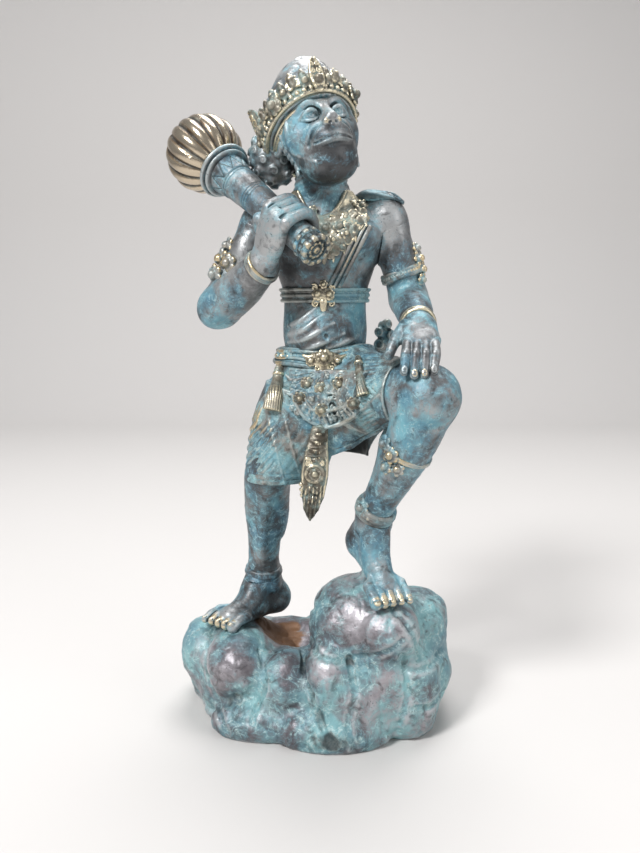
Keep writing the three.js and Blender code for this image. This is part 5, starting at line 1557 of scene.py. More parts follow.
@dataclass
class Hands:
    """The left hand over the knee and the right fist round the club."""

    grain: float = 0.48
    finger_base: tuple = (56, -47, 236.4)
    finger_bend: tuple = (54.5, -59.5, 230)
    finger_tip: tuple = (53, -67, 219.8)
    finger_radius: float = 2.8
    finger_pitch: float = 5.1
    thumb: tuple = ((48.5, -37, 244), (42.5, -44.5, 238), (38, -49.5, 229))
    palm: tuple = ((56, -35, 245), (56.2, -42, 241), (56, -48, 236.4))
    fist_width: float = 22.0
    fist_finger: float = 2.95

    def build(self, foundry: Foundry) -> None:
        """Models both hands."""
        self.build_left(foundry)
        self.build_right(foundry)

    def build_left(self, foundry: Foundry) -> None:
        """The open hand: a flat palm with tendons, four bent fingers with nails, and a thumb."""
        clay = Clay((30, -80, 212), (72, -24, 258), self.grain)
        LEFT_ARM.model_lower(clay)
        along = unit(np.subtract(self.palm[2], self.palm[0]))
        top = np.cross(along, (1, 0, 0))
        top = top if top[2] > 0 else -top
        clay.limb(self.palm, (9.0, 10.2, 10.6), 4, flat=(top, 0.5))
        base, bend, tip = (np.array(p) for p in (self.finger_base, self.finger_bend, self.finger_tip))
        spread = (-1.5, -0.5, 0.5, 1.5)
        drop = (1.6, 0.0, 0.3, 2.2)
        for k, short in zip(spread, drop):
            shift = np.array([k * self.finger_pitch, 0, 0])
            fan = np.array([k * 0.2, 0, 0])
            end = tip + shift + fan + (0, short, short)
            way = [base + shift, 0.5 * (base + bend) + shift + (0, -0.6, 1.6), bend + shift + fan, end]
            r = self.finger_radius
            clay.limb(way, (r, r * 1.02, r * 1.05, r * 0.86), 0.6, steps=5)
            clay.ball(base + shift + top * 1.4, (3.1, 3.1, 2.6), 1.2)
            clay.ball(bend + shift + fan + (0, -0.9, 1.2), 2.5, 1.0)
            heel = np.array(self.palm[0]) + shift * 0.4 + top * 4.6
            clay.limb([heel, base + shift + top * 2.2], (0.9, 1.5), 1.8)
            out = unit((0, -1, 0.35))
            clay.ball(end + out * 1.9 + (0, 0, 0.6), (0.7, 1.7, 2.3), 0.2, axes=axes_along(out, (1, 0, 0)))
        clay.limb([np.array(self.palm[1]) + (-6, 0, 0), *self.thumb], (5.4, 4.3, 3.5, 2.7), 2.5)
        clay.ball(np.array(self.thumb[2]) + (-0.6, -2.2, 0.8), (1.8, 0.8, 2.2), 0.2)
        clay.settle()
        clay.trim(LEFT_ARM.wrist.at, np.subtract(LEFT_ARM.forearm.at, LEFT_ARM.wrist.at))
        foundry.cast("left_hand", clay, SKIN_PATINA, 1.6, ((0.1, 4, 15),), 0.8)

    def build_right(self, foundry: Foundry) -> None:
        """The fist: a broad back of the hand, four fingers curled over the grip, and a thumb under them."""
        clay = Clay((-42, -62, 272), (8, -10, 322), self.grain)
        RIGHT_ARM.model_lower(clay)
        grip = np.array(CLUB.grip)
        axis = unit(CLUB.towards_pommel)
        wrist = np.array(RIGHT_ARM.wrist.at)
        reach = unit((grip - wrist) - axis * ((grip - wrist) @ axis))
        back = np.cross(axis, reach)

        def about(angle: float, radius: float, along: float) -> Array:
            """A point round the grip, at an angle from the back of the hand."""
            a = math.radians(angle)
            return grip + radius * (back * math.cos(a) + reach * math.sin(a)) + axis * along

        palm = CLUB.grip_radius + 2.6
        middle = 0.5 * (wrist + about(-50, palm + 1.5, 0))
        clay.limb(
            [wrist, middle, about(-50, palm + 1, 0), about(-14, palm, 0)],
            (9.0, 10.0, 11.0, 10.4), 3, flat=(about(-25, 1, 0) - grip, 0.55),
        )
        r = self.fist_finger
        turns = (
            (-20, 0.0, 0.8), (12, 1.9, 1.2), (45, 0.9, 1.0), (78, 1.3, 1.1), (110, 0.5, 1.0),
            (145, 0.2, 0.98), (180, 0.0, 0.9), (200, -0.3, 0.8),
        )
        for k in range(4):
            along = (k - 1.5) * self.fist_width / 4
            way = [about(angle, CLUB.grip_radius + r * 0.9 + lift, along) for angle, lift, _ in turns]
            clay.limb(way, [r * share for _, _, share in turns], 0.35, steps=3)
        for k in range(3):
            along = (k - 1) * self.fist_width / 4
            way = [about(angle, CLUB.grip_radius + r * 1.95 + lift, along) for angle, lift, _ in turns[1:6]]
            clay.limb(way, 0.75, 0.4, Tool.CUT, steps=3)
        along = -self.fist_width / 2 - r * 0.4
        way = [about(a, CLUB.grip_radius + r * 1.0, along) for a in (-30, -65, -100, -135)]
        clay.limb(way, (r * 1.3, r * 1.25, r * 1.1, r * 0.9), 1.5, steps=4)
        clay.settle()
        clay.trim(RIGHT_ARM.wrist.at, np.subtract(RIGHT_ARM.forearm.at, RIGHT_ARM.wrist.at))
        foundry.cast("right_hand", clay, SKIN_PATINA, 1.6, ((0.1, 4, 16),), 0.8)


@dataclass
class ArmRings:
    """Armlets with clusters of flowers on their outer sides, and the plainer bracelets."""

    right_flowers: tuple = (
        ((-53, 1, 291), (-0.9, -0.5, 0.2), 5.4), ((-58, 0, 283.5), (-0.9, -0.5, 0), 7.0),
        ((-53.5, -7, 281), (-0.6, -0.8, 0), 5.8), ((-58.5, -2, 275), (-0.8, -0.6, -0.1), 6.4),
    )
    left_flowers: tuple = (
        ((58.6, -2, 290), (0.9, -0.5, 0.3), 4.2), ((60.5, -3, 284), (0.8, -0.6, 0.1), 5.0),
        ((61.2, -3, 277.5), (0.8, -0.6, 0), 5.0), ((60.5, -4, 271.5), (0.8, -0.6, -0.2), 4.0),
    )

    def build(self, foundry: Foundry) -> None:
        """Models the four rings, each round its limb's own axis."""
        for node, arm, radius, flowers in (
            ("right_armlet", RIGHT_ARM, 12.4, self.right_flowers),
            ("left_armlet", LEFT_ARM, 12.1, self.left_flowers),
        ):
            at = np.array(arm.seam.at)
            axis = unit(at - arm.biceps.at)
            limb = Clay(at - 34, at + 34, 1.0)
            arm.model_upper(limb)
            flowers = seated(limb, flowers)
            ring_piece(
                foundry, node, at - axis * 1.2, axis, radius, (1.4, 1.6), 3.4, DRESS_PATINA, flowers, 44
            )
        for node, arm, place, radius, finish in (
            ("right_bracelet", RIGHT_ARM, 0.92, 9.9, DRESS_PATINA),
            ("left_bracelet", LEFT_ARM, 0.86, 9.4, RUBBED_BRASS),
        ):
            near, far = np.array(arm.forearm.at), np.array(arm.wrist.at)
            ring_piece(
                foundry, node, near + (far - near) * place, far - near, radius, (0.9, 1.2, 0.9), 1.5, finish
            )


def outline_distance(u: Array, v: Array, corners: Sequence[tuple[float, float]]) -> Array:
    """The signed distance to a closed outline in two directions, negative inside.

    It is the least distance to the outline's sides, with the sign from how often a ray crosses them.
    """
    corners = np.asarray(corners, float)
    least = np.full(np.broadcast(u, v).shape, FAR)
    inside = np.zeros(least.shape, bool)
    for (au, av), (bu, bv) in zip(corners, np.roll(corners, -1, 0)):
        du, dv = bu - au, bv - av
        t = np.clip(((u - au) * du + (v - av) * dv) / (du * du + dv * dv + TINY), 0, 1)
        least = np.minimum(least, np.hypot(u - au - du * t, v - av - dv * t))
        crosses = (av > v) != (bv > v)
        inside ^= crosses & (u < au + du * (v - av) / (dv + (TINY if dv == 0 else 0)))
    return np.where(inside, -least, least)


def line_run(u: Array, v: Array, line: Sequence[tuple[float, float]]) -> tuple[Array, Array]:
    """How far points are from an open line in two directions, and how far along it they come nearest."""
    line = np.asarray(line, float)
    gap, run = np.full(u.shape, FAR), np.zeros(u.shape)
    past = 0.0
    for (au, av), (bu, bv) in zip(line[:-1], line[1:]):
        du, dv = bu - au, bv - av
        long = math.hypot(du, dv)
        t = np.clip(((u - au) * du + (v - av) * dv) / long**2, 0, 1)
        near = np.hypot(u - au - du * t, v - av - dv * t)
        run = np.where(near < gap, past + t * long, run)
        gap = np.minimum(gap, near)
        past += long
    return gap, run


def closed_cord(clay: Clay, points: Array, radius: float, blend: float = 0.3) -> None:
    """Adds a cord along a closed line of points."""
    clay.limb(np.vstack([points, points[:1]]), radius, blend, steps=1)


def scroll_on(clay: Clay, at: Vec, out: Vec, size: float, way: float, tube: float) -> None:
    """Adds a small spiral scroll: a tube whose distance from its middle shrinks as it turns.

    Args:
        clay: what it is added to.
        at: its middle.
        out: the way it faces.
        size: its outer radius.
        way: 1 or -1, the sense of its turn.
        tube: the tube's radius.
    """
    axes = axes_along(out, SCROLL_ASIDE)
    t = np.linspace(0, 1, SCROLL_POINTS)
    angle = way * t * SCROLL_HALF_TURNS * np.pi + SCROLL_START
    radius = size * (1 - SCROLL_SHRINK * t)
    u, v = (radius * np.cos(angle))[:, None], (radius * np.sin(angle))[:, None]
    clay.limb(
        np.asarray(at, float) + u * axes[1] + v * axes[2], tube * (1 - SCROLL_TAPER * t), 0.15, steps=1
    )


@dataclass
class Skirt:
    """The wrapped skirt with a sleeve over each thigh."""

    grain: float = 0.66
    hips: tuple[Station, ...] = (
        Station((3.5, 4, 231), (27, 23)), Station((4, 3, 208), (34.5, 27)),
        Station((2, 1, 188), (36, 28.5)),
        Station((5, -2, 169), (27, 26)), Station((6, 0, 162), (25.5, 24)),
    )
    right: tuple[Station, ...] = (
        Station((-9, 2, 202), (25, 26.5)), Station((-19, 0, 177), (24.5, 27)),
        Station((-28.5, -1, 143), (19.6, 24.2)),
    )
    left: tuple[Station, ...] = (
        Station((15, -1, 204), (25.5, 24)), Station((31, -19, 204), (25.2, 23)),
        Station((49, -41, 206.5), (19.7, 18.9)),
    )
    wall: float = 1.7
    hem_depth: float = 16.0
    hem_level: float = 150.0
    down: tuple = (0.0, 0.0, -1.0)
    right_way: tuple = (-19.5, -3.0, -59.0)
    left_way: tuple = (34.0, -40.0, 2.5)
    scoop: tuple = ((3.5, 150), (6.5, 168.5), (20, 172.5), (31, 180), (42, 191))
    ladder: tuple = ((0.6, 188.7), (14.5, 195.1), (22, 202.1), (30, 210.9))
    fringe: tuple = (
        ((-28, 200), (-33, 189), (-39, 176)), ((-29, 201), (-35, 191), (-42, 174)),
        ((-30, 202), (-37, 193), (-44, 180)),
        ((-31, 203), (-38, 196), (-44, 187)),
    )
    coarse: Optional[Clay] = None

    def model(self, clay: Clay) -> None:
        """Adds the skirt's outside: level sections at the hips and one sleeve over each thigh."""
        clay.loft(self.hips, self.down)
        clay.loft(self.right, self.right_way, blend=6)
        clay.loft(self.left, self.left_way, UP, blend=13)

    def front(self, places: Sequence[tuple[float, float]], proud: float = 0.0) -> Array:
        """Points on the skirt's front at places across and up."""
        if self.coarse is None:
            self.coarse = Clay((-56, -62, 145), (56, 4, 234), 1.2)
            self.model(self.coarse)
        lines = np.array([(x, -10, z) for x, z in places])
        return self.coarse.seat(lines, FRONT, 50) + np.array([0, -proud, 0])

    def waist(self, height: Array, proud: float, count: int) -> Array:
        """Points round the hips at one height or at many: the section's ellipse, widened by proud."""
        heights = [s.at[2] for s in self.hips][::-1]
        rows = np.array([(*s.at[:2], *s.half) for s in self.hips])[::-1]
        cx, cy, a, b = (np.interp(height, heights, rows[:, k]) for k in range(4))
        angle = np.linspace(0, 2 * np.pi, count, endpoint=False)
        return np.column_stack([
            cx + (a + proud) * np.cos(angle), cy + (b + proud) * np.sin(angle), np.full(count, height),
        ])

    def build(self, foundry: Foundry) -> None:
        """Models the skirt, scoops its front hem, opens its hems, and adds fringe, pleats and borders."""
        clay = Clay((-56, -66, 144), (74, 34, 236), self.grain)
        self.model(clay)
        for line in self.fringe:
            seats = clay.seat([(x, -10, z) for x, z in line], unit((-0.72, -0.69, 0)), 40)
            clay.limb(seats, (0.9, 1.2, 0.7), 0.4)
        clay.settle()
        for end, way, across in (
            (self.right[-1], self.right_way, (1, 0, 0)), (self.left[-1], self.left_way, UP)
        ):
            at, along = np.array(end.at), unit(way)
            thin = tuple(h - self.wall for h in end.half)
            inside = [Station(tuple(at + along * s * self.hem_depth), thin) for s in (-1, 1)]
            clay.loft(inside, way, across, 0.8, Tool.CUT)
        fork = self.hips[-1]
        thin = tuple(h - self.wall for h in fork.half)
        inside = [Station((fork.at[0], fork.at[1], fork.at[2] + s), thin) for s in (32, -14)]
        clay.loft(inside, self.down, blend=0.8, tool=Tool.CUT)
        x, y, z = clay.grid()
        back = np.clip((y + 6) / 20, 0, 1)
        hem = np.interp(x, *zip(*self.scoop)) * (1 - back) + self.hem_level * back
        clay.keep(hem - z)
        skin = clay.skin(2.4)
        skin.raise_by(self.pleats(skin.points), 0.7)
        foundry.place("skirt", skin, DRESS_PATINA)

    def rungs(self, points: Array) -> Array:
        """Heights of the ribbed border that sweeps over the left hip: rungs between two raised edges."""
        gap, run = line_run(points[:, 0], points[:, 2], self.ladder)
        band = (points[:, 1] < 0) * (run > 0.2) * (run < run.max() - 0.2)
        ribs = np.clip((3.4 - gap) / 0.6, 0, 1) * 0.4 * np.cos(2 * np.pi * run / 2.7)
        return band * (ribs - groove(gap - 4.2, 0.7, 0.6))

    def pleats(self, points: Array) -> Array:
        """Heights of the cloth's lines: hatching on both flanks, a framed panel, and hem borders."""
        x, y, z = points.T
        front = np.clip(-y / 6, 0, 1)
        below = np.clip((189 - z) / 4, 0, 1) * np.clip((z - 157) / 2, 0, 1)
        flank = np.clip((-25 - x) / 2, 0, 1) * below * (y < 8)
        height = flank * 0.45 * np.cos(2 * np.pi * (0.77 * x - 0.64 * z) / 3.1)
        panel = np.clip((x + 24) / 2, 0, 1) * np.clip((-7 - x) / 2, 0, 1) * below * front
        height += panel * 0.2 * np.cos(2 * np.pi * (0.77 * x - 0.64 * z) / 5.2)
        right = (x < 2) * np.clip((190 - z) / 2, 0, 1)
        for edge in (-25.5, -15.5):
            height -= groove(x - edge + 0.25 * (z - 170), 0.7, 0.55) * right * front
        height += right * (groove(z - 153.0, 0.5, 0.5) + groove(z - 156.5, 0.5, 0.4))
        gap, _ = line_run(x, z, self.scoop[1:])
        height += groove(gap - 3.0, 0.6, 0.5) * (x > 6) * (y < 0)
        height += self.rungs(points)
        rows = axes_along(self.left_way, UP)
        own = (points - self.left[0].at) @ rows.T
        share = own[:, 0] / np.linalg.norm(self.left_way)
        turned = np.arctan2(own[:, 2], own[:, 1])
        sleeve = np.clip((share - 0.5) / 0.1, 0, 1) * (x > 20)
        sleeve = sleeve * np.clip((0.86 - share) / 0.05, 0, 1)
        height += sleeve * 0.3 * np.cos(2 * np.pi * (turned * 22 + 16 * share) / 3.0)
        behind = np.clip((y - 20) / 4, 0, 1) * np.clip((222 - z) / 10, 0, 1)
        height += behind * 0.5 * np.cos(np.arctan2(x - 2, y) * 34 + 0.05 * z)
        return height + 0.25 * noise(points, 8, 21) + 0.14 * noise(points, 3, 22)


SKIRT = Skirt()


@dataclass
class Dress:
    """What hangs over the skirt: belt, buckle, apron, rosettes, sash tail, tassel, sash end and tail."""

    belt_low: float = 220.5
    belt_high: float = 229.5
    apron_top: float = 219.5
    apron_drop: float = 34.0
    apron_centre: float = 4.5
    apron_half: float = 23.0
    rosettes: tuple = ((-7.5, 211), (0.5, 208.5), (11, 212), (-12, 202.5), (19, 201.5), (1, 196))
    rosette_radius: float = 4.0
    sash: tuple = (
        ((0.5, -27, 188), 4.2), ((-1.5, -33, 175), 6.2), ((-3, -35.5, 160), 8.0), ((-4.5, -34, 144), 6.0),
        ((-6, -31, 131), 1.2),
    )
    tassel: tuple = ((-24.5, 218, 3.0), (-25.4, 211, 3.6), (-26.8, 203, 5.0), (-28.4, 195, 5.6))
    sash_end: tuple = ((22.0, 226, 2.0), (22.4, 219, 2.4), (23.0, 212, 2.9), (24.2, 206.5, 3.8))
    tail: tuple = (
        ((2, 26, 204), 6.3), ((14, 39, 207), 6.1), ((34, 38, 220), 5.4), ((42, 30, 233), 4.9),
        ((40, 29, 243), 3.0),
    )

    def build(self, foundry: Foundry) -> None:
        """Models each piece in turn."""
        SKIRT.build(foundry)
        self.build_belt(foundry)
        self.build_apron(foundry)
        self.build_sash(foundry)
        self.build_hangings(foundry)
        self.build_tail(foundry)

    def build_belt(self, foundry: Foundry) -> None:
        """The belt: a thin band with three sagging cords and a few flowers, and its flowered buckle."""
        clay = Clay((-32, -30, 215), (40, 36, 235), 0.53)
        middle = (self.belt_low + self.belt_high) / 2
        clay.loft(SKIRT.hips, SKIRT.down, grow=1.1)
        clay.keep(np.abs(clay.plane((0, 0, middle), UP)) - 4.4, 0.8)
        clay.loft(SKIRT.hips, SKIRT.down, tool=Tool.CUT, grow=-0.6)
        angle = np.linspace(0, 2 * np.pi, 72, endpoint=False)
        sag = np.maximum(-np.sin(angle), 0)
        for start, drop, wave, cord in (
            (229.6, 0.5, 0.4, 1.2), (226.6, 2.6, 0.9, 1.0), (223.4, 2.8, 0.6, 1.3)
        ):
            height = start - drop * sag**2 + wave * np.sin(5 * angle) + 0.8 * np.cos(angle)
            closed_cord(clay, SKIRT.waist(height, 1.7, 72), cord)
        for turned in (196, 208, 222, 302, 312, 340, 30, 60, 90, 120, 150):
            way = np.array([math.cos(math.radians(turned)), math.sin(math.radians(turned)), 0])
            flower_on(clay, np.array([3.6, 4.0, middle + 1]) + way * (29.5, 25.5, 0), way, 2.9, 6)
        foundry.cast("hip_belt", clay, DRESS_PATINA, 1.2, ((0.16, 2.5, 25),), 0.6)
        seat = SKIRT.front([(2.5, middle)], 3.3)[0]
        clay = Clay(seat - (16, 7, 12), seat + (16, 5, 10), 0.4)
        clay.ball(seat + (0, 1.6, 0), (10, 2.6, 5), 0.5)
        flower_on(clay, seat + (0, -0.6, 1.2), (0, -1, 0.15), 5.2)
        for hand in (-1, 1):
            flower_on(clay, seat + (hand * 7.6, 0.6, -0.6), (hand * 0.3, -1, 0.1), 3.7)
            scroll_on(clay, seat + (hand * 4.2, -0.4, -4.6), FRONT, 2.2, hand, 0.65)
            clay.limb([seat + (hand * 9, 1.6, 1), seat + (hand * 12.5, 2.6, 2.4)], (1.6, 0.7), 0.3)
        clay.limb(
            [seat + (0, 0, -3), seat + (0, -0.2, -7), seat + (0, 0.4, -9.5)], (2.4, 1.9, 0.6), 0.3,
            flat=(FRONT, 0.6)
        )
        foundry.place("hip_belt_buckle", clay.skin(0.6), RUBBED_BRASS)

    def apron_edge(self, shrink: float, count: int = 24) -> list[tuple[float, float]]:
        """The apron's outline across and up: a rounded tongue, drawn in by shrink."""
        angle = np.pi * np.linspace(0, 1, count)
        across = self.apron_centre - (self.apron_half - shrink) * np.cos(angle)
        drop = (self.apron_drop - shrink) * np.sin(angle).clip(0, 1) ** 0.8
        return list(zip(across, self.apron_top - drop))

    def build_apron(self, foundry: Foundry) -> None:
        """The apron: a tongue of a wall over the skirt, with ribbed borders, chains and six rosettes."""
        clay = Clay((-23, -42, 177), (34, -8, 224), 0.5)
        SKIRT.model(clay)
        clay.shell(-0.3, 2.0)
        x, y, z = clay.grid()
        tongue = outline_distance(x, z, self.apron_edge(0.0))
        clay.keep(np.maximum(tongue + 0 * y, y + 14), 0.8)
        for shrink, cord in ((0.8, 1.2), (7.0, 0.7)):
            line = SKIRT.front(self.apron_edge(shrink)[2:-2], 2.1)
            clay.limb(line, cord, 0.4, steps=2)
        for line in (
            (
                (-20, 215), (-12, 208.5), (-7.5, 211), (-3.5, 206), (0.5, 208.5), (6, 206), (11, 212),
                (18, 209), (25, 215)
            ),
            ((-19, 205), (-12, 202.5), (-6, 196.5), (1, 196), (10, 197), (19, 201.5)),
        ):
            clay.limb(SKIRT.front(line, 2.0), 0.9, 0.5)
        buds = [
            (-15, 210), (-4.5, 202), (6, 202.5), (16.5, 206), (12.5, 201), (-16, 197), (-6, 190.5),
            (7, 190.5), (4.5, 215)
        ]
        for seat in SKIRT.front(buds, 2.1):
            flower_on(clay, seat, FRONT, 2.3, 6)
        columns = list(enumerate(np.arange(-13, 23, 4.2)))
        vines = [(x, z + 1.5 * (-1) ** k) for z in (193, 199, 205.5, 214) for k, x in columns]
        for k, seat in enumerate(SKIRT.front(vines, 2.0)):
            scroll_on(clay, seat, FRONT, 2.1, (-1) ** k, 0.65)
        skin = clay.skin(1.4)
        x, _, z = skin.points.T
        edge = outline_distance(x, z, self.apron_edge(0.0))
        border = np.clip((edge + 6.6) / 0.8, 0, 1) * np.clip((-1.8 - edge) / 0.8, 0, 1)
        sweep = np.arctan2(x - self.apron_centre, self.apron_top - z)
        height = border * 0.3 * np.cos(sweep * 46) * (x < 0)
        inner = np.clip(-7.6 - edge, 0, 1)
        height += inner * 0.25 * noise(skin.points, 2.2, 27) + SKIRT.rungs(skin.points)
        skin.raise_by(height, 0.6)
        foundry.place("front_apron", skin, DRESS_PATINA)
        for k, seat in enumerate(SKIRT.front(self.rosettes, 2.6), 1):
            boss = Clay(seat - (6.5, 5, 6.5), seat + (6.5, 5, 6.5), 0.34)
            flower_on(boss, seat, FRONT, self.rosette_radius)
            foundry.place(f"apron_rosette_{k}", boss.skin(0.5), RUBBED_BRASS)

    def build_sash(self, foundry: Foundry) -> None:
        """The sash's tail: a flat strap with raised rims, scales, a flower and a ridged tip."""
        points = np.array([p for p, _ in self.sash], float)
        widths = np.array([w for _, w in self.sash])
        clay = Clay((-16, -46, 126), (12, -20, 198), 0.42)
        clay.limb(points, widths, 0, flat=(FRONT, 0.45))
        way = curve_through(np.column_stack([points, widths]), 61)
        spine, width = way[:, :3], way[:, 3:]
        face = np.array([0, -1, 0]) * width * 0.42
        for hand in (-1, 1):
            rim = spine + face * 0.5 + np.array([hand, 0, 0]) * width * 0.84
            clay.limb(rim[:56:5], 0.7, 0.8, steps=2)
        for k in range(5):
            place = 2 + 5 * k
            centre, half = spine[place] + face[place] * 0.9, width[place][0] * 0.66
            clay.limb(
                [centre + (-half, 0.8, 0.8), centre + (0, -0.7, -0.4), centre + (half, 0.8, 0.8)],
                (1.1, 2.0, 1.1), 0.4
            )
        middle = spine[30] + face[30]
        clay.ring(middle, FRONT, 4.7, 1.3, 0.4)
        flower_on(clay, middle, FRONT, 4.0, 6)
        for hand in (-1, 1):
            scroll_on(clay, middle + (hand * 3.6, 0.4, 6.6), FRONT, 2.6, hand, 1.0)
        for k in range(3):
            place = 36 + 3 * k
            clay.ball(spine[place] - np.array([0.95, 0, 0]) * width[place] + face[place] * 0.4, 1.5, 0.3)
        for hand, place in ((1, 39), (-1, 44)):
            centre, half = spine[place] + face[place], width[place][0] * 0.6
            bend = [
                (-half, 0.6, -2.2 * hand), (-0.4 * half, -0.3, 1.2 * hand), (0.4 * half, -0.3, -0.8 * hand),
                (half, 0.6, 2.2 * hand)
            ]
            clay.limb(centre + np.array(bend), (1.0, 1.9, 1.9, 1.0), 0.5)
        skin = clay.skin(1.1)
        x, _, z = skin.points.T
        lean = np.interp(z, spine[::-1, 2], spine[::-1, 0])
        flute = np.clip((154 - z) / 4, 0, 1) * 0.22 * np.cos(2 * np.pi * (x - lean) / 2.2)
        skin.raise_by(flute + 0.12 * noise(skin.points, 2.2, 31), 0.5)
        foundry.place("front_sash_tail", skin, RUBBED_BRASS)

    def build_hangings(self, foundry: Foundry) -> None:
        """The fluted tassel on the right hip and the small bell-ended sash on the left."""
        for node, rows, flutes, finish in (
            ("right_hip_tassel", self.tassel, 18, RUBBED_BRASS),
            ("left_sash_end", self.sash_end, 10, RUBBED_BRASS),
        ):
            seats = SKIRT.front([(x, z) for x, z, _ in rows], 2.6)
            radii = [r for _, _, r in rows]
            clay = Clay(seats.min(0) - 7, seats.max(0) + 7, 0.4)
            clay.limb(seats, radii, 0, flat=(FRONT, 0.7))
            clay.trim(seats[-1], seats[-1] - seats[-2])
            clay.ring(seats[1] * 0.4 + seats[0] * 0.6, seats[1] - seats[0], radii[0] * 0.9, 1.0, 0.6)
            skin = clay.skin(1.2)
            spine = curve_through(np.column_stack([seats[:, 2][::-1], seats[::-1]]), 40)
            cx = np.interp(skin.points[:, 2], spine[:, 0], spine[:, 1])
            cy = np.interp(skin.points[:, 2], spine[:, 0], spine[:, 2])
            angle = np.arctan2(skin.points[:, 1] - cy, skin.points[:, 0] - cx)
            below = np.clip((seats[1][2] - 1 - skin.points[:, 2]) / 2, 0, 1)
            skin.raise_by(
                below * 0.4 * (np.abs(np.cos(angle * flutes / 2 + 0.2 * skin.points[:, 2])) - 0.7), 0.4
            )
            foundry.place(node, skin, finish)

    def build_tail(self, foundry: Foundry) -> None:
        """The tail, out of the skirt's back and round the left hip, ending in curled tufts."""
        points = np.array([p for p, _ in self.tail], float)
        clay = Clay((-8, 16, 194), (56, 50, 254), 0.6)
        clay.limb(points, [r for _, r in self.tail], 0)
        end = curve_through(points, 33)
        for k, (side, size) in enumerate(((1, 4.4), (-1, 4.6), (1, 4.2), (-1, 3.8), (1, 3.4))):
            at = end[20 + 3 * k] + np.array([side * 2.6, -2.4, 0.8 * side])
            clay.ball(at, size, 0.8)
            scroll_on(
                clay, at + (side * 1.2, -size * 0.72, 0), (side * 0.4, -1, 0.1), size * 0.72, side, 0.9
            )
        foundry.cast("tail", clay, DRESS_PATINA, 2.0, ((0.3, 4, 33),), 1.0)


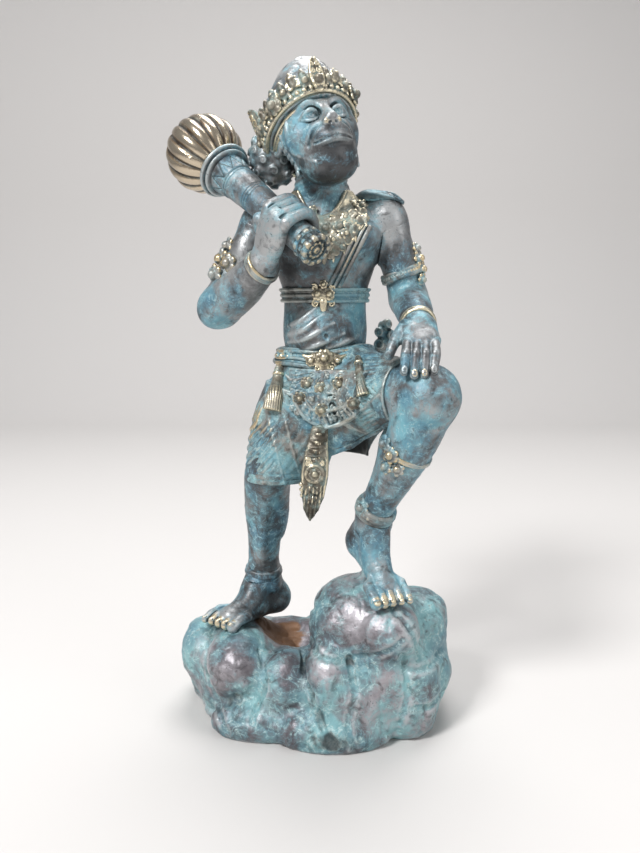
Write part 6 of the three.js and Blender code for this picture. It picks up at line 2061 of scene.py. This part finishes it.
@dataclass
class Chest:
    """What lies on the trunk: chest band and buckle, collar and pendant, sash cord and shoulder leaf."""

    band_low: float = 258.0
    band_high: float = 266.0
    collar_middle: float = 1.0
    collar_tip: float = 284.0
    collar_half: float = 29.0
    collar_top: float = 323.0
    neck_half: float = 13.5
    neck_low: float = 308.0
    trunk: Trunk = field(default_factory=Trunk)

    def build(self, foundry: Foundry) -> None:
        """Models each piece in turn."""
        self.build_band(foundry)
        self.build_collar(foundry)
        self.build_cord(foundry)
        self.build_leaf(foundry)

    def build_band(self, foundry: Foundry) -> None:
        """The chest band: a wall over the ribs with three cords, and its double-flower buckle."""
        middle = (self.band_low + self.band_high) / 2
        clay = Clay((-32, -28, 254), (40, 34, 270), 0.5)
        self.trunk.model(clay)
        bare = clay.depth.copy()
        clay.shell(-0.4, 1.3)
        clay.keep(np.abs(clay.plane((0, 0, middle), UP)) - 4.0, 0.6)
        for lift in (-3.2, 0.0, 3.2):
            cord = np.hypot(bare - 1.2, clay.plane((0, 0, middle + lift), UP)) - 1.15
            clay.depth = soft_min(clay.depth, cord.astype(np.float32), 0.3)
        foundry.cast("chest_band", clay, DRESS_PATINA, 1.2, ((0.1, 2.4, 41),), 0.6)
        seat = self.trunk.front([(2, middle)])[0] + (0, -2.4, 0)
        clay = Clay(seat - (12, 6, 14), seat + (12, 5, 11), 0.38)
        clay.ball(seat + (0, 1.4, 0), (6.6, 2.2, 5.4), 0.5)
        for hand in (-1, 1):
            flower_on(clay, seat + (hand * 3.2, 0, 0.6), (hand * 0.15, -1, 0.1), 3.7, 7)
            scroll_on(clay, seat + (hand * 5.4, 0.6, 4.6), FRONT, 2.0, hand, 0.6)
            scroll_on(clay, seat + (hand * 4.6, 0.6, -4.8), FRONT, 2.2, -hand, 0.6)
        flower_on(clay, seat + (0, 0, 6.4), FRONT, 2.6, 6)
        clay.limb(
            [seat + (0, 0, -4), seat + (0, 0, -8), seat + (0.4, 0.4, -11)], (2.2, 1.8, 0.6), 0.3,
            flat=(FRONT, 0.6)
        )
        foundry.place("chest_buckle", clay.skin(0.6), RUBBED_BRASS)

    def collar_edge(self, shrink: float) -> list[tuple[float, float]]:
        """The collar's outline across and up, drawn in by shrink, with the neckline cut out of its top."""
        m, top = self.collar_middle, self.collar_top
        half, tip = self.collar_half - shrink, self.collar_tip + shrink
        neck = self.neck_half + shrink
        low = self.neck_low - shrink
        left = [
            (half * 0.28, tip + 3), (half * 0.55, tip + 9), (half * 0.8, tip + 16),
            (half * 0.92, top - 17 + shrink), (half, top)
        ]
        inner = [(neck, top), (neck * 0.7, low + 3), (0, low)]
        right = [(-u, v) for u, v in left[::-1]]
        outline = [(0, tip), *left, *inner, *[(-u, v) for u, v in inner[-2::-1]], *right]
        return [(m + u, v) for u, v in outline]

    def build_collar(self, foundry: Foundry) -> None:
        """The collar: a shield-shaped wall over the breast, with beads, scrolls, flowers and leaf drops."""
        clay = Clay((-34, -32, 277), (36, 4, 326), 0.48)
        self.trunk.model(clay)
        clay.shell(-0.4, 1.2)
        x, y, z = clay.grid()
        clay.keep(np.maximum(outline_distance(x, z, self.collar_edge(0.0)) + 0 * y, y + 1), 0.5)
        m = self.collar_middle
        for shrink, count, bead, shift in ((1.6, 17, 2.5, 0.0), (6.2, 15, 1.9, 0.6)):
            half, tip = self.collar_half - shrink, self.collar_tip + shrink
            share = np.linspace(-1, 1, count) + shift / count
            across = m + half * np.sign(share) * np.abs(share) ** 0.85
            up = tip + (self.collar_top - 8 - tip) * np.abs(share) ** 1.75
            for seat in self.trunk.front(np.column_stack([across, up]))[1:-1]:
                clay.ball(seat + (0, -1.2, 0), (bead, 1.2, bead * 1.6), 0.3)
        share = np.linspace(-1, 1, 15)
        across = m + share * self.neck_half * 1.02
        neckline = np.column_stack([across, self.neck_low - 1.4 + 15 * np.abs(share) ** 2.2])
        clay.limb(self.trunk.front(neckline) + (0, -1.2, 0), 1.1, 0.3, steps=2)
        for u, v, size in (
            (2, 300, 4.2), (10, 301, 3.9), (18.5, 307, 4.4), (24, 314, 4.0), (6.5, 293.5, 3.0),
            (14, 297, 3.2),
            (25, 306, 3.0), (-5, 311, 3.0), (13.5, 306.5, 3.0), (19, 314.5, 3.0),
        ):
            flower_on(clay, self.trunk.front([(m + u, v)])[0] + (0, -1.4, 0), (u / 60, -1, 0.15), size, 6)
        for u, v, hand in (
            (6, 305.5, -1), (14.5, 302, 1), (10.4, 296, -1), (20.5, 301, 1), (22, 310, -1), (3, 291, 1),
            (-9, 309, 1),
        ):
            scroll_on(
                clay, self.trunk.front([(m + u, v)])[0] + (0, -1.4, 0), (u / 60, -1, 0.15), 2.2, hand, 0.7
            )
        for u in (-24, -18.5, -12.5, -6.5, 6.5, 12.5, 18.5, 24.5):
            v = self.collar_tip + 30 * (abs(u) / self.collar_half) ** 1.75 - 0.5
            drop = self.trunk.front([(m + u, v), (m + u * 1.05, v - 4.6)])
            clay.limb(drop + (0, -1.3, 0), (1.6, 0.6), 0.3)
        foundry.cast("collar", clay, RUBBED_BRASS, 1.0, ((0.12, 1.8, 43),), 0.5)
        seat = self.trunk.front([(m + 1.4, 289)])[0] + (0, -2.8, 0)
        clay = Clay(seat - (8, 6, 11), seat + (8, 5, 8), 0.38)
        clay.ball(seat + (0, 1, 0), (4.6, 1.8, 4.4), 0.4)
        flower_on(clay, seat + (0, -0.4, 0.6), FRONT, 4.6)
        clay.limb([seat + (0, 0, -3.4), seat + (0, 0, -6.6), seat + (0, 0.6, -9)], (1.9, 1.7, 0.6), 0.3)
        foundry.place("collar_pendant", clay.skin(0.9), RUBBED_BRASS)

    def build_cord(self, foundry: Foundry) -> None:
        """The sash: three plain cords side by side from the left shoulder to the chest band."""
        top, foot = np.array([26.0, 302.0]), np.array([8.5, 267.5])
        along = unit(foot - top)
        aside = np.array([-along[1], along[0]])
        clay = Clay((-2, -32, 262), (36, -4, 308), 0.42)
        for shift, radius in ((-2.8, 1.3), (0.0, 1.0), (2.8, 1.3)):
            places = [top + (foot - top) * s + aside * shift for s in np.linspace(0, 1, 9)]
            clay.limb(self.trunk.front(places) + (0, -0.7, 0), radius, 0.3, steps=2)
        clay.keep(clay.plane((0, 0, 266.3), (0, 0, -1)) + 0 * clay.depth)
        x, y, z = clay.grid()
        clay.keep(-outline_distance(x, z, self.collar_edge(-0.3)) + 0 * y)
        foundry.place("sash_cord", clay.skin(1.0), DRESS_PATINA)

    def build_leaf(self, foundry: Foundry) -> None:
        """The plate on the left shoulder: a pointed leaf with a raised rim, a midrib and side veins."""
        base = Clay((16, -14, 296), (56, 22, 332), 0.9)
        self.trunk.model(base)
        LEFT_ARM.model_upper(base)
        up = unit((0.35, -0.25, 0.9))

        def lying(own: Sequence[Vec], lift: float) -> Array:
            """Places along, across and above the leaf, carried onto the shoulder."""
            own = np.asarray(own, float)
            along, aside = own[:, :1] * (0.87, -0.08, -0.42), own[:, 1:2] * (0.08, 0.97, -0.1)
            flat = np.array([26.0, 2.0, 318.0]) + along + aside
            return base.seat(flat, up, 14) + up * (lift + own[:, 2:])

        clay = Clay((16, -14, 298), (56, 22, 334), 0.42)
        spine = lying([(-2, 0, 0), (6, 0, 0), (15, 0, 0), (23, 0, 0)], 0.6)
        clay.limb(spine, (4.5, 7.2, 5.2, 0.8), 0, flat=(up, 0.22))
        for hand in (-1, 1):
            rim = [(-2, hand * 4, 0), (6, hand * 6.6, 0), (15, hand * 4.6, 0), (23, 0, 0)]
            clay.limb(lying(rim, 1.4), 0.9, 0.3)
            for start in (2, 7, 12):
                vein = [(start, 0, 0), (start + 4, hand * 4.2 * (1 - start / 40), 0)]
                clay.limb(lying(vein, 2.0), 0.5, 0.2)
        clay.limb(spine + up * 1.6, 0.8, 0.3)
        foundry.place("left_shoulder_leaf", clay.skin(0.9), SKIN_PATINA)


@dataclass
class Head:
    """The head, worked in its own frame: X to its left, -Y the way it faces, +Z to its crown."""

    centre: tuple = (-4.0, -5.0, 357.5)
    turned: float = 19.0
    leaning: float = 11.0
    lifted: float = 9.0
    grain: float = 0.53
    masses: tuple = (
        ((0, 4, 4), (22.5, 25, 22), 0), ((0, -7, -7), (21.5, 17, 18.5), 7),
        ((0, -21, -11), (13.5, 12, 10.5), 6),
        ((0, -12, -23), (17, 15, 12.5), 8), ((0, -18.5, -26.5), (11, 8.5, 7), 9),
    )

    def axes(self) -> Array:
        """The head's own directions as rows, in figure coordinates."""
        return (turn(2, self.turned) @ turn(1, -self.leaning) @ turn(0, -self.lifted)).T

    def model(self, clay: Clay) -> None:
        """Adds skull, cheeks, muzzle, jaw and chin."""
        for at, half, blend in self.masses:
            clay.ball(at, half, blend)

    def model_face(self, clay: Clay) -> None:
        """Adds a calm, even face on plain proportions: brow, eyes with lids, snub nose and lips."""
        clay.limb([(0, -21.5, 6), (0, -25.5, 1), (0, -30.6, -4.2)], (3.0, 3.3, 3.9), 3)
        for hand in (-1, 1):
            side = np.array([hand, 1.0, 1.0])
            brow = np.array([(16.5, -12.5, 3.8), (9, -20.4, 8.2), (2.5, -22.6, 6.2)]) * side
            clay.limb(brow, (1.5, 2.6, 2.1), 3.2)
            clay.ball(np.array((8.8, -24.4, 1.0)) * side, (6.4, 4.6, 4.1), 2.0, Tool.CUT)
            clay.ball(np.array((8.6, -20.2, 1.0)) * side, (4.7, 4.3, 3.9), 0.3)
            upper = np.array(
                [(3.4, -22.4, 0.4), (6.2, -24.2, 3.0), (9.6, -24.1, 3.3), (14.2, -19.9, 0.2)]
            ) * side
            lower = np.array(
                [(3.6, -22.4, 0.0), (6.8, -24.2, -1.9), (10.2, -23.4, -1.8), (14.0, -20.0, 0.0)]
            ) * side
            clay.limb(upper, (0.8, 1.25, 1.25, 0.8), 0.3)
            clay.limb(lower, (0.6, 0.95, 0.95, 0.6), 0.3)
            clay.limb(upper + (0, -0.1, 2.4), (0.4, 0.6, 0.6, 0.4), 0.4, Tool.CUT)
            clay.ring(np.array((8.3, -24.3, 0.7)) * side, (hand * 0.12, -1, 0), 1.7, 0.26, 0.1, Tool.CUT)
            clay.ball(np.array((8.3, -24.6, 0.7)) * side, 0.75, 0.1, Tool.CUT)
            brow_line = np.array([(15.5, -15.2, 6.4), (9, -22.0, 10.8), (3, -23.6, 8.6)]) * side
            clay.limb(brow_line, (0.35, 0.55, 0.35), 0.6, Tool.CUT)
            clay.ball(np.array((13, -13, -8)) * side, (7, 6, 7), 6)
            clay.ball(np.array((3.5, -30.9, -5.8)) * side, (2.6, 2.8, 2.4), 1.2)
            clay.ball(np.array((1.9, -34.0, -7.2)) * side, (1.15, 1.6, 0.9), 0.4, Tool.CUT)
            fold = np.array([(5.0, -31, -5), (9.8, -27.4, -8.5), (12.8, -22.8, -15)]) * side
            clay.limb(fold, (0.2, 0.4, 0.2), 3.0, Tool.CUT)
        clay.limb([(0, -34.6, -8.4), (0, -34.2, -12.6)], (0.5, 0.5), 1.0, Tool.CUT)
        mouth = np.array([
            (-11.2, -25.4, -15.6), (-6, -31.2, -15.2), (0, -33.4, -14.7), (6, -31.2, -15.2),
            (11.2, -25.4, -15.6),
        ])
        clay.limb(mouth + (0, 0.9, 1.4), (0.6, 1.1, 1.4, 1.1, 0.6), 2.4)
        clay.limb(mouth + (0, 1.3, -1.6), (0.6, 1.2, 1.5, 1.2, 0.6), 2.4)
        clay.limb(mouth + (0, -1.0, 0), (0.4, 0.6, 0.6, 0.6, 0.4), 0.6, Tool.CUT)

    def model_hair(self, clay: Clay) -> None:
        """Adds the raised hairline round the face, the tufts of the side whiskers and the ears."""
        for hand in (-1, 1):
            places = ((0, 17.5), (10, 15), (18, 6), (20.4, -4), (19, -15), (12, -25))
            line = clay.seat([(hand * x, -10, z) for x, z in places], FRONT, 40)
            clay.limb(line, (1.0, 1.1, 1.1, 1.1, 1.0, 0.7), 0.8)
            for row in range(3):
                for k in range(9):
                    angle = math.radians(-6 - 9.5 * k)
                    place = np.array([hand * 14, -4 + 3.4 * row - 0.6 * k, 1 + 24 * math.sin(angle)])
                    way = unit((hand, -0.18, -0.25 - 0.5 * (k > 4)))
                    at = clay.seat(place, way, 20)[0]
                    clay.ball(at, (1.0, 1.4, 2.1), 0.4)
            clay.ring((hand * 22.6, 3, -6), (hand, -0.2, 0), 4.6, 1.7, 1.0)
            clay.ball((hand * 21.6, 3, -6), (2, 5, 6), 1.0)

    def build(self, foundry: Foundry) -> None:
        """Models the head and the curls at the nape, then the crown over it."""
        clay = Clay((-32, -42, -38), (32, 34, 34), self.grain)
        self.model(clay)
        self.model_hair(clay)
        self.model_face(clay)
        skin = clay.skin(1.8)
        skin.raise_by(0.12 * noise(skin.points, 7, 51) + 0.05 * noise(skin.points, 2.6, 52), 1.0)
        foundry.place("head", skin.placed(self.axes(), self.centre), SKIN_PATINA)
        self.build_curls(foundry)
        Crown(self.axes(), self.centre).build(foundry)

    def build_curls(self, foundry: Foundry) -> None:
        """The hair at the nape: a rounded mass set with curls at the points of a sunflower spiral."""
        at, half = np.array((-22, 20, -8)), np.array((13, 12, 16))
        clay = Clay((-44, 2, -32), (0, 40, 16), 0.5)
        clay.ball(at, half)
        for k, way in enumerate(sunflower(36, 2)):
            out = unit(way / half)
            clay.ball(at + way * half * 0.9, 3.4, 1.4)
            scroll_on(clay, at + way * half * 0.9 + out * 2.8, out, 2.6, 1 if k % 2 else -1, 0.6)
        skin = clay.skin(1.4)
        skin.raise_by(0.1 * noise(skin.points, 2.5, 54), 0.8)
        foundry.place("hair_knot", skin.placed(self.axes(), self.centre), SKIN_PATINA)


@dataclass
class Crown:
    """The cap and the openwork crown round it, in the head's own frame."""

    head_axes: Array
    head_centre: tuple
    middle: tuple = (-1.0, 4.5, 6.0)
    half: tuple = (26.5, 28.5, 41.0)
    dome: tuple = (
        (-24, (18.2, 19.6)), (-10, (24.4, 26.2)), (6, (26.5, 28.5)), (16, (24.8, 26.6)), (26, (20.4, 22.2)),
        (34, (15, 16.4)), (39.5, (9.2, 10.2)), (42.5, (2.5, 2.8)),
    )
    slope: float = 30.0
    rim: float = -4.5
    band_height: float = 10.0
    band_proud: float = 2.4

    def on_band(self, around: float, height: float, proud: float) -> Array:
        """A point of the band: from the rim's axis, straight out to the cap's ellipsoid grown by proud.

        With d the way out and o the start, both divided by the half sizes, it solves |o + s d| = 1 for s.
        """
        tilt = turn(0, -self.slope)
        start = tilt @ np.array([0, 0, self.rim + height])
        a = math.radians(around)
        way = tilt @ np.array([math.sin(a), -math.cos(a), 0])
        size = np.array(self.half) + proud
        o, d = start / size, way / size
        reach = (-(o @ d) + math.sqrt((o @ d) ** 2 - (d @ d) * (o @ o - 1))) / (d @ d)
        return np.array(self.middle) + start + way * reach

    def outward(self, point: Array) -> Array:
        """The cap's outward direction at a point."""
        return unit((point - self.middle) / np.array(self.half) ** 2)

    def put(self, foundry: Foundry, node: str, clay: Clay, finish: Finish, dent: float = 1.0) -> None:
        """Makes a piece and carries it from the head's frame."""
        foundry.place(node, clay.skin(dent).placed(self.head_axes, self.head_centre), finish)

    def build(self, foundry: Foundry) -> None:
        """Models cap, band, front leaf, rosettes and ear wings."""
        self.build_cap(foundry)
        self.build_band(foundry)
        self.build_leaf(foundry)
        for node, around in (("crown_rosette_right", -52), ("crown_rosette_left", 52)):
            at = self.on_band(around, 0, self.band_proud + 1.2)
            clay = Clay(at - 9, at + 9, 0.36)
            flower_on(clay, at, self.outward(at), 5.6)
            self.put(foundry, node, clay, RUBBED_BRASS)
        for hand, node in ((-1, "right_ear_wing"), (1, "left_ear_wing")):
            self.build_wing(foundry, node, hand)

    def build_cap(self, foundry: Foundry) -> None:
        """The cap: rounded sections above the rim, with curls drawn as spirals about scattered points."""
        middle = np.array(self.middle)
        x, y, _ = middle
        clay = Clay((-31, -28, -26), (29, 37, 48), 0.66)
        clay.loft([Station((x + 0.11 * max(z - 4, 0), y, z), half) for z, half in self.dome], blend=0)
        down = turn(0, -self.slope) @ np.array([0, 0, -1.0])
        clay.trim(middle - down * (self.rim - self.band_height / 2), down)
        skin = clay.skin(2.0)
        seeds = sunflower(34, 1.3) * self.half
        offset = (skin.points - middle)[:, None, :] - seeds[None]
        gap = np.linalg.norm(offset, axis=2)
        near = gap.argmin(1)
        rows = np.arange(len(near))
        reach = gap[rows, near]
        out = seeds / np.linalg.norm(seeds, axis=1, keepdims=True)
        side = np.cross(out, np.array([0.2, 0.3, 0.93]))
        side /= np.linalg.norm(side, axis=1, keepdims=True)
        other = np.cross(out, side)
        own = offset[rows, near]
        around = np.arctan2((own * other[near]).sum(1), (own * side[near]).sum(1))
        curl = np.cos(2 * np.pi * reach / 3.0 - around) * np.clip((7.2 - reach) / 1.5, 0, 1)
        skin.raise_by(0.4 * curl + 0.3 * noise(skin.points, 6, 56), 1.1)
        foundry.place("crown_cap", skin.placed(self.head_axes, self.head_centre), SKIN_PATINA)

    def build_band(self, foundry: Foundry) -> None:
        """The band: a wall between cords, with beads, flowers and scrolls on it and leaves on top."""
        middle, proud = np.array(self.middle), self.band_proud
        reach = np.array(self.half) + 10
        clay = Clay(middle - (reach[0], reach[1], 34), middle + (reach[0], reach[1], 32), 0.53)
        clay.ball(middle, np.array(self.half) + 1.4)
        clay.ball(middle, np.array(self.half) - 0.8, 0, Tool.CUT)
        tilt = turn(0, -self.slope)
        level = clay.plane(middle + tilt @ np.array([0, 0, self.rim]), tilt @ np.array([0, 0, 1.0]))
        clay.keep(np.abs(level) - self.band_height / 2 + 0.6, 0.4)
        for height, inset, cord in ((-4.2, 0.9, 1.1), (3.0, 0.9, 0.9), (-6.2, 4.6, 1.0), (-8.0, 5.2, 0.9)):
            points = np.array([self.on_band(a, height, proud - inset) for a in range(0, 360, 6)])
            closed_cord(clay, points, cord)
        for k in range(46):
            clay.ball(self.on_band(k * 360 / 46, -2.4, proud - 0.4), 1.5, 0.1)
        for k in range(15):
            around = 12 + 24 * k
            for shift, height, size in ((0, 1.8, 4.2), (12, 6.2, 3.6)):
                at = self.on_band(around + shift, height, proud - 0.2)
                flower_on(clay, at, self.outward(at), size, 6)
            for shift in (-8.5, 8.5):
                at = self.on_band(around + shift, 2.6, proud)
                scroll_on(clay, at, self.outward(at), 2.4, np.sign(shift), 0.9)
            self.leaf_on(clay, around, 5.0)
            self.leaf_on(clay, around + 12, 6.0)
        self.put(foundry, "crown_band", clay, RUBBED_BRASS)

    def leaf_on(self, clay: Clay, around: float, length: float) -> None:
        """Adds a pointed leaf above the band, with a bead at its tip."""
        foot = self.on_band(around, 3.2, self.band_proud - 0.6)
        tip = self.on_band(around, 3.2 + length, self.band_proud + 0.2)
        clay.limb([foot, 0.5 * (foot + tip), tip], (2.4, 2.4, 1.2), 0.2, steps=2)
        clay.ball(tip, 1.0, 0.1)

    def build_leaf(self, foundry: Foundry) -> None:
        """The crest over the brow: a tall leaf with raised rims, a flower and a bead at its tip."""
        rows = ((-4.0, 2.8), (0.5, 4.2), (4.0, 4.0), (7.5, 3.0), (11.0, 1.2))
        points = np.array([self.on_band(0, h, self.band_proud + 0.8 + 0.25 * max(h, 0)) for h, _ in rows])
        widths = np.array([w for _, w in rows])
        out = self.outward(points[1])
        clay = Clay(points.min(0) - 9, points.max(0) + 9, 0.38)
        clay.limb(points, widths, 0, flat=(out, 0.4))
        across = np.array([1.0, 0, 0])
        for hand in (-1, 1):
            clay.limb(points + across * hand * widths[:, None] * 0.85 + out * 1.2, 0.7, 0.2)
            for k, size in ((1, 2.3), (2, 1.8), (3, 1.2)):
                at = points[k] + across * hand * widths[k] * 0.45 + out * 1.6
                scroll_on(clay, at, out, size * 0.8, hand, 0.5)
        clay.ball(points[-1], 1.2, 0.1)
        flower_on(clay, points[1] + out * 1.6 - (0, 0, 1.0), out, 3.8)
        clay.ball(points[1] + out * 3.0 - (0, 0, 1.0), 2.5, 0.1)
        self.put(foundry, "crown_front_leaf", clay, RUBBED_BRASS)

    def build_wing(self, foundry: Foundry, node: str, hand: int) -> None:
        """A wing behind the ear: a leaf with a beaded back edge, a raised front edge and scrolls."""
        seat = np.array([hand * 27.5, 6, 2])
        tilt = turn(0, -22) @ turn(1, hand * 7)
        side = tilt @ np.array([1.0, 0, 0])
        own = np.array([(0, -1, -1), (0, 0.6, 6.5), (0, 0.8, 13.5), (0, 2.6, 21)])
        spine = own @ tilt.T + seat
        clay = Clay(spine.min(0) - 9, spine.max(0) + 9, 0.4)
        clay.limb(spine, (3.6, 6.0, 5.0, 0.9), 0, flat=(side, 0.3))
        edge = np.array([(0, 3.2, -1), (0, 6.6, 6), (0, 6.2, 13), (0, 3.4, 20.6)]) @ tilt.T + seat
        front = np.array([(0, -4.2, -1), (0, -5.0, 6.5), (0, -3.6, 13.5), (0, 2.0, 20.6)]) @ tilt.T + seat
        for point in curve_through(edge, 12):
            clay.ball(point, 1.5, 0.2)
        clay.limb(front, 1.0, 0.3)
        for k, size in ((0.8, 2.6), (1.5, 2.8), (2.1, 2.2)):
            at = curve_through(spine, 31)[int(k * 10)] + side * hand * 1.6
            scroll_on(clay, at, side * hand, size, hand, 0.65)
            flower_on(clay, at - side * hand * 3.2, -side * hand, size, 6)
        self.put(foundry, node, clay, RUBBED_BRASS)


ASSEMBLIES = (Rock, Legs, Trunk, Club, Hands, ArmRings, Dress, Chest, Head)


@dataclass
class Studio:
    """A pale floor, soft lamps and the camera at the photograph's place."""

    eye: tuple[float, float, float] = (0.0, -520.0, 261.0)
    tilt: float = 8.66
    focal: float = 850.0
    image_height: float = 853.0
    sensor: float = 36.0
    floor_size: float = 3.0
    floor_colour: Colour = (0.62, 0.6, 0.585)
    floor_rough: float = 0.8
    backdrop_bend: float = 0.5
    world_colour: Colour = (0.8, 0.82, 0.85)
    world_strength: float = 0.44
    aim: tuple[float, float, float] = (0.0, 0.0, 0.2)

    def camera(self) -> None:
        """Sets the camera: its lens is the sensor's height by the focal length over the image's height."""
        data = bpy.data.cameras.new("photo_view")
        data.sensor_fit = "VERTICAL"
        data.sensor_height = self.sensor
        data.lens = self.sensor * self.focal / self.image_height
        data.clip_start = 0.01
        view = bpy.data.objects.new("photo_view", data)
        view.location = (np.array(self.eye) + STAND) * MM
        view.rotation_euler = (math.radians(90 - self.tilt), 0, 0)
        bpy.context.scene.collection.objects.link(view)
        bpy.context.scene.camera = view

    def floor(self) -> None:
        """Lays the floor and its backdrop: a strip that goes up as a quarter circle at the back."""
        size, bend = self.floor_size, self.backdrop_bend
        rows = np.linspace(0, 1, 25)
        arc = rows * np.pi / 2
        y = np.concatenate([[-size], size * 0.4 + bend * np.sin(arc), [size * 0.4 + bend]])
        z = np.concatenate([[0], bend * (1 - np.cos(arc)), [size]])
        points = np.vstack([np.column_stack([np.full_like(y, x), y, z]) for x in (-size, size)])
        n = len(y)
        i = np.arange(n - 1)
        faces = np.stack([i, i + n, i + n + 1, i + 1], 1)
        mesh = bpy.data.meshes.new("floor")
        mesh.from_pydata(points.tolist(), [], faces.tolist())
        mesh.polygons.foreach_set("use_smooth", np.ones(len(faces), bool))
        material = bpy.data.materials.new("pale_floor")
        material.use_nodes = True
        shader = material.node_tree.nodes["Principled BSDF"]
        shader.inputs["Base Color"].default_value = (*self.floor_colour, 1)
        shader.inputs["Roughness"].default_value = self.floor_rough
        mesh.materials.append(material)
        sheet = bpy.data.objects.new("floor", mesh)
        bpy.context.scene.collection.objects.link(sheet)

    def lamps(self) -> None:
        """Hangs a large soft lamp on each side and one over the back, and sets an even pale world."""
        scene = bpy.context.scene
        for name, place, size, power in (
            ("key", (-0.9, -1.1, 1.5), 0.5, 35.0),
            ("fill", (1.3, -0.8, 0.9), 1.2, 6.0),
            ("top", (0.1, 0.5, 1.6), 1.0, 19.0),
        ):
            data = bpy.data.lights.new(name, "AREA")
            data.shape = "DISK"
            data.size = size
            data.energy = power
            lamp = bpy.data.objects.new(name, data)
            lamp.location = place
            way = np.array(self.aim) - np.array(place)
            flat = math.hypot(way[0], way[1])
            lamp.rotation_euler = (math.atan2(flat, -way[2]), 0, math.atan2(way[1], way[0]) - math.pi / 2)
            scene.collection.objects.link(lamp)
        world = bpy.data.worlds.new("studio")
        world.use_nodes = True
        sky = world.node_tree.nodes["Background"]
        sky.inputs["Color"].default_value = (*self.world_colour, 1)
        sky.inputs["Strength"].default_value = self.world_strength
        scene.world = world
        scene.view_settings.view_transform = "Standard"


def main() -> None:
    """Loads the frame, sets up the studio and builds every piece over it."""
    logging.basicConfig(level=logging.INFO, format="%(message)s")
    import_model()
    studio = Studio()
    studio.camera()
    studio.floor()
    studio.lamps()
    foundry = Foundry()
    for assembly in ASSEMBLIES:
        assembly().build(foundry)


if __name__ == "__main__":
    main()
